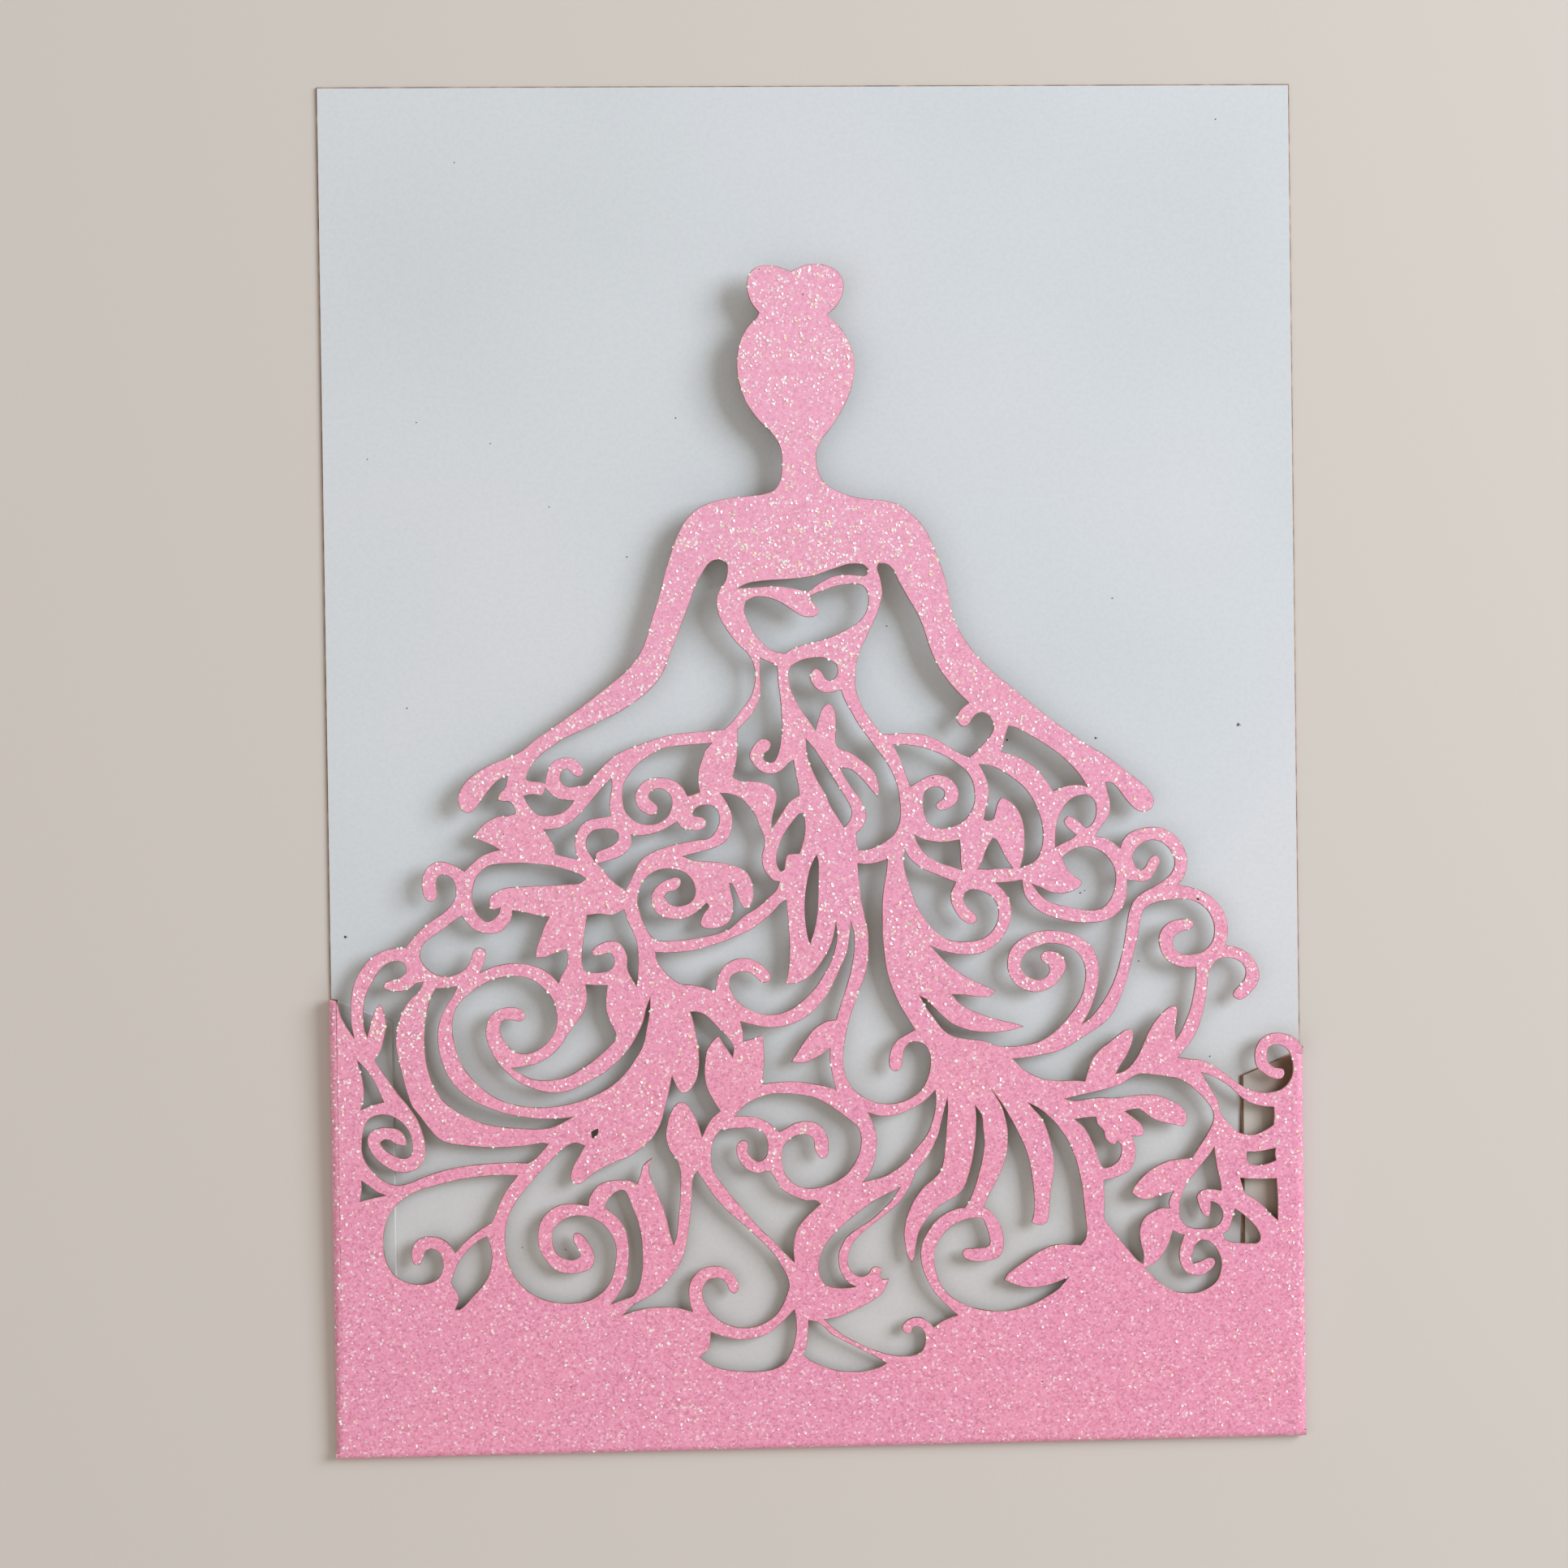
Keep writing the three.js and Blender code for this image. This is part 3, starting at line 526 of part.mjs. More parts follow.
const LOWER_RIGHT_CUTS = [
  // right of the middle ring
  [[6.2, 43.9, 7.4, 43.5, 8.9, 43.4, 10.4, 43.7, 11.8, 44.3, 13, 44.9, 14, 45.7],
   [14.95, 46.6, 15, 45.2, 14.85, 43.8, 14.3, 41.9, 13.5, 40.4, 12.4, 39.1, 11.2, 37.6, 9.9, 36.5,
     8.4, 35.65, 6.9, 35.15],
   [5.4, 34.9, 6.3, 36, 6.9, 37.5, 7.2, 39.2, 7.2, 40.9, 6.8, 42.5]],
  // winding opening round the pointed stroke, down to the hem curl
  [[16.5, 45.4, 15.95, 43.4, 15.6, 42.1, 15.2, 40.6, 14.5, 39.1, 13.5, 37.5, 12.4, 36.2, 12, 35.2,
    11.6, 34.3, 10.9, 33.2, 9.9, 31.9,
    8.6, 30.8, 7, 29.6, 5.5, 28.4, 4.4, 27.4, 3.7, 26.4, 3.3, 25.1, 3.35, 23.9, 4, 22.9, 5, 22.45,
      5.9, 22.8, 6.4, 23.5, 7, 23.7, 7.7, 23.3],
   [7.4, 22.4, 7.9, 22.05], [8.6, 22.1, 8.3, 21.2, 7.7, 20.2, 6.5, 19.3, 5, 18.5, 3.4, 17.8, 1.9, 17.2],
   [0.1, 16.95, 1.1, 16, 2.6, 14.8, 4.2, 13.9, 5.8, 13.1, 7.3, 12.5, 8.7, 12.1, 10.3, 11.9, 11.9, 12,
     12.9, 12.6, 13.3, 13.9, 13.1, 15.1,
    12.4, 15.7, 11.7, 15.6, 11.4, 14.95, 10.8, 14.9, 10.3, 15.4, 10.6, 16.3, 11.7, 16.9, 12.9, 16.85,
      13.8, 16.2],
   [14.4, 15.6, 15.4, 16.3, 16.5, 16.8],
   [17.55, 17.1, 16.5, 18.1, 15.3, 19.3, 14.2, 20.7, 13.5, 22.1, 12.95, 23.8, 12.8, 25.5, 13.15, 27,
     14, 28.5, 15, 29.7, 16.3, 30.6, 17.6, 31.1],
   [18.7, 31.25, 19.4, 32.4, 20, 33.9, 20.5, 35.5, 20.9, 37, 21.2, 38.6, 21.3, 40.1, 21.15, 41.6, 21,
     43.2],
   [20.2, 44.5, 20.3, 42.9, 20.25, 41.2, 20.05, 39.3, 19.7, 37.3, 19.2, 35.5, 18.6, 33.9, 17.6, 32.8,
     16, 31.9, 14.6, 30.9, 13.5, 29.6,
    12.65, 28.2, 12.2, 26.5, 12, 25],
   [11.7, 24.15, 11.1, 25, 10.8, 26.5, 10.65, 28, 10.9, 29.6, 11.4, 31.1, 12.2, 32.6, 13.2, 33.9,
     14.5, 35, 15.5, 36.1, 15.95, 37.6,
    16.2, 39.6, 16.4, 42, 16.55, 44.2]],
  [[10.15, 34, 8.9, 33.4, 7.3, 32.6, 5.7, 31.6, 4, 30.3, 2.2, 28.8, 0.8, 27.3, -0.15, 25.7, -0.5,
    24.2, -0.4, 22.7, 0.3, 21.6, 1.5, 21.1, 2.9, 21],
   [4.25, 21.15, 3.3, 21.7, 2.5, 22.8, 2.1, 24, 2.1, 25.5, 2.6, 26.8, 3.4, 27.9, 4.7, 28.8, 6.3,
     29.8, 7.8, 31.1, 9.1, 32.4]],
  [[-1.95, 16.85, -0.8, 16.6, 0, 16, 1, 15, 2.4, 14.2, 4, 13.35, 5.5, 12.55, 7, 11.75],
   [8.2, 11, 7, 10.4, 5.5, 10.05, 3.7, 10, 1.7, 10.2, -0.1, 10.8, -1.6, 11.5], [-2.7, 12.35, -2.25,
     13.5, -2.05, 15]],
  // large opening with the hook and the long strokes
  [[22.7, 46.1, 23.6, 44.5, 24.1, 42.9, 24.4, 41.2, 24.4, 39.6, 24.2, 38, 23.8, 36.7, 23.2, 35.3,
    22.4, 33.8, 21.7, 32.5],
   [21.15, 31.2, 22, 30.7, 22.85, 29.7, 23.5, 28.3, 23.75, 26.8, 23.6, 25.5, 23, 24.6, 21.7, 24.2,
     20.2, 24.1, 18.95, 24.4, 18.3, 25.1,
    18.6, 25.75, 19.9, 25.85],
   [21.3, 25.9, 21.9, 26.4, 21.8, 27.5, 21.4, 28.8, 20.85, 29.75, 19.2, 29.75, 17.6, 29.2, 16.3,
     28.3, 15.3, 27.1, 14.7, 25.7, 14.6, 24.2,
    14.9, 22.6, 15.5, 21.1, 16.5, 19.8, 17.8, 18.9, 19.4, 18.15, 21.2, 17.7, 23.2, 17.5, 25.3, 17.75,
      27.3, 18.3, 29.1, 19.2, 30.6, 20.1, 31.5, 21],
   [32.1, 21.7, 30.5, 21.1, 29.1, 20.7, 27.6, 20.5, 26.3, 20.6, 25, 21],
   [23.7, 21.6, 24.2, 22.4, 25, 23, 26.5, 24.05, 28.1, 25.1, 29.6, 25.85, 31.2, 26.15, 32.6, 26.05],
   [33.8, 25.95, 34.4, 26.7, 34.65, 27.9, 34.5, 29.7, 34.3, 31.6, 34.1, 33.7, 33.7, 35.7, 33.2, 37.5,
     32.5, 39.3, 31.4, 41.1, 30.1, 42.7, 28.7, 43.9],
   [27.2, 44.75, 27.9, 43.9, 28.9, 42.7, 29.6, 41.1, 30.1, 39.3, 30.4, 37.5, 30.4, 35.7, 30.1, 33.9,
     29.85, 32.1, 29.75, 30.6],
   [29.5, 29.1, 28.6, 28.7],
   [27.4, 29.05, 27.7, 30.2, 27.8, 31.6, 27.7, 33.4, 27.5, 35.2, 27.2, 37, 26.7, 38.8, 25.9, 40.6,
     25, 42.4, 24, 44.2]],
  // opening round the two leaves on the right
  [[32, 45.2, 33.7, 45.6, 35.7, 46, 37.8, 46.5, 39.4, 47, 40.6, 47.8, 41.9, 48.3, 43.4, 48.2, 45.2,
    47.9, 46.8, 47.6, 48.1, 46.9, 49.3, 45.9,
    50.4, 44.8, 51.3, 43.5, 51.5, 42.4, 51.2, 41.3, 50.5, 40, 49.7, 38.8],
   [48.6, 37.1, 47, 37, 45.5, 36.8, 43.9, 36.1, 42.4, 35.1, 41.2, 33.8], [40.6, 32.75, 41.6, 31.95,
     42.7, 31.8, 43.8, 32.1, 45, 32.5],
   [46.15, 32.75, 45.7, 32, 45.5, 31.2], [45.65, 30.6, 44.6, 30.65, 43.6, 30.3, 42.6, 29.7, 41.9,
     28.8, 41.6, 27.5, 41.75, 26, 42.1, 24.5],
   [42, 23.35, 41.3, 23.8, 40.3, 25, 39.1, 26.5, 37.8, 28.2, 37, 29.4, 37, 30.7, 37.05, 32.4],
   [36.95, 34.4, 38.1, 34.65, 39.4, 35.1, 40.4, 35.7, 41, 36.8, 41.2, 38, 41.1, 39.2], [40.75, 40.15,
     41.5, 40.1],
   [42.15, 40.2, 42.3, 40.9, 41.9, 41.8, 41, 42.5],
   [39.85, 43.4, 40.9, 43.7, 41.8, 43.65, 42.7, 42.95, 43.7, 42.3, 45, 41.8, 46.3, 41.55],
   [47.5, 41.3, 47.95, 42, 47.8, 43.2, 47, 44.1, 45.7, 44.85, 44.3, 45.4, 42.8, 45.55, 41.3, 45.5,
     39.8, 45.3, 38.3, 45.2, 36.5, 45.3,
    34.7, 45.1, 33.3, 44.95]],
  [[33.25, 42.5, 34.6, 42.7], [36, 42.75, 36.2, 41.8, 36.95, 41, 37.2, 40, 37.8, 39.3, 38.4, 39.1],
   [38.8, 39.55, 39.25, 39, 39.3, 38, 38.9, 37, 38, 36.3, 36.95, 36.1, 36.4, 37, 36, 38.3, 35.3,
     39.9, 34.5, 41.3]],
  // two hooks near the right fold
  [[51.55, 38.5, 50.8, 37.4, 49.8, 36.2, 48.8, 34.9, 47.8, 33.6, 47.15, 32.1, 46.9, 30.6, 47, 29.3,
    47.7, 28.3, 48.9, 27.85, 50.3, 27.8,
    51.5, 27.95, 52.3, 28.6, 52.6, 29.6, 52.3, 30.6, 51.6, 31.2],
   [51.05, 31.35, 51, 30.2, 50.7, 29.35, 50, 29.7, 49.5, 30.8, 49.2, 31.9, 49.6, 32.65, 50.6, 33],
   [52.45, 32.8, 52.25, 34.2, 51.9, 35.7, 51.7, 37]],
  [[42.3, 22.8, 43.4, 23.3, 44.5, 24.3, 45.3, 25.7, 45.75, 26.9], [46, 27.6, 46.8, 27.2],
   [47.5, 27, 47.1, 25.9, 46.8, 24.7, 46.95, 23.3, 47.6, 22.2, 48.6, 21.7, 49.9, 21.7, 51, 22.4,
     51.55, 23.2, 51.3, 23.8, 50.6, 23.9, 49.6, 23.5],
   [48.65, 23.2, 48.5, 23.9, 48.7, 25, 49.1, 25.8, 49.9, 26.3, 50.9, 26, 51.8, 25, 52.3, 23.8, 52.3,
     22.4, 51.8, 21, 50.6, 19.95, 49.1, 19.4,
    47.3, 19.4, 45.8, 19.8, 44.5, 20.6, 43.2, 21.8]],
  // the four openings along the right fold
  [[50, 48.3, 51.2, 47.9, 52.5, 47.2, 53.7, 46.4, 54.7, 45.4, 55.8, 44.5, 57, 44, 58.3, 43.7],
    [59.45, 43.6, 59.5, 42.4],
   [59.4, 41.25, 58.3, 40.6, 57, 40.1, 55.8, 40.1, 54.6, 40.5, 53.6, 41.5, 52.9, 42.3], [52.35, 43.1,
     52.2, 44.2, 51.7, 45.3, 51, 46.4]],
  [[55.9, 37.8, 57.2, 37.75, 58.4, 37.95], [59.65, 38.2, 59.55, 37.4], [59.7, 36.6, 58.6, 36.2, 57.3,
    36, 56.3, 36.2, 55.85, 37]],
  [[54.95, 34.35, 56.4, 34.2, 58, 34.15], [59.75, 34.2, 59.85, 32.4, 59.9, 30.6], [59.85, 28.75, 59,
    29.5, 58, 30.6, 56.8, 31.6, 55.6, 32.4]],
  [[54.2, 30.3, 55.1, 29.7, 56, 28.9, 57, 27.8, 57.55, 26.6, 57.2, 25.8, 56.2, 25.7, 54.8, 25.8,
    53.6, 26, 52.9, 26.4],
   [52.6, 27.05, 53.3, 27.5, 53.75, 28.5, 54, 29.4]],
];

// The drawn point whose x is at this place in a run.
function drawn(run, at) {
  return new THREE.Vector2((run.at(at) * WIDTH) / DRAWN_WIDTH, (run.at(at + 1) * HEIGHT) / DRAWN_HEIGHT);
}

const PANEL_END = new THREE.Vector2(
  (PANEL_TOP.at(-1).at(-2) * WIDTH) / DRAWN_WIDTH,
  (PANEL_TOP.at(-1).at(-1) * HEIGHT) / DRAWN_HEIGHT,
);
const LEFT_START = drawn(PANEL_TOP[0], 0);
const LEFT_BEND_TOP = { edge: LEFT_START.y + LEFT_BEND_RISE, panel: LEFT_START.y };
const RIGHT_BEND_TOP = { edge: PANEL_END.y - CURL_FOOT, panel: PANEL_END.y - CURL_FOOT };

// Points on the smooth curve between b and c, with a before and d after them.
function curvePoints(a, b, c, d) {
  const curve = (p, q, r, s, t) =>
    0.5 * (2 * q + (r - p) * t + (2 * p - 5 * q + 4 * r - s) * t * t + (3 * q - p - 3 * r + s) * t ** 3);
  return Array.from({ length: CURVE_STEPS }, (_, i) => {
    const t = i / CURVE_STEPS;
    return new THREE.Vector2(curve(a.x, b.x, c.x, d.x, t), curve(a.y, b.y, c.y, d.y, t));
  });
}

// Keeps only the points that the shape needs, between the first and the last.
function simplify(points) {
  const first = points[0];
  const last = points[points.length - 1];
  const along = last.clone().sub(first);
  let worst = 0;
  let at = 0;
  for (let i = 1; i < points.length - 1; i++) {
    const from = points[i].clone().sub(first);
    const share = THREE.MathUtils.clamp(from.dot(along) / Math.max(along.lengthSq(), 1e-9), 0, 1);
    const miss = from.distanceTo(along.clone().multiplyScalar(share));
    if (miss > worst) [worst, at] = [miss, i];
  }
  if (worst <= CURVE_MISS) return [first, last];
  return [...simplify(points.slice(0, at + 1)).slice(0, -1), ...simplify(points.slice(at))];
}

// One run with its curve filled in, up to but without the point that it ends on.
function smoothRun(run, end) {
  const points = [];
  for (let i = 0; i < run.length; i += 2) points.push(drawn(run, i));
  points.push(end);
  const fine = points.slice(0, -1).flatMap((b, i) => {
    const c = points[i + 1];
    const a = points[i - 1] ?? b.clone().multiplyScalar(2).sub(c);
    const d = points[i + 2] ?? c.clone().multiplyScalar(2).sub(b);
    return curvePoints(a, b, c, d);
  });
  return simplify([...fine, end]).slice(0, -1);
}

function smoothLine(runs, end) {
  return runs.flatMap((run, i) => smoothRun(run, i + 1 < runs.length ? drawn(runs[i + 1], 0) : end));
}

// A cut-out, drawn round the opposite way to the panel's own outline.
function cutOut(runs) {
  const points = smoothLine(runs, drawn(runs[0], 0));
  return new THREE.Path(THREE.ShapeUtils.isClockWise(points) ? points.reverse() : points);
}

function manifold(position, index) {
  return new wasm.Manifold(new wasm.Mesh({
    numProp: 3,
    vertProperties: new Float32Array(position),
    triVerts: new Uint32Array(index),
  }));
}

// A flat piece of the sheet with this outline, its underside at low and rising with the slope.
function plate(shape, low, slope) {
  const geometry = new THREE.ExtrudeGeometry(shape, { depth: SHEET, bevelEnabled: false });
  const position = geometry.attributes.position;
  for (let i = 0; i < position.count; i++) {
    position.setZ(i, position.getZ(i) + low + slope * position.getY(i));
  }
  geometry.deleteAttribute('normal');
  geometry.deleteAttribute('uv');
  const merged = mergeVertices(geometry, 1e-5);
  return manifold(merged.attributes.position.array, merged.index.array);
}

function polygon(...corners) {
  return new THREE.Shape(corners.map(([x, y]) => new THREE.Vector2(x, y)));
}

function frontShape() {
  const shape = new THREE.Shape([
    new THREE.Vector2(-PANEL_EDGE, BOTTOM_BEND),
    ...smoothLine(PANEL_TOP, PANEL_END),
    new THREE.Vector2(PANEL_END.x, RIGHT_BEND_TOP.edge),
    new THREE.Vector2(PANEL_EDGE, RIGHT_BEND_TOP.panel),
    new THREE.Vector2(PANEL_EDGE, BOTTOM_BEND),
  ]);
  const cuts = [BODICE_CUTS, LEFT_CUTS, LOWER_LEFT_CUTS, RIGHT_CUTS, LOWER_RIGHT_CUTS].flat();
  shape.holes = cuts.map(cutOut);
  return shape;
}

// A bend of the sheet: half round, from the lower sheet up to the upper one, between two sections.
// Each section is a function from how far round the bend and how far into the sheet to a point.
function bend(from, to, flip) {
  const turns = Array.from({ length: BEND_STEPS + 1 }, (_, i) => -Math.PI / 2 + (Math.PI * i) / BEND_STEPS);
  const section = [...turns.map((turn) => [turn, 0]), ...turns.reverse().map((turn) => [turn, SHEET])];
  const position = [from, to].flatMap((place) => section.flatMap(([turn, inset]) => place(turn, inset)));
  const n = section.length;
  const index = [];
  for (let i = 0; i < n; i++) {
    const j = (i + 1) % n;
    index.push(i, j, n + j, i, n + j, n + i);
  }
  for (let i = 0; i < BEND_STEPS; i++) {
    const far = n - 1 - i;
    index.push(i, far, far - 1, i, far - 1, i + 1);
    index.push(n + i, n + far - 1, n + far, n + i, n + i + 1, n + far - 1);
  }
  if (flip) index.reverse();
  return manifold(position, index);
}

function frontTop(y) {
  return SHEET + GAP + SHEET + SLOPE * y;
}

// The side bends run up the card and grow taller with the gap.
function sideBend(side, top) {
  const low = SHEET - GLUE;
  const section = (edgeY, panelY) => (turn, inset) => {
    const across = SIDE_BEND - (SIDE_BEND - inset) * Math.cos(turn);
    const y = THREE.MathUtils.lerp(edgeY, panelY, across / SIDE_BEND);
    const half = (frontTop(y) - low) / 2;
    return [side * (HALF - across), y, low + half + (half - inset) * Math.sin(turn)];
  };
  const bottom = BOTTOM_BEND - BEND_LAP;
  return bend(section(bottom, bottom), section(top.edge, top.panel), side > 0);
}

function bottomBend() {
  const half = frontTop(BOTTOM_BEND) / 2;
  const section = (x) => (turn, inset) => {
    const y = BOTTOM_BEND - (BOTTOM_BEND - inset) * Math.cos(turn);
    return [x, y, half + (half - inset) * Math.sin(turn)];
  };
  return bend(section(-HALF), section(HALF), true);
}

function flap(side, top) {
  const free = HALF - FLAP_WIDTH;
  const shape = polygon(
    [side * PANEL_EDGE, BOTTOM_BEND],
    [side * PANEL_EDGE, top.panel],
    [side * free, top.panel - FLAP_SLANT],
    [side * free, BOTTOM_BEND + FLAP_SLANT],
  );
  return plate(shape, SHEET - GLUE, 0);
}

function foldedCard() {
  const back = plate(polygon([-HALF, BOTTOM_BEND], [HALF, BOTTOM_BEND], [HALF, HEIGHT], [-HALF, HEIGHT]), 0, 0);
  const card = back
    .add(bottomBend())
    .add(plate(frontShape(), SHEET + GAP, SLOPE))
    .add(flap(-1, LEFT_BEND_TOP))
    .add(flap(1, RIGHT_BEND_TOP))
    .add(sideBend(-1, LEFT_BEND_TOP))
    .add(sideBend(1, RIGHT_BEND_TOP));
  const mesh = card.getMesh();
  const geometry = new THREE.BufferGeometry();
  geometry.setAttribute('position', new THREE.Float32BufferAttribute(mesh.vertProperties, 3));
  geometry.setIndex(new THREE.BufferAttribute(mesh.triVerts, 1));
  geometry.translate(0, -HEIGHT / 2, 0);
  geometry.computeVertexNormals();
  return geometry;
}

const cardstock = new THREE.MeshStandardMaterial({ color: 0xe79db9, roughness: 0.6 });
const folded = new THREE.Mesh(foldedCard(), cardstock);
folded.name = 'folded_card';

const invitation = new THREE.Group();
invitation.add(folded);

export default invitation;
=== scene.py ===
"""A laser-cut invitation card, folded from one sheet of pink glitter cardstock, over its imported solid.

Lengths in the shape tables are millimetres in the front panel's plane: x from the card's middle, y up from
the bottom bend. Everything in Blender is metres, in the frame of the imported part.
"""
import math

import bmesh
import bpy
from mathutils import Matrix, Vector


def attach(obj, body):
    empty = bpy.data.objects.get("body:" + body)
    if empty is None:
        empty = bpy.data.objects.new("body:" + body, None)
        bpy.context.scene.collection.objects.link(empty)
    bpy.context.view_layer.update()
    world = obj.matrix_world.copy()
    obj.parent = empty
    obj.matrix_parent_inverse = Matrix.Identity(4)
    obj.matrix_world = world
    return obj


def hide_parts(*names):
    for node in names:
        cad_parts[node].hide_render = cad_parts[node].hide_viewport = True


bl_info = {
    "name": "Laser-cut invitation card",
    "version": (1, 0, 0),
    "blender": (4, 5, 0),
    "location": "View3D > Sidebar > Card",
    "description": "Builds a folded glitter card with a cut-out ball gown front",
    "category": "Add Mesh",
}

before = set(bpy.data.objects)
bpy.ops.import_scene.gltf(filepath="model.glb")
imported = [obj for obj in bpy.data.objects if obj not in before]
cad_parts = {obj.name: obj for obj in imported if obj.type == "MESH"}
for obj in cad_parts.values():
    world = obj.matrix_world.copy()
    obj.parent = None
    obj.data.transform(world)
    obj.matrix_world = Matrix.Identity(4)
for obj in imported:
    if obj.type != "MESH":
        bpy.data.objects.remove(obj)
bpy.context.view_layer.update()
MM = 0.001
CARD_NODE = "folded_card"
# The places of the sheet's materials in its material list.
OUTSIDE, INSIDE, CUT, SHADED_UNDERSIDE, SHADED_FLAP = range(5)

# Each line of a table is one smooth run of x, y pairs. A corner is where one run ends and the next begins.
# The top edge of the front panel, from the left fold over the lady's figure to the right fold.
PANEL_TOP = [
    [-62.5, 59.65, -62.2, 59, -61.9, 57.7, -61.2, 56.3],
    [-60.3, 55, -60.6, 57, -60.55, 60, -60, 62.2, -59.2, 63.7, -58, 65.1, -56.5, 66, -55, 66.4],
    [-53.4, 66.5, -52.5, 67.6, -51.2, 69, -49.5, 70.2, -48, 71.3, -47, 72.7, -46.9, 74.2, -47.3, 75.2,
     -48.1, 75.75, -48.9, 75.7, -49.35, 75.1, -49.35, 74.2, -49.25, 73.4, -49.4, 72.7, -50, 72.35,
     -50.7, 72.6, -51.1, 73.5, -51.2, 74.7, -51.05, 75.7, -50.5, 76.7, -49.7, 77.3, -48.7, 77.5,
     -47.5, 77.2, -46.5, 76.7],
    [-45.7, 76.2, -44.9, 77, -43.7, 78, -42.4, 78.6],
    [-41.1, 78.9, -42.3, 79.6, -43.5, 80.1],
    [-44.5, 80.6, -43.6, 81.8, -42.6, 82.6, -41.3, 83.2, -40, 83.3],
    [-39, 83.6, -39.25, 84.5, -39.8, 85.1, -40.6, 85.15],
    [-41.3, 85.3, -41.1, 86.1, -40.4, 86.8],
    [-40.15, 87.3],
    [-39.95, 88.5, -41.3, 87.8, -42.4, 86.6, -43.6, 85, -44.3, 84.1, -45.1, 83.7, -46, 84.2, -46.4, 85.2,
     -46.2, 86.4, -45.4, 87.7, -44, 88.9, -42.2, 89.9, -40.2, 90.7, -38.2, 91.6, -36.5, 92.9, -34.5, 94.3,
     -32, 96, -29, 98.2, -26, 100.5, -24, 102.3, -22.7, 104, -21.8, 106, -21.1, 108.4, -20.1, 111.4,
     -19.3, 114.4, -18.3, 117.5, -17.5, 119.4, -16.7, 120.9, -15.5, 122.2, -14, 123.1, -12, 123.7,
     -9.5, 124.1, -7, 124.3, -5.2, 124.8, -4.3, 126, -4, 128, -4.05, 129.7, -4.5, 131.1, -5.4, 132.4,
     -7, 134, -8.4, 136, -9.2, 138, -9.6, 140, -9.6, 142, -9.2, 144, -8.2, 145.9, -7.1, 147],
    [-6.7, 147.7, -7.6, 148.9, -8.1, 150.2, -8.2, 151.5, -7.9, 152.7, -7.1, 153.5, -6, 153.8, -4.5, 153.7,
     -3.3, 153.3],
    [-2.5, 153, -1.5, 153.5, -0.2, 153.9, 1.4, 153.9, 2.9, 153.4, 3.9, 152.5, 4.3, 151.3, 4.1, 149.9,
     3.3, 148.5],
    [2.1, 147.4, 3.4, 146.2, 4.6, 144.5, 5.35, 142.7, 5.6, 141, 5.4, 139, 4.8, 137, 3.8, 135, 2.5, 133,
     1.2, 131.3, 0.55, 129.9, 0.5, 128.4, 0.8, 127, 1.6, 125.7, 3, 124.8, 5, 124, 7.2, 123.6, 9.3, 123.4,
     11.2, 122.8, 13, 121.4, 14.4, 119.8, 15.4, 117.8, 16.3, 115.4, 17.1, 113, 17.5, 110.9, 17.9, 108.8,
     18.7, 106.7, 19.9, 104.7, 21.4, 102.8, 23.2, 101, 25.5, 99.1, 28, 97, 30.2, 95.2, 32.6, 93.4,
     35.3, 91.5, 37.8, 90, 40, 88.3, 42, 86.7, 43.3, 85.5, 44, 84.2, 43.7, 83.1, 42.8, 82.6, 41.8, 82.8,
     40.9, 83.6, 40, 84.7, 39.2, 85.8, 38.5, 86.4],
    [37.7, 86.5, 37.9, 85.4, 38.25, 84.1, 38.2, 82.7, 37.6, 81.4, 36.8, 80.4],
    [36.3, 79.5, 37.5, 79.3, 38.5, 78.7],
    [39.5, 77.9, 39.9, 78.9, 40.7, 79.8, 42, 80.35, 43.8, 80.6, 45.4, 80.3, 46.8, 79.4, 47.8, 78,
     48.3, 76.5, 48.2, 75, 47.75, 73.8],
    [47.1, 73, 48.5, 72.7, 50, 72.2, 51.5, 71.3, 52.7, 70, 53.4, 68.5, 53.6, 67, 53.5, 65.9],
    [53.2, 65, 54.3, 64.8, 55.4, 64.4, 56.5, 63.6, 57.4, 62.3, 57.7, 61, 57.4, 59.8, 56.6, 58.8, 55.7, 58,
     54.9, 57.8, 54.25, 58.3, 54.4, 59, 55.1, 59.7, 55.75, 60.6, 55.9, 61.6, 55.5, 62.5, 54.6, 63.1,
     53.4, 63.35, 52.2, 63.1, 51.4, 62.2, 50.95, 61, 50.8, 59.5, 50.5, 57.5, 50, 55.5, 49.4, 53.8,
     48.5, 52.3, 47.6, 51.2],
    [46.9, 50.4, 48.3, 50.15, 50, 49.95, 51.5, 49.25, 53, 48.2, 54.5, 47, 56, 46.1, 57.8, 45.6, 59.3, 45.6,
     60.5, 45.95, 61.4, 46.7, 61.95, 47.9, 62, 49.4, 61.5, 50.9, 60.6, 51.65, 59.6, 51.8, 58.85, 51.4,
     58.6, 50.5, 58.8, 49.5, 59.6, 48.85, 60.7, 48.6, 60.9, 47.9, 60.4, 47.3, 59.2, 47.45, 58.1, 48.1,
     57.3, 48.9, 57, 50, 57.1, 51.2, 57.7, 52.4, 58.7, 53.15, 60.1, 53.35, 61.6, 53.05, 62.7, 52.3,
     63.35, 51.4],
]
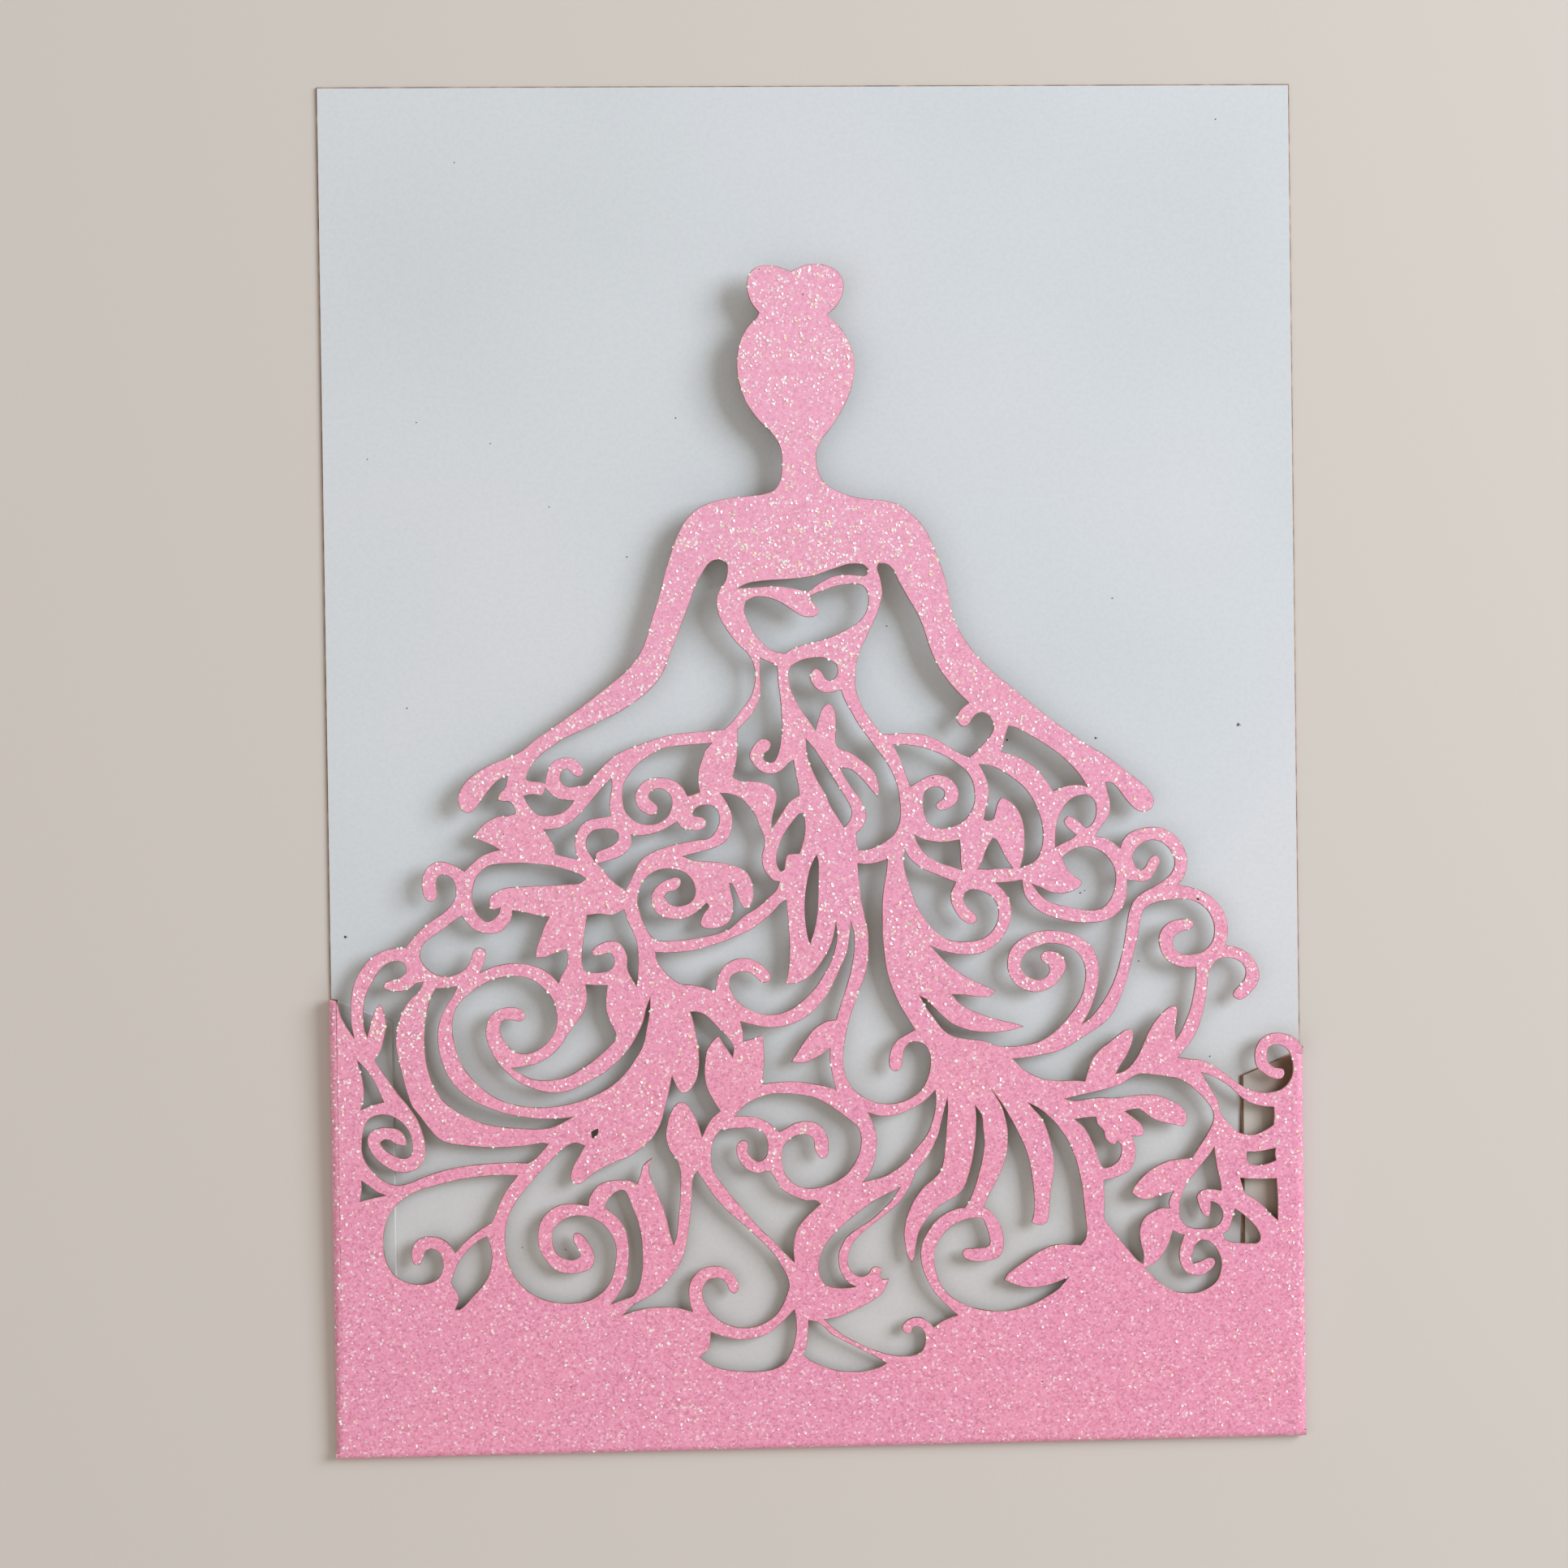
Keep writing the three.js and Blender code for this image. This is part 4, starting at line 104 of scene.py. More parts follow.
# The cut-outs, in groups from the bodice to the hem.
BODICE_CUTS = [
    # between the left arm and the bodice, down to the waist scrolls
    [[-12.3, 116, -11.4, 115.6, -11.2, 114.8, -11.5, 113.3, -12.4, 111.9, -12.7, 110.2, -12.1, 108.1,
     -10.4, 105.5, -8.9, 104, -8.1, 102.7, -7.8, 101, -8.1, 99.1, -8.7, 97.8, -9.8, 96.4, -10.9, 95],
     [-12, 94, -14, 93.9, -16.6, 93.7, -18.6, 93.5, -20.7, 93, -22.7, 92.3, -24.5, 91.7, -26.1, 90.9,
     -27.6, 89.6, -28.8, 88.3], [-29.8, 87.1, -31, 87, -32, 86.9, -32.9, 87.3, -33.2, 88.1, -32.9, 88.9,
     -32.2, 89.2, -31.65, 88.6, -31.1, 88.25, -30.5, 88.3, -30.2, 89, -30.6, 89.9, -31.4, 90.5,
     -32.5, 90.75, -33.7, 90.4, -34.6, 89.5, -35, 88.3], [-35.15, 87.4, -36, 87.6, -37, 87.7, -37.6, 88,
     -37.3, 88.9, -36.7, 89.9, -35.5, 91.2, -34.2, 92.1, -32.7, 93.1, -30.5, 94.1, -28, 95.3, -26, 96.2,
     -23.8, 97.5, -21.7, 99.1, -19.9, 101.2, -18.7, 104, -17.4, 107.3, -16.1, 110.6, -15.3, 112.8,
     -14.1, 114.9, -13.2, 115.8]],
    # the neckline
    [[-9.9, 112.3, -8.4, 112.95, -6, 113.25, -3, 113.4, -0.2, 113.75, 2.4, 114.6, 4.6, 115.25, 6.2, 115.2],
     [7, 114.6, 6.8, 113.9], [6.4, 113.7, 4.5, 113.9, 2.5, 113.7, 0.8, 112.9], [-0.9, 111.7, -2.2, 112.1,
     -4, 112.4, -6, 112.5, -8, 112.35]],
    # the bust
    [[-8.9, 110.6, -7.6, 111.15, -6, 111, -4.4, 110.4, -2.9, 109.4, -1.6, 108.6, -0.2, 108.5, 0.6, 109.1,
     0.1, 110], [-0.7, 111.1, 0.7, 111.7, 2.85, 112.4, 5, 112.7, 6.3, 112.4, 6.9, 111.5, 7, 110.3,
     6.6, 108.9, 5.6, 107.7, 3.7, 106.6, 1.6, 105.7, -0.6, 105.1, -2.7, 104.5], [-3.9, 103.8, -5.3, 104.1,
     -6.5, 104.9, -7.8, 106.4, -8.7, 108.1, -9.1, 109.5]],
    # between the right arm and the bodice
    [[8.4, 115.3, 9.4, 115.2, 10.3, 114.4, 11, 112.9, 12.2, 110.7, 13.3, 108.8, 14.2, 106.6, 14.9, 104.3,
     16, 101.8, 17.3, 99.9, 18.6, 98.4], [19.9, 97.1, 18.9, 96.3, 18.3, 95.3, 18.6, 94.4, 19.2, 94,
     19.9, 94.3, 20.3, 95, 20.9, 95.6, 21.7, 95.8, 22.6, 95.3, 23.1, 94.1, 22.8, 93, 21.7, 91.7,
     20.7, 90.7], [19.9, 90, 18.6, 90.6, 17.3, 91.4, 15.8, 92.3, 14, 93, 11.9, 93.25, 10, 93.2], [8.6, 93.2,
     7.6, 94.4, 6.5, 96, 5.6, 97.8, 5.2, 99.6, 5.3, 101.7, 5.7, 103.6, 7, 106.4, 8.2, 109, 8.8, 111.2,
     8.6, 113.3, 8.2, 114.6]],
    # left of the waist strip, with the small curl
    [[-7.1, 103.2, -6, 102.7, -5, 102.1], [-4.9, 100.3, -4.65, 98.4, -4.5, 96.3, -4.4, 94.2, -4.6, 92.7,
     -4.8, 91.4, -5.3, 90.1, -6, 89.7, -6.8, 90.1, -6.8, 90.8, -6.2, 91.3, -5.9, 92.1, -6.4, 92.7,
     -7.3, 92.7, -8.2, 91.8, -8.7, 90.6, -8.2, 89.5, -7.3, 88.6, -6, 88.2, -4.6, 88.6, -3.6, 89.6],
     [-3, 89.9, -2.75, 88.3, -2.4, 86.5], [-2.3, 85.4, -3.5, 84.6, -4.5, 83.3, -5.3, 82], [-6, 81.1,
     -5.8, 82.7, -5.4, 84.2, -5.2, 85.4, -5.65, 86.4, -6.8, 87.05, -8.4, 87.35, -9.9, 87.4], [-10.9, 87.9,
     -10.6, 89, -10.3, 90.5, -10.2, 92.3], [-10.15, 94, -9.3, 94.9, -8.2, 96.1, -7.35, 97.7, -7.1, 99.5,
     -7.2, 101.4]],
    # right of the waist strip
    [[-3.1, 102.2, -1.5, 102.95, 0.5, 103.2, 1.9, 102.85, 2.8, 102.1, 2.8, 101, 2.2, 100.3, 1.4, 100.4,
     0.9, 101.2, 0.2, 101.8, -0.5, 101.4, -0.7, 100.4, 0, 99.3, 1, 98.7, 2.2, 98.7], [3.3, 99, 3.7, 97.8,
     4.5, 96.3, 5.5, 94.5, 6.8, 92.7, 8.1, 90.9, 9.1, 89.5, 10, 87.8, 10.55, 86, 10.8, 84, 10.75, 82,
     10, 80.2, 8.6, 79.1, 6.8, 78.3], [5.4, 78.1, 5.1, 79.3], [5.1, 80.4, 5.9, 81.15, 6.4, 82.4, 6.15, 83.7,
     5.5, 85, 4.5, 86.3, 3.7, 87.6], [3.1, 88.9, 4.5, 88.6, 5.8, 87.5, 6.8, 86.3], [7.9, 85, 8.1, 86,
     7.9, 87.3, 7.3, 88.5, 6, 89.7, 4.5, 90.8, 2.9, 91.5, 2.55, 92.6, 2.6, 94, 2.6, 95.3, 2.35, 96.6,
     1.7, 97.2, 1, 96.8, 0.5, 95.8, 0.15, 94.7], [-0.1, 93.8, -1.2, 95.5, -2.1, 96.8, -2.9, 98.4,
     -3.4, 99.9, -3.45, 101.2]],
    # the slots down the middle
    [[-1.3, 92.6, -0.3, 91.4, 0.6, 90, 1.9, 88, 2.9, 86.3, 4, 84.5, 4.5, 83.2, 4.2, 82], [3.5, 81.15,
     2.8, 82.3, 1.9, 83.7, 1.1, 85.5, 0.1, 87.3, -0.7, 89.1, -1.2, 90.7]],
    [[-1.8, 83, -2.4, 82.9, -3.1, 82.1, -4, 80.9, -4.8, 79.4, -5.3, 77.9, -5.3, 76.5, -4.9, 75.6,
     -4.4, 75.8, -4.25, 76.6, -4, 77.6, -3.2, 77.8], [-2.4, 77.8, -2, 78.9, -1.7, 80.1, -1.6, 81.7]],
    [[-0.1, 77.9, 0.2, 76.5, 0.15, 73.5, 0, 70.3, -0.4, 68], [-1.15, 65.6, -1.6, 67.4, -1.85, 69.7,
     -1.8, 72.2, -1.4, 74.7, -0.9, 76.4]],
]

LEFT_CUTS = [
    # under the left wrist
    [[-37.95, 85.8, -36.9, 86, -35.6, 85.9], [-35.1, 86.8, -34.4, 86, -33.5, 85.4, -32.5, 85.2],
     [-31.5, 85.1, -32.2, 84.2, -33.3, 83.5, -35, 83.2, -36.3, 83.5, -37.1, 84.3]],
    [[-35.4, 81.4, -33.5, 81.6, -31.9, 82.3, -30.4, 83.7, -29.2, 85.1, -28, 86.5], [-26.6, 87.9, -26.55, 87,
     -26.7, 86, -26.9, 84.6], [-26.75, 83.05, -28.1, 82.85, -29.6, 82.6, -30.8, 81.7, -31.4, 80.2,
     -31.4, 78.8], [-31.1, 77.55, -32.5, 77.85], [-34, 78.2, -34.15, 79.4, -34.7, 80.4]],
    [[-28.75, 77.1, -29.3, 77.9, -29.9, 79, -29.85, 80.2, -29.1, 81.1, -27.9, 81.4, -26.5, 81.3],
     [-25.8, 80.8, -25.9, 79.9, -26.9, 79.1, -28, 78.7, -28.75, 78.2]],
    # round the small scrolls of the left hip
    [[-28.5, 76.9, -27.1, 77.3, -25.6, 77.8, -24.5, 78.7, -24.1, 79.7], [-24.2, 80.6, -23.2, 80.45,
     -21.7, 80.6, -20.2, 81.1, -19, 81.7], [-18.2, 82.2, -17.6, 81.4, -16.6, 81.1, -15.3, 81.05,
     -14.5, 81.6, -14.45, 82.3, -15, 82.75, -15.9, 82.9, -16.1, 83.3, -15.6, 84, -14.7, 84.3, -13.6, 84.2,
     -12.85, 83.4, -12.7, 82.2, -13.2, 80.9, -14.1, 80, -15.4, 79.8, -17, 79.55, -18.7, 79.2, -20.4, 78.7,
     -22, 78, -23, 77.2, -23.7, 76, -24.3, 74.7], [-25, 73.4, -26.1, 74.2, -27, 75.1, -27.7, 76]],
    [[-24.9, 87.4, -24, 88.8, -22.8, 90, -21.6, 90.8, -20.2, 91.6, -18.6, 91.9, -16.6, 92.1, -15, 92.2],
     [-13.6, 92.3, -14.4, 91.4, -14.9, 90.1, -15.3, 88.8, -15.4, 87.3], [-15.2, 86, -16, 85.7],
     [-16.8, 85.5, -17.3, 86.5, -18.1, 87.3, -19.1, 87.75, -20.4, 87.95, -21.7, 87.8, -22.7, 87.2,
     -23.4, 86.2, -23.55, 85.1, -23.1, 84, -22.2, 83.3, -21.3, 83.1, -20.7, 83.6, -20.7, 84.3, -21.3, 84.8,
     -21.8, 85.4, -21.5, 86.1, -20.7, 86.5, -19.8, 86.35, -19, 85.6, -18.8, 84.7, -19, 83.7, -19.6, 82.7,
     -20.7, 82.05, -22, 81.9, -23.2, 82.15, -24.4, 83, -25, 84, -25.2, 85.5, -25.1, 86.7]],
    # round the ring scroll beside the middle
    [[-12.5, 85.8, -11.2, 85.65, -9.9, 85.1, -8.9, 84.1, -8.1, 83, -7.5, 81.5, -6.95, 80.1, -6.95, 78.8,
     -7.25, 77.6, -7.1, 76.1, -6.5, 75.1, -5.8, 74.4], [-5, 74.2, -5.4, 73.2, -6.3, 72.3, -7.3, 71.4,
     -8.4, 70.6, -9.6, 69.9, -10.6, 69, -11.6, 68.2, -13, 67.65, -15, 67.2, -17, 66.9, -19, 66.75,
     -20.7, 66.8, -21.6, 67.3, -22.2, 68.1, -22.7, 69.2, -23.1, 70.4, -23.45, 71.8, -23.2, 73.3,
     -22.6, 74.6, -21.5, 75.6, -20, 76.1, -18.5, 76, -17.2, 75.5, -16.3, 74.5, -15.95, 73.3, -16.2, 72.2,
     -17, 71.5, -18.2, 71.25, -19.3, 71.6], [-20, 72.5, -19.4, 73.1, -18.6, 73.3, -17.9, 73.9, -17.8, 74.6,
     -18.3, 75, -19.3, 74.8, -20.4, 74.3, -21.3, 73.4, -21.7, 72.2, -21.4, 71, -20.6, 70.1, -19.4, 69.65,
     -18, 69.55, -16.7, 69.9, -15.6, 70.6], [-14.5, 71.6, -14.25, 71.1, -14.9, 70.2, -15.35, 69.1,
     -15.1, 68.5, -14.3, 68.25, -13, 68.35, -12, 68.75, -11.4, 69.4, -11.15, 70.3, -11.05, 71.5,
     -11.25, 72.8], [-11.5, 74.1, -11.1, 73.9, -10.5, 72.5, -10, 71.3, -9.4, 70.75, -8.8, 71.2, -8.4, 72.3,
     -8.5, 73.8, -8.9, 75, -9.6, 75.8, -10.9, 76.4, -12.5, 76.8, -14.5, 77, -16, 77.15], [-17.4, 77.7,
     -16.4, 77.95, -15, 78.3, -13.2, 78.8, -11.9, 79.6, -11.2, 80.8, -11, 82.2, -11.2, 83.4, -11.7, 84.6]],
    # the sweep of strokes left of the middle
    [[-21.2, 65.3, -19.6, 65.2, -17.6, 65.3, -16, 65.5, -14.5, 65.9, -12.5, 66.5, -10.7, 67.2, -8.9, 68,
     -7.3, 69.1, -6, 70.2, -5, 71.3], [-4.2, 71.8, -4, 69.7, -3.9, 67.7, -3.8, 65.6, -3.9, 63.6,
     -4.1, 62.1], [-4.4, 60.9, -3.2, 60.95, -1.9, 61.35, -0.65, 62.4, 0.6, 64.1, 1.5, 65.7, 2, 67.3],
     [2.25, 68.8, 2.4, 67.2, 2.1, 65.4, 1.5, 63.6, 0.6, 62, -0.4, 60.5, -1.7, 59.1, -3.2, 57.9, -4.8, 57.15,
     -6.3, 56.9, -7.8, 57.1, -9.4, 57.8, -10.7, 58.8, -11.4, 60, -11.7, 61.2, -11.4, 62.1, -10.4, 62.55,
     -9.2, 62.5, -8.4, 62, -7.8, 61.4, -7.1, 61.1, -6.4, 61.4, -6.4, 62.2, -7.3, 63.3, -8.6, 64.1,
     -9.9, 64.35, -11.2, 64.1, -12.4, 63.3, -13.1, 62.1, -13.4, 61.1], [-13.6, 60.1, -15, 60.6, -16.6, 61,
     -18.1, 61.2, -19.6, 62.3, -20.7, 63.7, -21.1, 64.6]],
    [[4.2, 68.8, 4.6, 67.2, 4.6, 65.4, 4.35, 63.6, 3.95, 61.8, 3.3, 59.7, 2.7, 57.9], [2.1, 56.1, 0.8, 55.9,
     -0.7, 55, -1.7, 53.8, -2.7, 52.4], [-3.8, 50.7, -2, 50.6, -0.2, 51.4], [1.3, 52.4, 1.25, 51,
     1.5, 49.2], [2, 47, 0.9, 47.4, -1.4, 47.9, -3.5, 48.15, -5.6, 48.1], [-7.5, 47.9, -7.45, 49,
     -7.3, 50.6, -7.3, 52.3], [-7.45, 54.3, -8.6, 53.9], [-9.95, 53.5, -10, 54.7], [-10.3, 56.1, -8.9, 55.7,
     -7.3, 55.35, -5.3, 55.3, -3.5, 55.7, -1.7, 56.6, -0.4, 57.7, 0.9, 59.2, 1.9, 61, 2.9, 63.1, 3.7, 65.1,
     4.05, 67.2]],
    # the long slot and the clear space on the left of the skirt
    [[-44.75, 73.5, -44.4, 74.9, -43.7, 76, -42.6, 76.8, -41.2, 77.05, -39.2, 77.15, -37, 77.05,
     -34.7, 76.75, -32.6, 76.2, -31, 75.6], [-30.1, 75, -31, 74.4, -32.7, 74.3, -35.2, 74.2, -37.8, 74.1,
     -40.1, 74, -41.4, 73.6, -42.4, 72.9, -42.6, 72, -42.3, 71.2, -41.8, 71.2], [-41.15, 71.4, -41.4, 70.6,
     -42, 70, -42.9, 69.65, -43.8, 70.2, -44.4, 71.1, -44.75, 72.3]],
    [[-39.6, 71, -38.3, 70.8, -36.7, 70.4], [-34.9, 70.1, -35.5, 69, -36.1, 67.4, -36.6, 66],
     [-36.75, 64.85, -35.5, 64.9, -34.2, 65.4], [-32.8, 65.9, -32.55, 64.9, -32.8, 63.6, -33.4, 62.5],
     [-33.8, 61.55, -34.8, 62.6, -36.1, 63.5, -37.7, 64, -39.5, 64.2, -41.3, 64, -42.7, 63.6],
     [-43.9, 63.05, -43.4, 64.2, -43.15, 65.2, -43.25, 65.95, -44, 66.3, -44.7, 65.9, -45, 64.9,
     -45.6, 63.8, -46.6, 63.05, -48.1, 62.6, -49.6, 62.9, -50.8, 63.8, -51.5, 64.9, -51.5, 66, -51, 67,
     -50, 67.8, -48.6, 68.7, -47.3, 69.7], [-46.2, 70.45, -45.5, 69.5, -44.5, 68.6, -42.9, 68.1,
     -41.4, 68.2, -40.3, 69.1, -39.75, 70]],
    # from the left scroll down between the strokes and round the small spiral
    [[-55.1, 64.7, -54, 64.6, -53.5, 64], [-53.4, 63.2, -54.3, 62.5, -55.4, 62.25, -56.2, 61.9, -56.3, 61.3,
     -55.5, 60.9, -54.2, 60.8, -53, 61.1, -52.1, 61.8], [-51.25, 61.9, -51.9, 60.7, -53, 59.7, -53.9, 58.4,
     -54.5, 56.9, -54.8, 55.3, -54.9, 53.8, -54.6, 52, -54.2, 50.2, -53.7, 48.2, -53, 46, -51.9, 44.5,
     -50.9, 43.1, -50, 42, -48.9, 41.2, -47.3, 40.8, -45, 40.5, -42.7, 40.3, -40.1, 40.35, -38.1, 40.5,
     -36.3, 40.75], [-35.5, 40.6, -36, 40, -37, 38.9], [-38.1, 38.2, -40.1, 38.3, -42.7, 38.25, -45, 38.1,
     -47.3, 37.8, -49.6, 37.3, -51.7, 36.6, -53.5, 35.9, -55, 35.65, -56.5, 36.1, -57.8, 37.1, -58.9, 38.5,
     -59.4, 39.8, -59.5, 41.1, -59.3, 42.5, -58.9, 43.8, -58, 44.6, -56.8, 44.85, -55.5, 44.6, -54.2, 43.7,
     -53.3, 42.4, -53, 41, -53.1, 39.8, -53.7, 39.2, -54.6, 39.2, -55.5, 39.6, -56.5, 40.3, -57.1, 41.1,
     -56.6, 41.6, -55.8, 41.5, -55.1, 41], [-53.7, 40.7, -53.9, 41.8, -54.5, 42.7, -55.5, 43.1, -56.8, 43.2,
     -58.1, 42.8, -58.7, 42, -58.7, 40.9, -58.1, 39.7, -57.1, 38.6, -55.8, 37.7, -54.5, 37.3, -53.2, 37.4,
     -52.1, 38, -51.45, 39.1, -51.3, 40.5, -51.5, 41.9, -51.95, 43.3, -52.6, 44.6, -53.5, 46, -54.5, 47.2,
     -55.4, 48.5, -56.3, 49.8, -57, 50.9], [-57.7, 51.9, -57.2, 52.6, -56.7, 53.6, -56.3, 55.1, -56.1, 56.6,
     -56.3, 58, -56.8, 59.1, -57.5, 58.4, -58, 57.1, -58.3, 55.9], [-58.55, 55, -58.95, 56.2, -59, 57.8,
     -58.85, 59.5, -58.4, 60.9, -57.8, 62, -57.1, 63.2, -56.2, 64.2]],
    # the two small openings beside the left fold
    [[-59.85, 51.9, -59.1, 51.1, -58.3, 50, -57.6, 48.9, -57.1, 47.7], [-56.6, 46.5, -57.6, 46.25,
     -58.5, 46], [-59.5, 45.6, -59.15, 46.8, -59.1, 48.4, -59.4, 50.2]],
    [[-59.6, 36.3, -58.5, 35.5, -57.6, 34.8], [-56.6, 34.4, -58.2, 34.05], [-59.8, 33.7, -59.6, 35]],
]

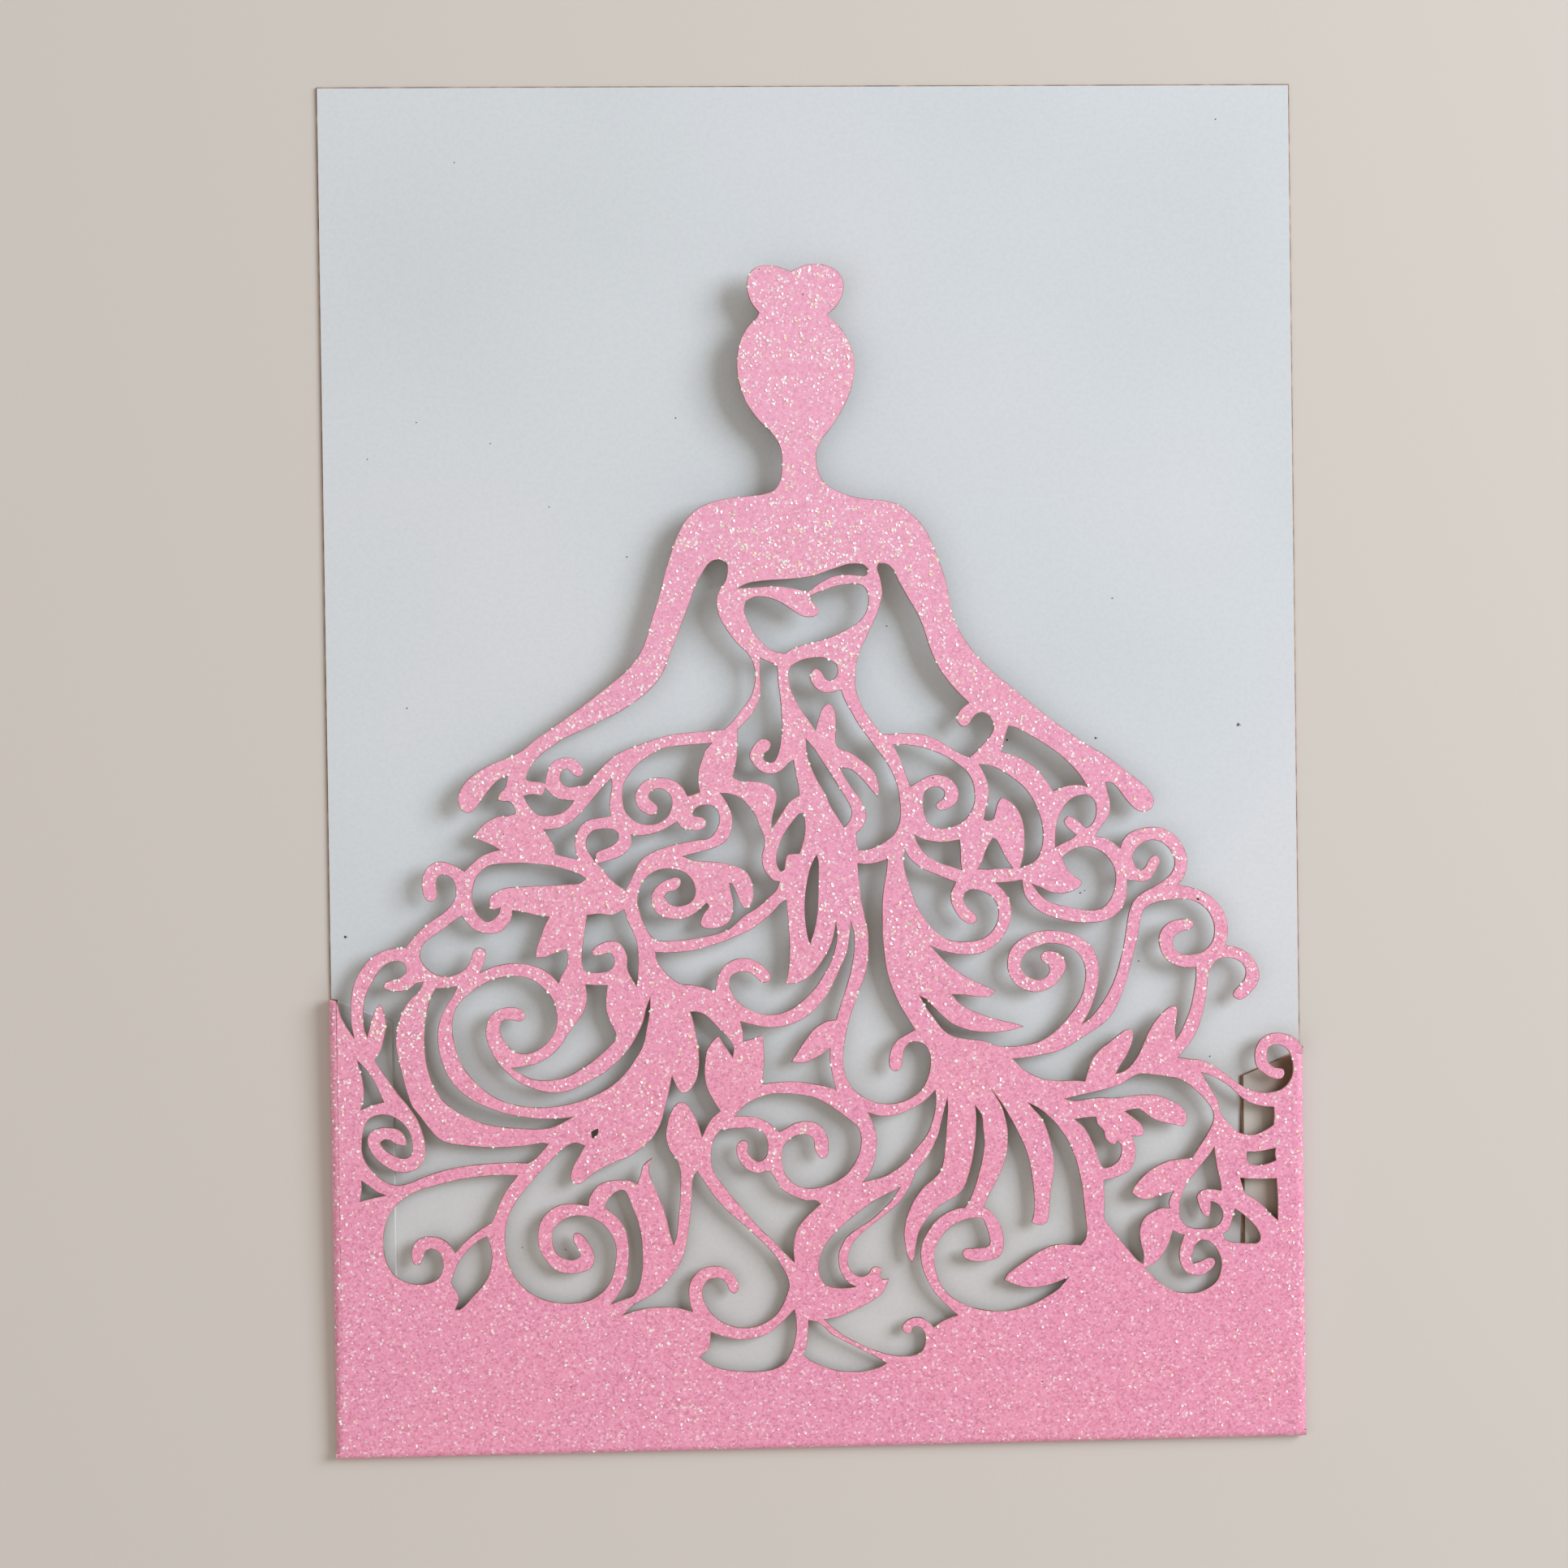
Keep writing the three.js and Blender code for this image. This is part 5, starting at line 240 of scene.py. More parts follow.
LOWER_LEFT_CUTS = [
    [[-29.95, 70.25, -28.4, 70.4, -26.8, 70.2], [-25.2, 70.9, -24.8, 69.5, -24.2, 68.2, -23.7, 66.9,
     -23.5, 65.4, -23.5, 63.3], [-23.7, 61, -24.4, 62.1, -24.9, 63.4, -24.85, 64.6, -25.2, 65.7,
     -25.9, 66.6, -27, 66.9, -28.4, 66.5, -29.3, 65.8, -29.4, 65.15, -28.8, 64.95, -27.8, 65.2], [-27, 65.3,
     -26.6, 64.6, -26.7, 63.6, -27.5, 62.95, -29.1, 62.8, -30.3, 63.05, -30.75, 64.3, -30.6, 66.1,
     -30.3, 68.2]],
    [[-30.3, 61.25, -28.9, 61.15], [-27.5, 61.1, -27.7, 59.7, -27.7, 57.9, -27.2, 56.3, -26.5, 54.8],
     [-26.7, 53.8, -27.9, 52.7, -29.4, 51.4, -30.9, 50.4, -33, 49.3, -35.3, 48.9, -37.3, 49.1, -38.8, 49.8],
     [-40, 50.55, -38.4, 50.8, -36.8, 51.1, -35.1, 52, -33.7, 53.3, -32.8, 54.7, -31.9, 55.9, -30.9, 57.2,
     -30.3, 58.5, -30.15, 59.8]],
    # the big spiral
    [[-22, 59.3, -22.1, 57.6, -22.5, 55.4, -23, 53.3, -24, 51.5, -25.6, 49.4, -27.4, 47.9, -29.7, 46.7,
     -32.5, 45.8, -35.5, 45.4, -38, 45.5, -40.4, 46, -42.4, 46.9, -44.2, 48.3, -45.8, 50.1, -46.8, 52,
     -47.4, 54.1, -47.6, 56.1, -47.3, 57.9, -46.4, 59.4, -45, 60.6, -43.4, 61.6, -41.6, 62.3, -39.7, 62.5,
     -38, 62.3, -36.6, 61.6, -35.4, 60.5, -34.6, 59.4, -34.2, 58.1, -34.1, 56.6, -34.5, 55.1, -35.5, 53.7,
     -36.8, 52.8, -38.3, 52.4, -39.7, 52.8, -40.9, 54.1, -41.45, 55.5, -41.2, 56.6], [-40.6, 56.9,
     -39.7, 56.8, -38.8, 56.65, -38.1, 57.2, -38.6, 58.1, -40, 58.5, -41.6, 58.2, -42.8, 57.2, -43.3, 55.6,
     -43.1, 54, -42.5, 52.5, -41.7, 51.2, -40.6, 50, -39.1, 48.7, -37.1, 47.8, -35, 47.3, -33, 47.4,
     -31.2, 48.1, -29.5, 48.9, -28, 49.8, -26.3, 51.2, -25, 52.6, -24, 54.1, -23, 56.1, -22.5, 58]],
    [[-49.65, 61.1, -48.2, 61.15], [-46.85, 61.3, -47.4, 60.2, -48.4, 58.7, -49.1, 57.2, -49.5, 55.3,
     -49.4, 53.3, -48.9, 51.2, -48.1, 49.4, -46.8, 47.8, -45, 46.4, -42.9, 45.4, -40.9, 44.7, -38.6, 44.2,
     -36.2, 43.9, -34, 43.9], [-32.2, 44.1, -33.5, 43.4, -35.2, 42.75, -37, 42.6, -39.4, 42.75, -41.7, 43,
     -43.9, 43.5, -46, 44.4, -47.9, 45.6, -49.4, 47.1, -50.4, 49.2, -51, 51.5, -51.2, 53.8, -51.1, 56.1,
     -50.8, 58.2, -50.25, 59.9]],
    # the drop with its hook, and the leaf-shaped opening beside it
    [[-39.5, 36.6, -41.8, 36.7, -44.5, 36.55, -47.1, 36.2, -49.4, 35.7, -51.7, 35.1, -53.7, 34.2,
     -55.3, 32.9, -56.3, 31.4, -56.8, 29.6, -56.9, 27.5, -56.5, 25.5, -55.5, 23.9, -54, 23, -52.4, 22.7,
     -50.9, 22.9, -49.9, 23.5, -49.3, 24.7, -49.4, 26, -49.9, 26.9, -50.8, 27.3, -51.6, 26.9, -51.9, 26,
     -52.3, 25.3, -53, 25.3, -53.3, 26.2, -53.2, 27.5, -52.5, 28.5, -51.2, 28.9, -49.7, 28.7, -48.6, 28],
     [-47.7, 26.7, -46.8, 27.7, -45.5, 28.9, -44.2, 29.8], [-42.95, 30.5, -42.5, 31.5, -41.9, 33,
     -40.9, 34.8]],
    [[-43.5, 28.8, -43.1, 27.2, -43, 25.7, -43.35, 23.9, -44.2, 22.4, -45.3, 21.2, -46.3, 20.1,
     -47.2, 19.35], [-47.8, 19.3, -47.3, 20.6, -47.6, 21.6], [-48.3, 22.8, -47.95, 23.9, -47.3, 25.4,
     -46.3, 26.7, -45, 28]],
    # the lower spiral and the winding opening above it
    [[-30.75, 40.3, -31.9, 40.7, -33.2, 40.2, -34.5, 39.1, -35.8, 37.8, -37.1, 36.4, -38.3, 35, -39.6, 33.4,
     -40.6, 31.6, -41.15, 29.6, -41.2, 27.5, -40.9, 25.5, -40.1, 23.5, -38.8, 21.9, -37.3, 20.8,
     -35.5, 20.1, -33.4, 19.8, -31.6, 19.9, -30, 20.3, -28.5, 21.4, -27.5, 22.9, -27, 24.9, -26.9, 27,
     -27.4, 28.5, -28.4, 29.9, -29.9, 30.85, -31.5, 31.2, -33, 31, -34.2, 30.3, -35, 29.3, -35.1, 27.8,
     -34.6, 26.4, -33.5, 25.6, -32.3, 25.5, -31.5, 26, -31.9, 27, -32.4, 28, -32.3, 28.8, -31.6, 28.9,
     -30.9, 28.3, -30.1, 27, -29.7, 25.7, -30.1, 24.4, -31.4, 23.8, -33.2, 23.7, -34.8, 24.2, -36, 25.5,
     -36.8, 27, -37, 28.6, -36.7, 30.3, -35.8, 31.6, -34.5, 32.5, -32.9, 32.8, -31.5, 32.7], [-30.4, 32.5,
     -30.2, 33.6, -29.2, 35, -27.9, 35.6, -26.3, 35.75, -24.9, 35.6], [-24, 35.2, -23.6, 36.3, -23.2, 37.6],
     [-22, 38.6, -22.45, 37.3, -22.2, 35.8, -21.4, 33.9, -20.7, 32.1, -20.2, 30.3, -19.8, 28.5],
     [-19.4, 27.2, -19, 28.4, -18.75, 30.6, -18.5, 32.7, -18.4, 34.8, -18.4, 36.8, -18.9, 38.3, -19.8, 39.6,
     -20.2, 41.4, -19.95, 43.2, -19.5, 44.5, -18.8, 45.5, -18, 45.7, -17.3, 45.3, -16.6, 44.2, -16, 42.8],
     [-15.5, 41.2, -15, 42.3, -14.2, 43.6], [-13.1, 44.5, -14, 45.9, -14.8, 47.6, -15.1, 49.4, -15, 51,
     -14.75, 52.4, -14, 53.6], [-13.2, 54.3, -12.4, 53], [-11.4, 51.5, -11.3, 52.9, -12.3, 54.4,
     -13.3, 55.4, -14, 56.2, -15, 57.1, -16, 57.45], [-16.8, 57.5, -16.4, 56.1, -16.05, 54.3, -15.8, 52.5,
     -15.75, 50.7, -16.05, 48.9, -16.8, 47.5, -17.8, 46.9, -18.6, 47.5], [-19.3, 49.1, -19.55, 47.9,
     -19.9, 46.4, -20.4, 44.6, -20.9, 42.9, -22, 41.1, -23.2, 40, -25, 38.8, -27.1, 38, -29.1, 37,
     -30.4, 36.1, -31.3, 35.4, -32.1, 35.4, -32.6, 35.9, -32.6, 36.7, -32.2, 37.8, -31.4, 39.1]],
    [[-28.25, 32.2, -27.7, 33.4, -26.8, 34.2, -25.8, 34.4, -25.2, 33.6, -24.8, 32.4, -24.15, 30.8,
     -23.75, 29.2, -23.5, 27.4, -23.45, 25.5, -23.6, 23.4, -24.1, 21.6, -24.8, 20.6, -26.1, 20.1],
     [-27.6, 19.6, -26.8, 20.6, -25.9, 22.1, -25.4, 23.9, -25.2, 26, -25.3, 28, -25.8, 29.6, -26.8, 31]],
    [[-26.1, 18.1, -24.5, 18.65, -22.7, 18.95, -20.7, 19.05, -18.8, 18.85], [-17.05, 18.35, -17.45, 19.8,
     -17.5, 21.4, -17.1, 22.6, -16.1, 23.7, -14.8, 24.2, -13.3, 24.15, -12, 23.4, -11.1, 22.1, -11.05, 21.1,
     -11.6, 20.6, -12.2, 21, -12.6, 21.9, -13.4, 22.6, -14.5, 22.6, -15.3, 22.1, -15.7, 21.1, -15.5, 19.6,
     -14.6, 18.1, -13.2, 16.9, -11.4, 16.2, -9.6, 16.1, -7.8, 16.6, -6.3, 17.6, -5.3, 19, -4.8, 20.2,
     -4.45, 21.3, -4.6, 22.5, -5.3, 23.9, -6.2, 25.4, -7.4, 26.8, -8.9, 28.3, -10.4, 29.7, -12, 31.1,
     -13.3, 32.5, -14.4, 33.9, -15.3, 35.3], [-16.2, 36.7, -16.7, 36, -16.9, 34.4, -17, 32.6, -17.2, 30.6,
     -17.5, 28.5, -17.9, 26.5, -18.6, 24.7, -19.9, 22.9, -21.4, 21.3, -23, 20.3, -24.7, 19.4]],
    # left of the middle, above the hem
    [[-13.1, 42, -13.9, 40.9, -14.3, 39.3, -14.3, 37.5, -13.7, 36, -12.7, 34.6, -11.4, 32.9, -10.15, 31.4,
     -8.9, 29.9, -7.6, 28.5, -6.3, 27.3, -5.2, 26], [-3.75, 24.6, -3.8, 26.5, -3.5, 28.3, -2.8, 29.6,
     -1.8, 30.7], [-0.2, 32.1, -0.9, 32.55, -2.2, 32.6, -3.7, 33.2, -5, 33.95, -5.8, 35], [-6.65, 36.4,
     -7.3, 36.5, -8.2, 36.25, -9.4, 36.6, -10.4, 37.5, -10.95, 38.6, -11.05, 39.8, -10.5, 40.5, -9.8, 40.5,
     -9.5, 40, -9.6, 39.1, -9.1, 38.3, -8.2, 37.8, -7.3, 38.3, -7, 39.3, -7.05, 40.6, -7.6, 41.6,
     -8.6, 42.1, -9.9, 42.2, -11.4, 42.15]],
    [[-11.2, 43.8, -10.4, 44.7, -9.4, 45.5, -7.9, 46.2, -6.3, 46.6, -4.5, 46.6, -2.7, 46.4, -0.9, 46,
     0.9, 45.1, 2.6, 43.9, 3.9, 42.9, 4.8, 42, 5.2, 40.6, 5, 38.8, 4.3, 37.3, 3.3, 36, 1.9, 35, 0.4, 34.4,
     -1.2, 34.15, -2.6, 34.3, -3.7, 34.9, -4.6, 35.9, -5.1, 37.3, -5.15, 38.8, -4.8, 39.9, -4, 40.7,
     -2.8, 41.2, -1.7, 41.1, -1, 40.5, -0.9, 39.5, -0.5, 38.5, 0.15, 38, 0.8, 38.4, 0.95, 39.6, 0.8, 40.9,
     0.2, 42, -0.7, 42.7, -1.9, 42.95, -3.4, 42.7, -4.5, 42.1], [-5.45, 41.6, -6.1, 42.2, -7.1, 43,
     -8.4, 43.55, -9.9, 43.75]],
    [[-16.2, 12.4, -15.1, 13.3, -14.8, 14.2], [-14.7, 15.6, -13.6, 15.2, -12.3, 14.8, -10.9, 14.55,
     -9.1, 14.7, -7.4, 15.2, -6.1, 16.1, -5, 17.1], [-3.8, 18.3, -3.6, 17, -3.6, 15.4, -3.9, 13.9,
     -4.4, 12.5, -5.2, 11.3, -6.6, 10.6, -8.6, 10.3, -10.9, 10.4, -13, 10.7, -14.8, 11.3]],
    [[-29.85, 42.1, -29.4, 42.35], [-29, 42.45, -29.1, 41.8, -29.7, 41.3]],
]

RIGHT_CUTS = [
    [[10, 91.75, 12, 91.7, 14, 91.3, 15.9, 90.6, 17.6, 89.7, 19.1, 88.6, 20.1, 87.3, 20.5, 85.8, 20.5, 84.2,
     19.9, 82.7, 18.7, 81.5, 17.1, 80.9, 15.6, 80.9, 14.5, 81.6, 13.9, 82.9, 13.8, 84.4, 14, 85.5,
     14.7, 86.05, 15.8, 86.2, 16.6, 85.6, 16.4, 84.7, 15.7, 84.2, 15.5, 83.6, 16.15, 83.15, 17.3, 83.5,
     18.2, 84.2, 18.5, 85.3, 18.2, 86.3, 17.3, 87.3, 16, 87.8, 14.7, 87.7, 13.5, 87.1], [12.2, 86.35,
     11.7, 87.7, 11.1, 89.4, 10.5, 90.7]],
    [[21.2, 89.05, 22.7, 88.85, 24.3, 88.1, 25.8, 87.05, 27.1, 85.9, 28.1, 84.5, 28.9, 82.7, 29.35, 80.9,
     29.4, 79.1, 29, 77.4, 28.1, 76.2], [26.4, 75.55, 26.8, 77, 27, 78.8, 27, 80.6, 26.6, 82.2, 25.9, 83.5,
     25, 84.3, 24.1, 84.7, 23.5, 83.9, 23.2, 82.8], [23, 81.95, 22.2, 81.75], [21.7, 81.95, 22.1, 83.5,
     22.4, 85, 22.3, 86.5, 21.8, 87.9]],
    [[12.6, 80, 14, 79.35, 15.8, 79, 17.3, 79.1], [18.5, 79.3, 18.6, 77.9, 18.6, 76.5], [18.75, 75.4,
     17.5, 75.8, 16, 76.3, 14.7, 77, 13.7, 77.9, 13, 79]],
    [[22.8, 79.45, 22, 78, 21.5, 76.6], [20.9, 75.5, 22.4, 75.4, 24, 75.5], [25.4, 75.5, 24.6, 76.7,
     23.9, 78.1, 23.3, 79.2]],
    # under the right wrist
    [[25, 94, 26.1, 93.75, 27.9, 92.75, 29.8, 91.6, 31.6, 90.3, 33.2, 88.8, 34.4, 87.4], [35.25, 86,
     34.4, 86.2, 33.4, 86.25, 32.1, 86], [30.85, 85.5, 30.2, 86.4, 29.4, 87.6, 28.3, 88.7, 27, 89.6,
     26, 90.1], [24.1, 90.7, 24.4, 91.8, 24.7, 92.9]],
    [[35, 84.95, 35.9, 84.5, 36.4, 83.5, 36.35, 82.2, 35.9, 81.2, 35.1, 80.65, 34.3, 81.3, 33.5, 81.9,
     32.7, 82.15, 32.2, 81.5, 32.5, 80.85, 33.2, 80.2], [33.75, 79.7, 33, 79.1, 31.9, 78.6], [31, 78.15,
     31.05, 79.4, 31.2, 80.9, 31.65, 82.4, 32.5, 83.8, 33.7, 84.7]],
    [[31.9, 76.8, 32.8, 77.5, 34.1, 78.05, 35.6, 78.1, 37, 77.5, 38, 76.6, 38.7, 75.3, 38.9, 73.8,
     38.6, 72.2, 38, 71, 37, 70.1, 35.5, 69.85, 33.7, 70.1, 31.9, 70.5, 30.3, 71, 29.05, 71.9],
     [27.95, 73.35, 29.1, 72.9, 30.3, 72.3, 31.9, 72.1, 33.3, 72.4, 34.3, 73.1, 34.35, 73.75, 33.5, 74.3,
     32.6, 75.2]],
    # inside the right-hand scroll and down between the two leaves
    [[42.5, 69.8, 43.2, 70.3, 44.2, 70.75, 45.6, 71, 47.4, 71.1, 49, 70.9, 50.4, 70.1, 51.3, 69, 51.8, 67.5,
     51.7, 66, 51.1, 64.9, 50.1, 64.1, 48.8, 63.8, 47.5, 63.95, 46.6, 64.6, 46.3, 65.6, 46.8, 66.5,
     47.8, 66.95, 48.7, 67.2, 49.1, 67.8, 48.6, 68.4, 47.4, 68.5, 46, 68.15, 45, 67.3, 44.5, 66.1,
     44.65, 64.7, 45.3, 63.4, 46.4, 62.55, 47.8, 62.15], [49.35, 62.15, 49.3, 60.6, 49, 58.7, 48.6, 56.9,
     48, 55.3, 47.3, 53.8], [46.6, 52.7, 46.55, 54.3, 46.8, 55.8, 46.85, 56.8, 46.3, 57.15, 45.5, 56.8,
     44.5, 55.9, 43.5, 54.6, 42.7, 53.1, 42.1, 51.7, 41.4, 50.4, 40.6, 49.4, 39.7, 48.7], [38.7, 48.4,
     39.3, 49.5, 40.1, 50.7, 40.7, 52, 41, 53.3, 40.85, 54.1, 40.1, 54.15, 39.1, 53.5, 37.8, 52.5,
     36.5, 51.5, 35.5, 50.2, 35, 48.9], [34.6, 47.45, 32.9, 47.6, 31, 47.6, 29.1, 47.9, 27.3, 48.7,
     26, 49.7], [25.2, 50.6, 26.8, 50.7, 28.8, 51, 30.8, 51.4, 32.5, 52.1, 34.1, 53.1, 35.8, 54.1,
     37.2, 55.1, 38.4, 56.4, 39.3, 58.2, 40.1, 60.2, 40.7, 62.3, 41.3, 64.6, 41.8, 66.7, 42.1, 68.5]],
    # round the right-hand spiral
    [[26.6, 73.95, 26.75, 72.7, 27.2, 71.5, 28.1, 70.4, 29.6, 69.4, 31.4, 68.75, 33.5, 68.3, 35.5, 68.2,
     37.3, 68.4, 38.6, 69, 39.5, 69.8, 40.1, 70.8, 40.35, 72.2], [40.4, 73.75, 41.4, 73.6, 42.6, 73.45,
     43.5, 73.9, 44.2, 75, 44.7, 76, 44.5, 76.7, 43.9, 76.85, 43.3, 76.3, 42.8, 75.4, 42.1, 75, 41.5, 75.6,
     41.15, 76.6, 41.4, 77.5, 42.1, 78.3, 43.3, 78.85, 44.7, 78.7, 45.9, 77.8, 46.6, 76.5, 46.6, 75.4,
     46.1, 74.4, 45.2, 73.6, 43.9, 72.8, 42.7, 72.2, 41.7, 71.5, 41, 70.6, 40.6, 69.5, 40.35, 68.2,
     40.1, 66.6, 39.8, 64.8, 39.35, 63.1, 38.85, 61.4, 38.2, 59.8, 37.3, 58.2, 36.3, 56.8, 35.3, 55.7],
     [34.4, 55.1, 35.2, 56.5, 35.9, 58.2, 36.4, 60, 36.6, 61.8, 36.45, 63.3, 35.8, 64.9, 34.7, 66,
     33.2, 66.8, 31.4, 67.2, 29.6, 67.3, 27.9, 67, 26.2, 66.1, 25, 64.85, 24.6, 63.3, 24.75, 61.8,
     25.5, 60.5, 26.8, 59.6, 28.3, 59.25, 29.7, 59.55, 30.9, 60.3, 31.9, 61.5, 32.25, 62.7, 31.9, 63.8,
     30.9, 64.5, 29.7, 64.6, 29, 64.1, 29.15, 63.3], [29.9, 62.9, 30.1, 62, 29.6, 61.2, 28.6, 60.85,
     27.3, 61.3, 26.4, 62.3, 26.5, 63.6, 27.3, 64.6, 28.4, 65.2, 29.9, 65.6, 31.7, 65.4, 33.3, 64.7,
     34.3, 63.6, 34.8, 62, 34.75, 60.5, 34.4, 59.1, 33.8, 57.7, 32.65, 56.1, 31.4, 54.7, 29.8, 53.4,
     28.3, 52.7, 26.4, 52.3, 24.4, 52.2], [23, 52.35, 21.6, 52.95, 20.1, 53.2, 18.6, 53.4, 17.3, 53.75,
     16, 54.7, 15, 56, 14, 57.4], [13.1, 59, 14, 58.5, 14.8, 57.6, 16, 56.4, 17.3, 55.3, 18.9, 54.6,
     20.6, 54.2, 22.7, 54.1, 24.8, 54.3], [26.7, 54.8, 25.4, 55.25, 23.9, 55.6, 21.9, 56.2, 19.9, 57,
     18.4, 57.9], [17.3, 59.15, 18.9, 59.05, 20.6, 58.8, 22.2, 58.8], [23, 59.5, 21.6, 60.2, 19.9, 61,
     18.3, 62, 16.8, 63.2, 15.6, 64.4], [14.6, 65.5, 16.1, 64.85, 17.8, 64.45, 19.6, 64.3, 21.2, 64.5,
     22.5, 65.1, 23.6, 66, 24.5, 67.3, 25.05, 68.7, 25.2, 70.2, 24.9, 71.5, 24.1, 72.7], [23.2, 73.6,
     24.9, 73.7]],
    [[11.3, 78.1, 11.95, 77, 12.9, 76.1, 14, 75.4, 15.3, 74.9, 16.6, 74.3], [17.95, 73.8, 17.35, 72.5,
     17.3, 71.3, 17.75, 70.2, 18.4, 69.2, 19.1, 68.6, 19.9, 68.3, 20.65, 68.7, 20.6, 69.3, 20, 70,
     19.3, 70.7, 18.9, 71.6, 19.2, 72.4, 20, 72.8, 21.2, 72.6, 22.4, 72, 23.2, 71, 23.5, 69.8, 23.3, 68.5,
     22.6, 67.3, 21.4, 66.4, 19.9, 66.05, 18.1, 66.05, 16.6, 66.45, 15.3, 67.4, 14, 68.9, 12.9, 70.7,
     12.2, 72.7, 11.5, 74.7, 11.2, 76.5]],
    # the long opening right of the middle, ending in a hook
    [[5.2, 76.4, 6.3, 76.3, 7.6, 76.45], [9.05, 76.9, 8.95, 75.5, 8.6, 73.6, 8.35, 71.6, 8.3, 69.6,
     8.3, 67.4, 8.45, 65.2, 8.7, 63.1, 9.1, 61.3, 9.7, 59.6, 10.4, 58, 11.2, 56.6], [12.4, 54.6, 11.2, 54,
     10.1, 53.3, 9.35, 52.3, 9, 51, 9.05, 49.8, 9.7, 49.25, 10.4, 49.5, 10.7, 50.3, 10.8, 51.3, 11.1, 52.3,
     11.9, 53, 13.2, 52.9, 14.1, 52, 14.4, 50.5, 14.1, 48.7, 13.4, 47.1, 12.4, 46.1, 10.9, 45.35, 9.1, 45,
     7.3, 45.2, 5.8, 45.85, 4.3, 47, 3.35, 48.7, 3, 50.5, 3.1, 52.4, 3.45, 54.4, 3.95, 56.4, 4.6, 58.2,
     5.25, 60, 5.9, 61.6, 6.3, 63.4, 6.5, 65.5, 6.4, 67.7, 6, 69.7, 5.6, 71.8, 5.4, 73.9]],
]

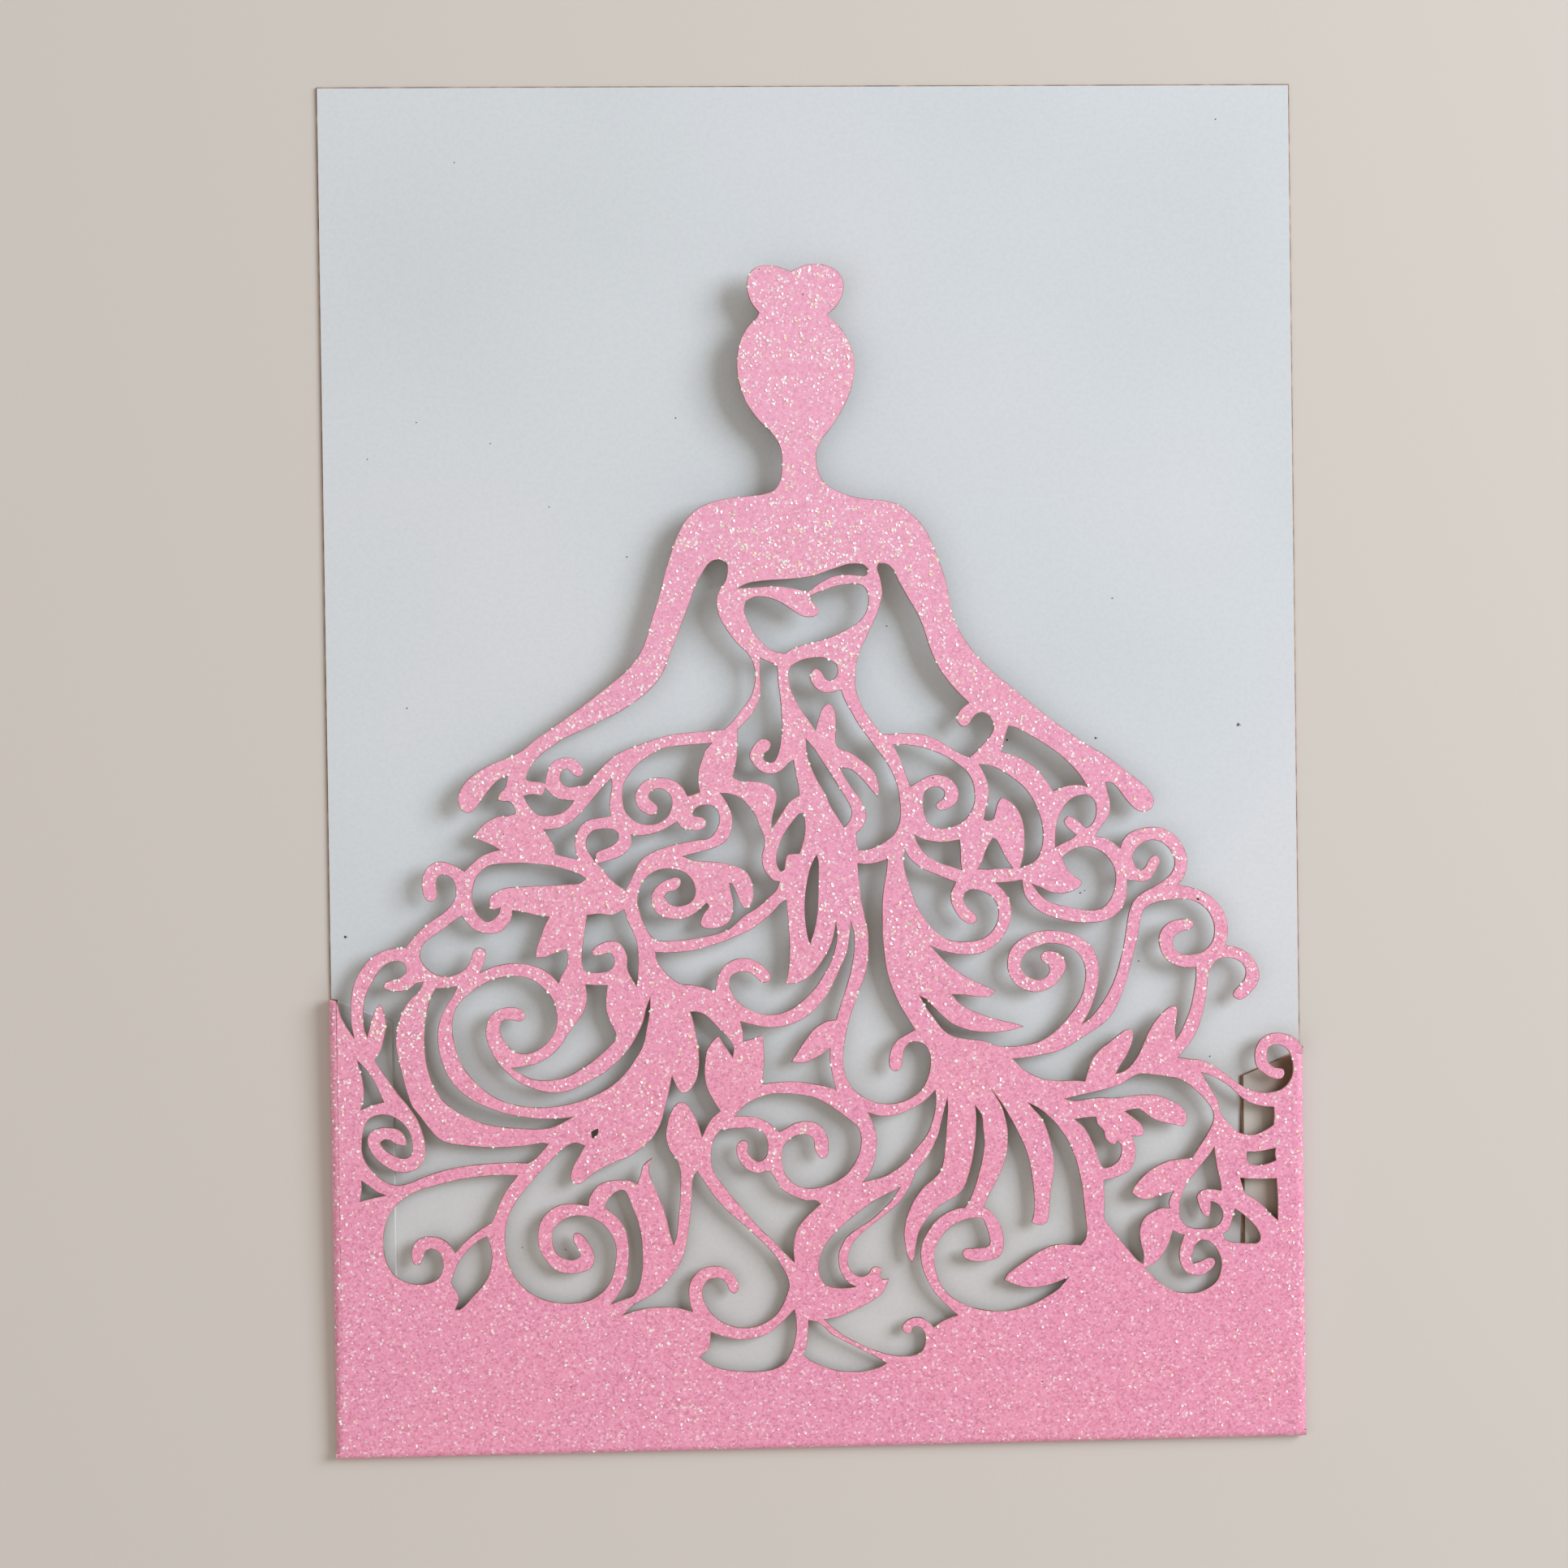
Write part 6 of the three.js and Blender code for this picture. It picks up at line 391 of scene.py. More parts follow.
LOWER_RIGHT_CUTS = [
    # right of the middle ring
    [[6.2, 43.9, 7.4, 43.5, 8.9, 43.4, 10.4, 43.7, 11.8, 44.3, 13, 44.9, 14, 45.7], [14.95, 46.6, 15, 45.2,
     14.85, 43.8, 14.3, 41.9, 13.5, 40.4, 12.4, 39.1, 11.2, 37.6, 9.9, 36.5, 8.4, 35.65, 6.9, 35.15],
     [5.4, 34.9, 6.3, 36, 6.9, 37.5, 7.2, 39.2, 7.2, 40.9, 6.8, 42.5]],
    # winding opening round the pointed stroke, down to the hem curl
    [[16.5, 45.4, 15.95, 43.4, 15.6, 42.1, 15.2, 40.6, 14.5, 39.1, 13.5, 37.5, 12.4, 36.2, 12, 35.2,
     11.6, 34.3, 10.9, 33.2, 9.9, 31.9, 8.6, 30.8, 7, 29.6, 5.5, 28.4, 4.4, 27.4, 3.7, 26.4, 3.3, 25.1,
     3.35, 23.9, 4, 22.9, 5, 22.45, 5.9, 22.8, 6.4, 23.5, 7, 23.7, 7.7, 23.3], [7.4, 22.4, 7.9, 22.05],
     [8.6, 22.1, 8.3, 21.2, 7.7, 20.2, 6.5, 19.3, 5, 18.5, 3.4, 17.8, 1.9, 17.2], [0.1, 16.95, 1.1, 16,
     2.6, 14.8, 4.2, 13.9, 5.8, 13.1, 7.3, 12.5, 8.7, 12.1, 10.3, 11.9, 11.9, 12, 12.9, 12.6, 13.3, 13.9,
     13.1, 15.1, 12.4, 15.7, 11.7, 15.6, 11.4, 14.95, 10.8, 14.9, 10.3, 15.4, 10.6, 16.3, 11.7, 16.9,
     12.9, 16.85, 13.8, 16.2], [14.4, 15.6, 15.4, 16.3, 16.5, 16.8], [17.55, 17.1, 16.5, 18.1, 15.3, 19.3,
     14.2, 20.7, 13.5, 22.1, 12.95, 23.8, 12.8, 25.5, 13.15, 27, 14, 28.5, 15, 29.7, 16.3, 30.6,
     17.6, 31.1], [18.7, 31.25, 19.4, 32.4, 20, 33.9, 20.5, 35.5, 20.9, 37, 21.2, 38.6, 21.3, 40.1,
     21.15, 41.6, 21, 43.2], [20.2, 44.5, 20.3, 42.9, 20.25, 41.2, 20.05, 39.3, 19.7, 37.3, 19.2, 35.5,
     18.6, 33.9, 17.6, 32.8, 16, 31.9, 14.6, 30.9, 13.5, 29.6, 12.65, 28.2, 12.2, 26.5, 12, 25],
     [11.7, 24.15, 11.1, 25, 10.8, 26.5, 10.65, 28, 10.9, 29.6, 11.4, 31.1, 12.2, 32.6, 13.2, 33.9,
     14.5, 35, 15.5, 36.1, 15.95, 37.6, 16.2, 39.6, 16.4, 42, 16.55, 44.2]],
    [[10.15, 34, 8.9, 33.4, 7.3, 32.6, 5.7, 31.6, 4, 30.3, 2.2, 28.8, 0.8, 27.3, -0.15, 25.7, -0.5, 24.2,
     -0.4, 22.7, 0.3, 21.6, 1.5, 21.1, 2.9, 21], [4.25, 21.15, 3.3, 21.7, 2.5, 22.8, 2.1, 24, 2.1, 25.5,
     2.6, 26.8, 3.4, 27.9, 4.7, 28.8, 6.3, 29.8, 7.8, 31.1, 9.1, 32.4]],
    [[-1.95, 16.85, -0.8, 16.6, 0, 16, 1, 15, 2.4, 14.2, 4, 13.35, 5.5, 12.55, 7, 11.75], [8.2, 11, 7, 10.4,
     5.5, 10.05, 3.7, 10, 1.7, 10.2, -0.1, 10.8, -1.6, 11.5], [-2.7, 12.35, -2.25, 13.5, -2.05, 15]],
    # large opening with the hook and the long strokes
    [[22.7, 46.1, 23.6, 44.5, 24.1, 42.9, 24.4, 41.2, 24.4, 39.6, 24.2, 38, 23.8, 36.7, 23.2, 35.3,
     22.4, 33.8, 21.7, 32.5], [21.15, 31.2, 22, 30.7, 22.85, 29.7, 23.5, 28.3, 23.75, 26.8, 23.6, 25.5,
     23, 24.6, 21.7, 24.2, 20.2, 24.1, 18.95, 24.4, 18.3, 25.1, 18.6, 25.75, 19.9, 25.85], [21.3, 25.9,
     21.9, 26.4, 21.8, 27.5, 21.4, 28.8, 20.85, 29.75, 19.2, 29.75, 17.6, 29.2, 16.3, 28.3, 15.3, 27.1,
     14.7, 25.7, 14.6, 24.2, 14.9, 22.6, 15.5, 21.1, 16.5, 19.8, 17.8, 18.9, 19.4, 18.15, 21.2, 17.7,
     23.2, 17.5, 25.3, 17.75, 27.3, 18.3, 29.1, 19.2, 30.6, 20.1, 31.5, 21], [32.1, 21.7, 30.5, 21.1,
     29.1, 20.7, 27.6, 20.5, 26.3, 20.6, 25, 21], [23.7, 21.6, 24.2, 22.4, 25, 23, 26.5, 24.05, 28.1, 25.1,
     29.6, 25.85, 31.2, 26.15, 32.6, 26.05], [33.8, 25.95, 34.4, 26.7, 34.65, 27.9, 34.5, 29.7, 34.3, 31.6,
     34.1, 33.7, 33.7, 35.7, 33.2, 37.5, 32.5, 39.3, 31.4, 41.1, 30.1, 42.7, 28.7, 43.9], [27.2, 44.75,
     27.9, 43.9, 28.9, 42.7, 29.6, 41.1, 30.1, 39.3, 30.4, 37.5, 30.4, 35.7, 30.1, 33.9, 29.85, 32.1,
     29.75, 30.6], [29.5, 29.1, 28.6, 28.7], [27.4, 29.05, 27.7, 30.2, 27.8, 31.6, 27.7, 33.4, 27.5, 35.2,
     27.2, 37, 26.7, 38.8, 25.9, 40.6, 25, 42.4, 24, 44.2]],
    # opening round the two leaves on the right
    [[32, 45.2, 33.7, 45.6, 35.7, 46, 37.8, 46.5, 39.4, 47, 40.6, 47.8, 41.9, 48.3, 43.4, 48.2, 45.2, 47.9,
     46.8, 47.6, 48.1, 46.9, 49.3, 45.9, 50.4, 44.8, 51.3, 43.5, 51.5, 42.4, 51.2, 41.3, 50.5, 40,
     49.7, 38.8], [48.6, 37.1, 47, 37, 45.5, 36.8, 43.9, 36.1, 42.4, 35.1, 41.2, 33.8], [40.6, 32.75,
     41.6, 31.95, 42.7, 31.8, 43.8, 32.1, 45, 32.5], [46.15, 32.75, 45.7, 32, 45.5, 31.2], [45.65, 30.6,
     44.6, 30.65, 43.6, 30.3, 42.6, 29.7, 41.9, 28.8, 41.6, 27.5, 41.75, 26, 42.1, 24.5], [42, 23.35,
     41.3, 23.8, 40.3, 25, 39.1, 26.5, 37.8, 28.2, 37, 29.4, 37, 30.7, 37.05, 32.4], [36.95, 34.4,
     38.1, 34.65, 39.4, 35.1, 40.4, 35.7, 41, 36.8, 41.2, 38, 41.1, 39.2], [40.75, 40.15, 41.5, 40.1],
     [42.15, 40.2, 42.3, 40.9, 41.9, 41.8, 41, 42.5], [39.85, 43.4, 40.9, 43.7, 41.8, 43.65, 42.7, 42.95,
     43.7, 42.3, 45, 41.8, 46.3, 41.55], [47.5, 41.3, 47.95, 42, 47.8, 43.2, 47, 44.1, 45.7, 44.85,
     44.3, 45.4, 42.8, 45.55, 41.3, 45.5, 39.8, 45.3, 38.3, 45.2, 36.5, 45.3, 34.7, 45.1, 33.3, 44.95]],
    [[33.25, 42.5, 34.6, 42.7], [36, 42.75, 36.2, 41.8, 36.95, 41, 37.2, 40, 37.8, 39.3, 38.4, 39.1],
     [38.8, 39.55, 39.25, 39, 39.3, 38, 38.9, 37, 38, 36.3, 36.95, 36.1, 36.4, 37, 36, 38.3, 35.3, 39.9,
     34.5, 41.3]],
    # two hooks near the right fold
    [[51.55, 38.5, 50.8, 37.4, 49.8, 36.2, 48.8, 34.9, 47.8, 33.6, 47.15, 32.1, 46.9, 30.6, 47, 29.3,
     47.7, 28.3, 48.9, 27.85, 50.3, 27.8, 51.5, 27.95, 52.3, 28.6, 52.6, 29.6, 52.3, 30.6, 51.6, 31.2],
     [51.05, 31.35, 51, 30.2, 50.7, 29.35, 50, 29.7, 49.5, 30.8, 49.2, 31.9, 49.6, 32.65, 50.6, 33],
     [52.45, 32.8, 52.25, 34.2, 51.9, 35.7, 51.7, 37]],
    [[42.3, 22.8, 43.4, 23.3, 44.5, 24.3, 45.3, 25.7, 45.75, 26.9], [46, 27.6, 46.8, 27.2], [47.5, 27,
     47.1, 25.9, 46.8, 24.7, 46.95, 23.3, 47.6, 22.2, 48.6, 21.7, 49.9, 21.7, 51, 22.4, 51.55, 23.2,
     51.3, 23.8, 50.6, 23.9, 49.6, 23.5], [48.65, 23.2, 48.5, 23.9, 48.7, 25, 49.1, 25.8, 49.9, 26.3,
     50.9, 26, 51.8, 25, 52.3, 23.8, 52.3, 22.4, 51.8, 21, 50.6, 19.95, 49.1, 19.4, 47.3, 19.4, 45.8, 19.8,
     44.5, 20.6, 43.2, 21.8]],
    # the four openings along the right fold
    [[50, 48.3, 51.2, 47.9, 52.5, 47.2, 53.7, 46.4, 54.7, 45.4, 55.8, 44.5, 57, 44, 58.3, 43.7],
     [59.45, 43.6, 59.5, 42.4], [59.4, 41.25, 58.3, 40.6, 57, 40.1, 55.8, 40.1, 54.6, 40.5, 53.6, 41.5,
     52.9, 42.3], [52.35, 43.1, 52.2, 44.2, 51.7, 45.3, 51, 46.4]],
    [[55.9, 37.8, 57.2, 37.75, 58.4, 37.95], [59.65, 38.2, 59.55, 37.4], [59.7, 36.6, 58.6, 36.2, 57.3, 36,
     56.3, 36.2, 55.85, 37]],
    [[54.95, 34.35, 56.4, 34.2, 58, 34.15], [59.75, 34.2, 59.85, 32.4, 59.9, 30.6], [59.85, 28.75, 59, 29.5,
     58, 30.6, 56.8, 31.6, 55.6, 32.4]],
    [[54.2, 30.3, 55.1, 29.7, 56, 28.9, 57, 27.8, 57.55, 26.6, 57.2, 25.8, 56.2, 25.7, 54.8, 25.8, 53.6, 26,
     52.9, 26.4], [52.6, 27.05, 53.3, 27.5, 53.75, 28.5, 54, 29.4]],
]

CUT_OUTS = (BODICE_CUTS, LEFT_CUTS, LOWER_LEFT_CUTS, RIGHT_CUTS, LOWER_RIGHT_CUTS)
# The tops of the side bends, at the card's edge and where the bend meets the flat panel.
LEFT_BEND_TOP = (59.9, 59.65)
RIGHT_BEND_TOP = (50.6, 50.6)
# How far the glued flaps are pressed into the back panel, and the side bends into the bottom one.
GLUE = 0.05
BEND_LAP = 0.3
# The width of the scorched rim round every cut, and the wider one of the back panel and the flaps.
RIM = 0.07
EDGE_RIM = 0.16
# A curve's points nearer than the first are merged, and slivers thinner than the second are dropped.
MERGE = 0.0005
SLIVER = 0.0002
# How steeply a face looks up or down to be a face of the sheet, and to carry loose glitter.
FLAT_FACE = 0.9
UPWARD = 0.15

# The band of the white face that is painted darker and warmer as the shade inside the pocket, in metres from
# the card's middle, and how strongly it is tinted.
POCKET_SHADE_FROM, POCKET_SHADE_TO, POCKET_SHADE_SHARE = -0.065, -0.02, 0.4
# The painted shade on the right flap, from its light side to its dark side, in metres in from the card's
# edge.
FLAP_SHADE_FROM, FLAP_SHADE_TO = 0.0068, 0.0022
# The scorched line on the flap's free edge, and where it has faded, in metres.
SINGE, SINGE_END = 0.4 * MM, 0.5 * MM

# Where the loose glitter thickens towards the head, in metres from the card's middle.
SPARSE_BELOW, DENSE_ABOVE = -0.07, 0.02
# The film sparkles most on the small scroll beside the left bend.
CLUSTER = (-0.0555, -0.031, 0.002)
CLUSTER_CORE, CLUSTER_END, CLUSTER_TIMES = 0.0025, 0.0065, 6.0
# Flakes cling together in clumps: the clumps' size in millimetres, and the noise and density at their limits.
CLUMP = 1.1
CLUMP_NOISE = (0.45, 0.62)
CLUMP_TIMES = (0.2, 3.0)
# The smallest and the largest flake, as shares of the set radius, and how high they lie on the film.
FLAKE_SIZES = (0.28, 0.8)
FLAKE_LIFT = 0.03 * MM
FLAKE_CORNERS = 6

# The lamps: name, place, width, watts and colour. All of them look at the card's middle.
LAMPS = (
    ("window_light", (0.75, 0.3, 0.62), 0.55, 8.6, "#F2F7FF"),
    ("fill_light", (-0.6, -0.2, 1.1), 1.2, 2.6, "#FFFFFF"),
)
ROOM_STRENGTH = 0.43
FLOOR_REACH = 1.5
# The camera's lens and sensor in millimetres, its place in metres and its turn in degrees.
CAMERA_LENS, CAMERA_SENSOR = 65.2, 36
CAMERA_PLACE = (-0.0205, 0.0029, 0.371)
CAMERA_TURN = (-0.73, -2.54, -0.79)
CAMERA_NEAR = 0.01

# Dust and fluff on the card: x and y from the card's middle and the bottom bend, and the width of each.
DUST_ON_WHITE = [
    (36.9, 92.3, 0.5), (25.2, 92.2, 0.5), (9.6, 107.3, 0.35), (34.6, 72, 0.4), (35.2, 72.3, 0.3),
    (-24.2, 116.7, 0.35), (-53, 97.4, 0.35), (-61.4, 67.8, 0.6), (-45.8, 168, 0.3), (-51.2, 134.4, 0.3),
    (-41.7, 131.6, 0.3), (-17.6, 134.7, 0.35), (-34.2, 123.3, 0.3), (-57.6, 129.7, 0.3), (53.7, 173.2, 0.35),
    (39.3, 110.6, 0.35), (-39.1, 26.9, 0.3), (-33.5, 26.5, 0.3), (51.5, 50.2, 0.35), (42.2, 62.9, 0.35),
]
LINT_ON_WHITE = [(55.8, 93.8, 0.8)]
DUST_ON_PINK = [
    (-6.6, 153.3, 0.3), (-1, 150, 0.35), (15.1, 87.4, 0.35), (49.7, 71.1, 0.6), (-40.6, 80.9, 0.3),
    (57.7, 39.7, 0.35), (57, 15.1, 0.35), (28.6, 8.1, 0.4), (-33, 8.9, 0.35), (-17.3, 119.2, 0.3),
]
# A speck's corners, how far it is sunk into the face, and its height as a share of its width.
SPECK_SIDES = 7
SPECK_SUNK = 0.01
SPECK_HEIGHT = 0.3


def length(name, description, default):
    """A length in metres, as a property."""
    return bpy.props.FloatProperty(
        name=name, description=description, default=default, unit="LENGTH", precision=5)


def colour_code(name, description, default):
    """A colour's sRGB hex value, as a property."""
    return bpy.props.StringProperty(name=name, description=description, default=default)


class CardSizes(bpy.types.PropertyGroup):
    """The sheet and its folds."""
    width: length("Width", "Card width", 0.127)
    height: length("Height", "Card height", 0.1778)
    sheet: length("Sheet", "Thickness of the cardstock", 0.0004)
    gap: length("Gap", "Clear gap at the bottom bend", 0.001)
    slope: bpy.props.FloatProperty(
        name="Slope", description="Rise of the front panel for each unit up the card", default=0.0168)
    side_bend: length("Side bend", "Reach of a side bend", 0.001)
    bottom_bend: length("Bottom bend", "Reach of the bottom bend", 0.0009)
    flap_width: length("Flap", "Width of a glued side flap", 0.0081)
    flap_slant: length("Flap slant", "Drop of a flap's slanted end", 0.003)
    bend_steps: bpy.props.IntProperty(name="Bend steps", description="Facets round a bend", default=18, min=4)
    curve_steps: bpy.props.IntProperty(
        name="Curve steps", description="Points per stretch of a curve", default=5, min=1)


class GlitterSettings(bpy.types.PropertyGroup):
    """The loose sparkle of the glitter film."""
    flake: length("Flake", "Radius of a glitter flake", 0.00028)
    density: bpy.props.FloatProperty(
        name="Flakes", description="Flakes for each square metre at the hem", default=150000)
    crowded: bpy.props.FloatProperty(
        name="Crowding", description="How many times denser the flakes lie near the head", default=9.0)
    tilt: bpy.props.FloatProperty(
        name="Tilt", description="Most that a flake leans", default=math.radians(24), subtype="ANGLE")
    seed: bpy.props.IntProperty(name="Seed", description="Seed of the flakes' places", default=7)


class CardColours(bpy.types.PropertyGroup):
    """The colours that can be set."""
    outside: colour_code("Outside", "Dyed pink of the outside", "#F29DBF")
    inside: colour_code("Inside", "White of the inside", "#D6DEE4")
    burnt: colour_code("Cut edge", "Scorched laser cut", "#9C7B66")
    floor: colour_code("Floor", "Pale floor", "#D3CFC9")


def linear(hex_colour, alpha=1.0):
    """An sRGB hex colour as linear values."""
    values = [int(hex_colour[i:i + 2], 16) / 255 for i in (1, 3, 5)]
    return tuple([v / 12.92 if v <= 0.04045 else ((v + 0.055) / 1.055) ** 2.4 for v in values] + [alpha])


def add_node(tree, kind, settings=None, links=None, **values):
    """Adds one node. Settings are attributes, values are sockets by name, and links are outputs by input."""
    node = tree.nodes.new(kind)
    for key, value in (settings or {}).items():
        setattr(node, key, value)
    for key, value in values.items():
        node.inputs[key.replace("_", " ")].default_value = value
    for key, source in (links or {}).items():
        tree.links.new(source, node.inputs[key])
    return node


def map_range(tree, value, from_min, from_max, to_min=0.0, to_max=1.0):
    """A value's place between two limits, turned into a place between two others."""
    node = add_node(tree, "ShaderNodeMapRange", links={"Value": value}, From_Min=from_min, From_Max=from_max,
                    To_Min=to_min, To_Max=to_max)
    return node.outputs["Result"]


def noise(tree, place, size, detail):
    """Soft noise whose patches are about the given size, in millimetres."""
    node = add_node(tree, "ShaderNodeTexNoise", links={"Vector": place}, Scale=1 / (size * MM), Detail=detail)
    return node.outputs[0]


def multiply(tree, first, second):
    """The product of a socket and another socket or number."""
    node = add_node(tree, "ShaderNodeMath", {"operation": "MULTIPLY"}, {0: first})
    if isinstance(second, bpy.types.NodeSocket):
        tree.links.new(second, node.inputs[1])
    else:
        node.inputs[1].default_value = second
    return node.outputs[0]


def split(tree, place):
    """The X, Y and Z of a place."""
    return add_node(tree, "ShaderNodeSeparateXYZ", links={"Vector": place}).outputs


def set_bump(tree, shader, height, strength, distance):
    """Gives the face a fine relief, with its depth in millimetres."""
    bump = add_node(tree, "ShaderNodeBump", links={"Height": height}, Strength=strength,
                    Distance=distance * MM)
    tree.links.new(bump.outputs["Normal"], shader.inputs["Normal"])


def new_material(name):
    """An empty material with its node tree, its shader and the place on the object as a socket."""
    material = bpy.data.materials.new(name)
    material.use_nodes = True
    tree = material.node_tree
    tree.nodes.clear()
    output = tree.nodes.new("ShaderNodeOutputMaterial")
    shader = tree.nodes.new("ShaderNodeBsdfPrincipled")
    tree.links.new(shader.outputs["BSDF"], output.inputs["Surface"])
    place = tree.nodes.new("ShaderNodeTexCoord").outputs["Object"]
    return material, tree, shader, place


def ramp(tree, source, stops, smooth=True):
    """A colour ramp on a value, from a list of (position, linear colour)."""
    node = add_node(tree, "ShaderNodeValToRGB", links={"Fac": source})
    node.color_ramp.interpolation = "LINEAR" if smooth else "CONSTANT"
    elements = node.color_ramp.elements
    while len(elements) > 1:
        elements.remove(elements[-1])
    elements[0].position, elements[0].color = stops[0]
    for position, colour in stops[1:]:
        elements.new(position).color = colour
    return node.outputs["Color"]


def mix(tree, share, low, high, blend="MIX"):
    """Mixes two colours, each given as a socket or as a colour."""
    node = add_node(tree, "ShaderNodeMix", {"data_type": "RGBA", "blend_type": blend})
    for socket, value in ((node.inputs[0], share), (node.inputs[6], low), (node.inputs[7], high)):
        if isinstance(value, bpy.types.NodeSocket):
            tree.links.new(value, socket)
        else:
            socket.default_value = value
    return node.outputs[2]


def glitter_film(colour):
    """Glitter film on dyed cardstock: flakes a quarter of a millimetre wide, set at random in clear binder.
    The eye sees a sandy grain of lighter and darker pinks; its palest grains are painted glints of single
    flakes."""
    material, tree, shader, place = new_material("glitter_film_on_cardstock")
    grain = add_node(tree, "ShaderNodeTexVoronoi", links={"Vector": place}, Scale=1 / (0.26 * MM))
    one = add_node(tree, "ShaderNodeSeparateColor", links={"Color": grain.outputs["Color"]})
    # The near-white last stop is a painted glint: flakes shown white as though catching the light.
    grain_and_glints = ramp(tree, one.outputs["Red"], [
        (0.0, linear("#CF7B9D")), (0.12, linear("#E58DB0")), (0.35, linear(colour)),
        (0.72, linear("#F7ACCB")), (0.92, linear("#FBC8DC")), (0.965, linear("#FFF1F3")),
    ], smooth=False)
    # The dye is a little warmer or cooler over a few centimetres.
    warm = ramp(tree, noise(tree, place, 24, 2.0), [(0.35, linear("#F7A3BA")), (0.65, linear("#F09FBF"))])
    # The upper half of the panel is a paler, cooler pink than the hem.
    rise = map_range(tree, split(tree, place)["Y"], -60 * MM, 45 * MM, 0.0, 0.38)
    blended = mix(tree, 0.3, grain_and_glints, warm)
    tree.links.new(mix(tree, rise, blended, linear("#F9C6E0")), shader.inputs["Base Color"])
    tree.links.new(map_range(tree, one.outputs["Green"], 0.0, 1.0, 0.28, 0.7), shader.inputs["Roughness"])
    set_bump(tree, shader, one.outputs["Blue"], 0.55, 0.05)
    shader.inputs["Coat Weight"].default_value = 0.12
    shader.inputs["Coat Roughness"].default_value = 0.3
    return material


def white_board(colour):
    """Uncoated white cardstock: a matt face with a faint tooth of fibres about half a millimetre long.
    Behind the lowest cut-outs, under the front panel, it is painted a little darker and warmer as the
    pocket's shade."""
    material, tree, shader, place = new_material("uncoated_white_cardstock")
    fibre = noise(tree, place, 0.5, 4.0)
    base = ramp(tree, noise(tree, place, 45, 1.5), [
        (0.3, linear("#D2DAE0")), (0.5, linear(colour)), (0.7, linear("#DADFE5")),
    ])
    speckle = ramp(tree, fibre, [(0.35, linear("#FBFBFB")), (0.6, linear("#FFFFFF"))])
    # Painted shade: darker and warmer towards the bottom, under the front panel, where the pocket lies in
    # shade.
    low = map_range(tree, split(tree, place)["Y"], POCKET_SHADE_FROM, POCKET_SHADE_TO, POCKET_SHADE_SHARE, 0.0)
    pocket_shaded = mix(tree, low, base, linear("#CBBFB6"))
    tree.links.new(mix(tree, 1.0, pocket_shaded, speckle, "MULTIPLY"), shader.inputs["Base Color"])
    shader.inputs["Roughness"].default_value = 0.88
    shader.inputs["Specular IOR Level"].default_value = 0.3
    set_bump(tree, shader, fibre, 0.06, 0.02)
    return material


def shade_brown_board(name, dark, light):
    """White cardstock painted brown, matt and uneven: painted shade, so that light bounced inside the pocket
    turns brown.
    """
    material, tree, shader, place = new_material(name)
    base = ramp(tree, noise(tree, place, 9, 3.0), [(0.3, linear(dark)), (0.7, linear(light))])
    tree.links.new(base, shader.inputs["Base Color"])
    shader.inputs["Roughness"].default_value = 0.9
    return material


def flap_board(sizes):
    """The right flap's face: a greyer white, scorched along its free edge, and with painted shade darkening
    it to brown towards the side bend.
    """
    material, tree, shader, place = new_material("flap_with_painted_shade")
    across = split(tree, place)["X"]
    side = add_node(tree, "ShaderNodeMath", {"operation": "ABSOLUTE"}, {0: across}).outputs[0]
    half = sizes.width / 2
    free = half - sizes.flap_width
    # Painted shade: the face is a greyer white and darkens to brown towards the side bend, in the shade of
    # the pink strip above.
    soot = map_range(tree, side, half - FLAP_SHADE_FROM, half - FLAP_SHADE_TO)
    uneven = ramp(tree, noise(tree, place, 3, 2.0), [(0.3, linear("#8B6A57")), (0.7, linear("#A08272"))])
    face = mix(tree, soot, linear("#CBC5BF"), uneven)
    singe = map_range(tree, side, free + SINGE, free + SINGE_END)
    tree.links.new(mix(tree, singe, linear("#6F5644"), face), shader.inputs["Base Color"])
    shader.inputs["Roughness"].default_value = 0.9
    return material


def scorched_edge(colour):
    """The edge that the laser leaves on cardstock: matt, tan to brown, darker every few millimetres."""
    material, tree, shader, place = new_material("scorched_cardstock_edge")
    base = ramp(tree, noise(tree, place, 2.2, 3.0), [
        (0.3, linear("#755848")), (0.5, linear(colour)), (0.72, linear("#C9A896")),
    ])
    tree.links.new(base, shader.inputs["Base Color"])
    shader.inputs["Roughness"].default_value = 0.9
    return material


def pearl_flake():
    """Loose polyester glitter: thin flat flakes with a pearl coat, mostly white, some gold, green or pink."""
    material, tree, shader, place = new_material("pearl_polyester_glitter")
    base = ramp(tree, noise(tree, place, 0.7, 0.0), [
        (0.0, linear("#FFF0C4")), (0.34, linear("#FFFFFF")), (0.64, linear("#FFE3EC")),
        (0.69, linear("#E2F5D2")),
    ], smooth=False)
    tree.links.new(base, shader.inputs["Base Color"])
    shader.inputs["Roughness"].default_value = 0.3
    shader.inputs["Coat Weight"].default_value = 1.0
    shader.inputs["Coat Roughness"].default_value = 0.12
    return material


def dust_grain(name, dark, light):
    """A speck of dust or lint: matt, uneven fibres and soot."""
    material, tree, shader, place = new_material(name)
    base = ramp(tree, noise(tree, place, 0.15, 2.0), [(0.4, linear(dark)), (0.65, linear(light))])
    tree.links.new(base, shader.inputs["Base Color"])
    shader.inputs["Roughness"].default_value = 0.95
    return material


def curve_point(a, b, c, d, t):
    """A point of the smooth curve between b and c."""
    return tuple(
        0.5 * (2 * q + (r - p) * t + (2 * p - 5 * q + 4 * r - s) * t * t + (3 * q - p - 3 * r + s) * t ** 3)
        for p, q, r, s in zip(a, b, c, d)
    )


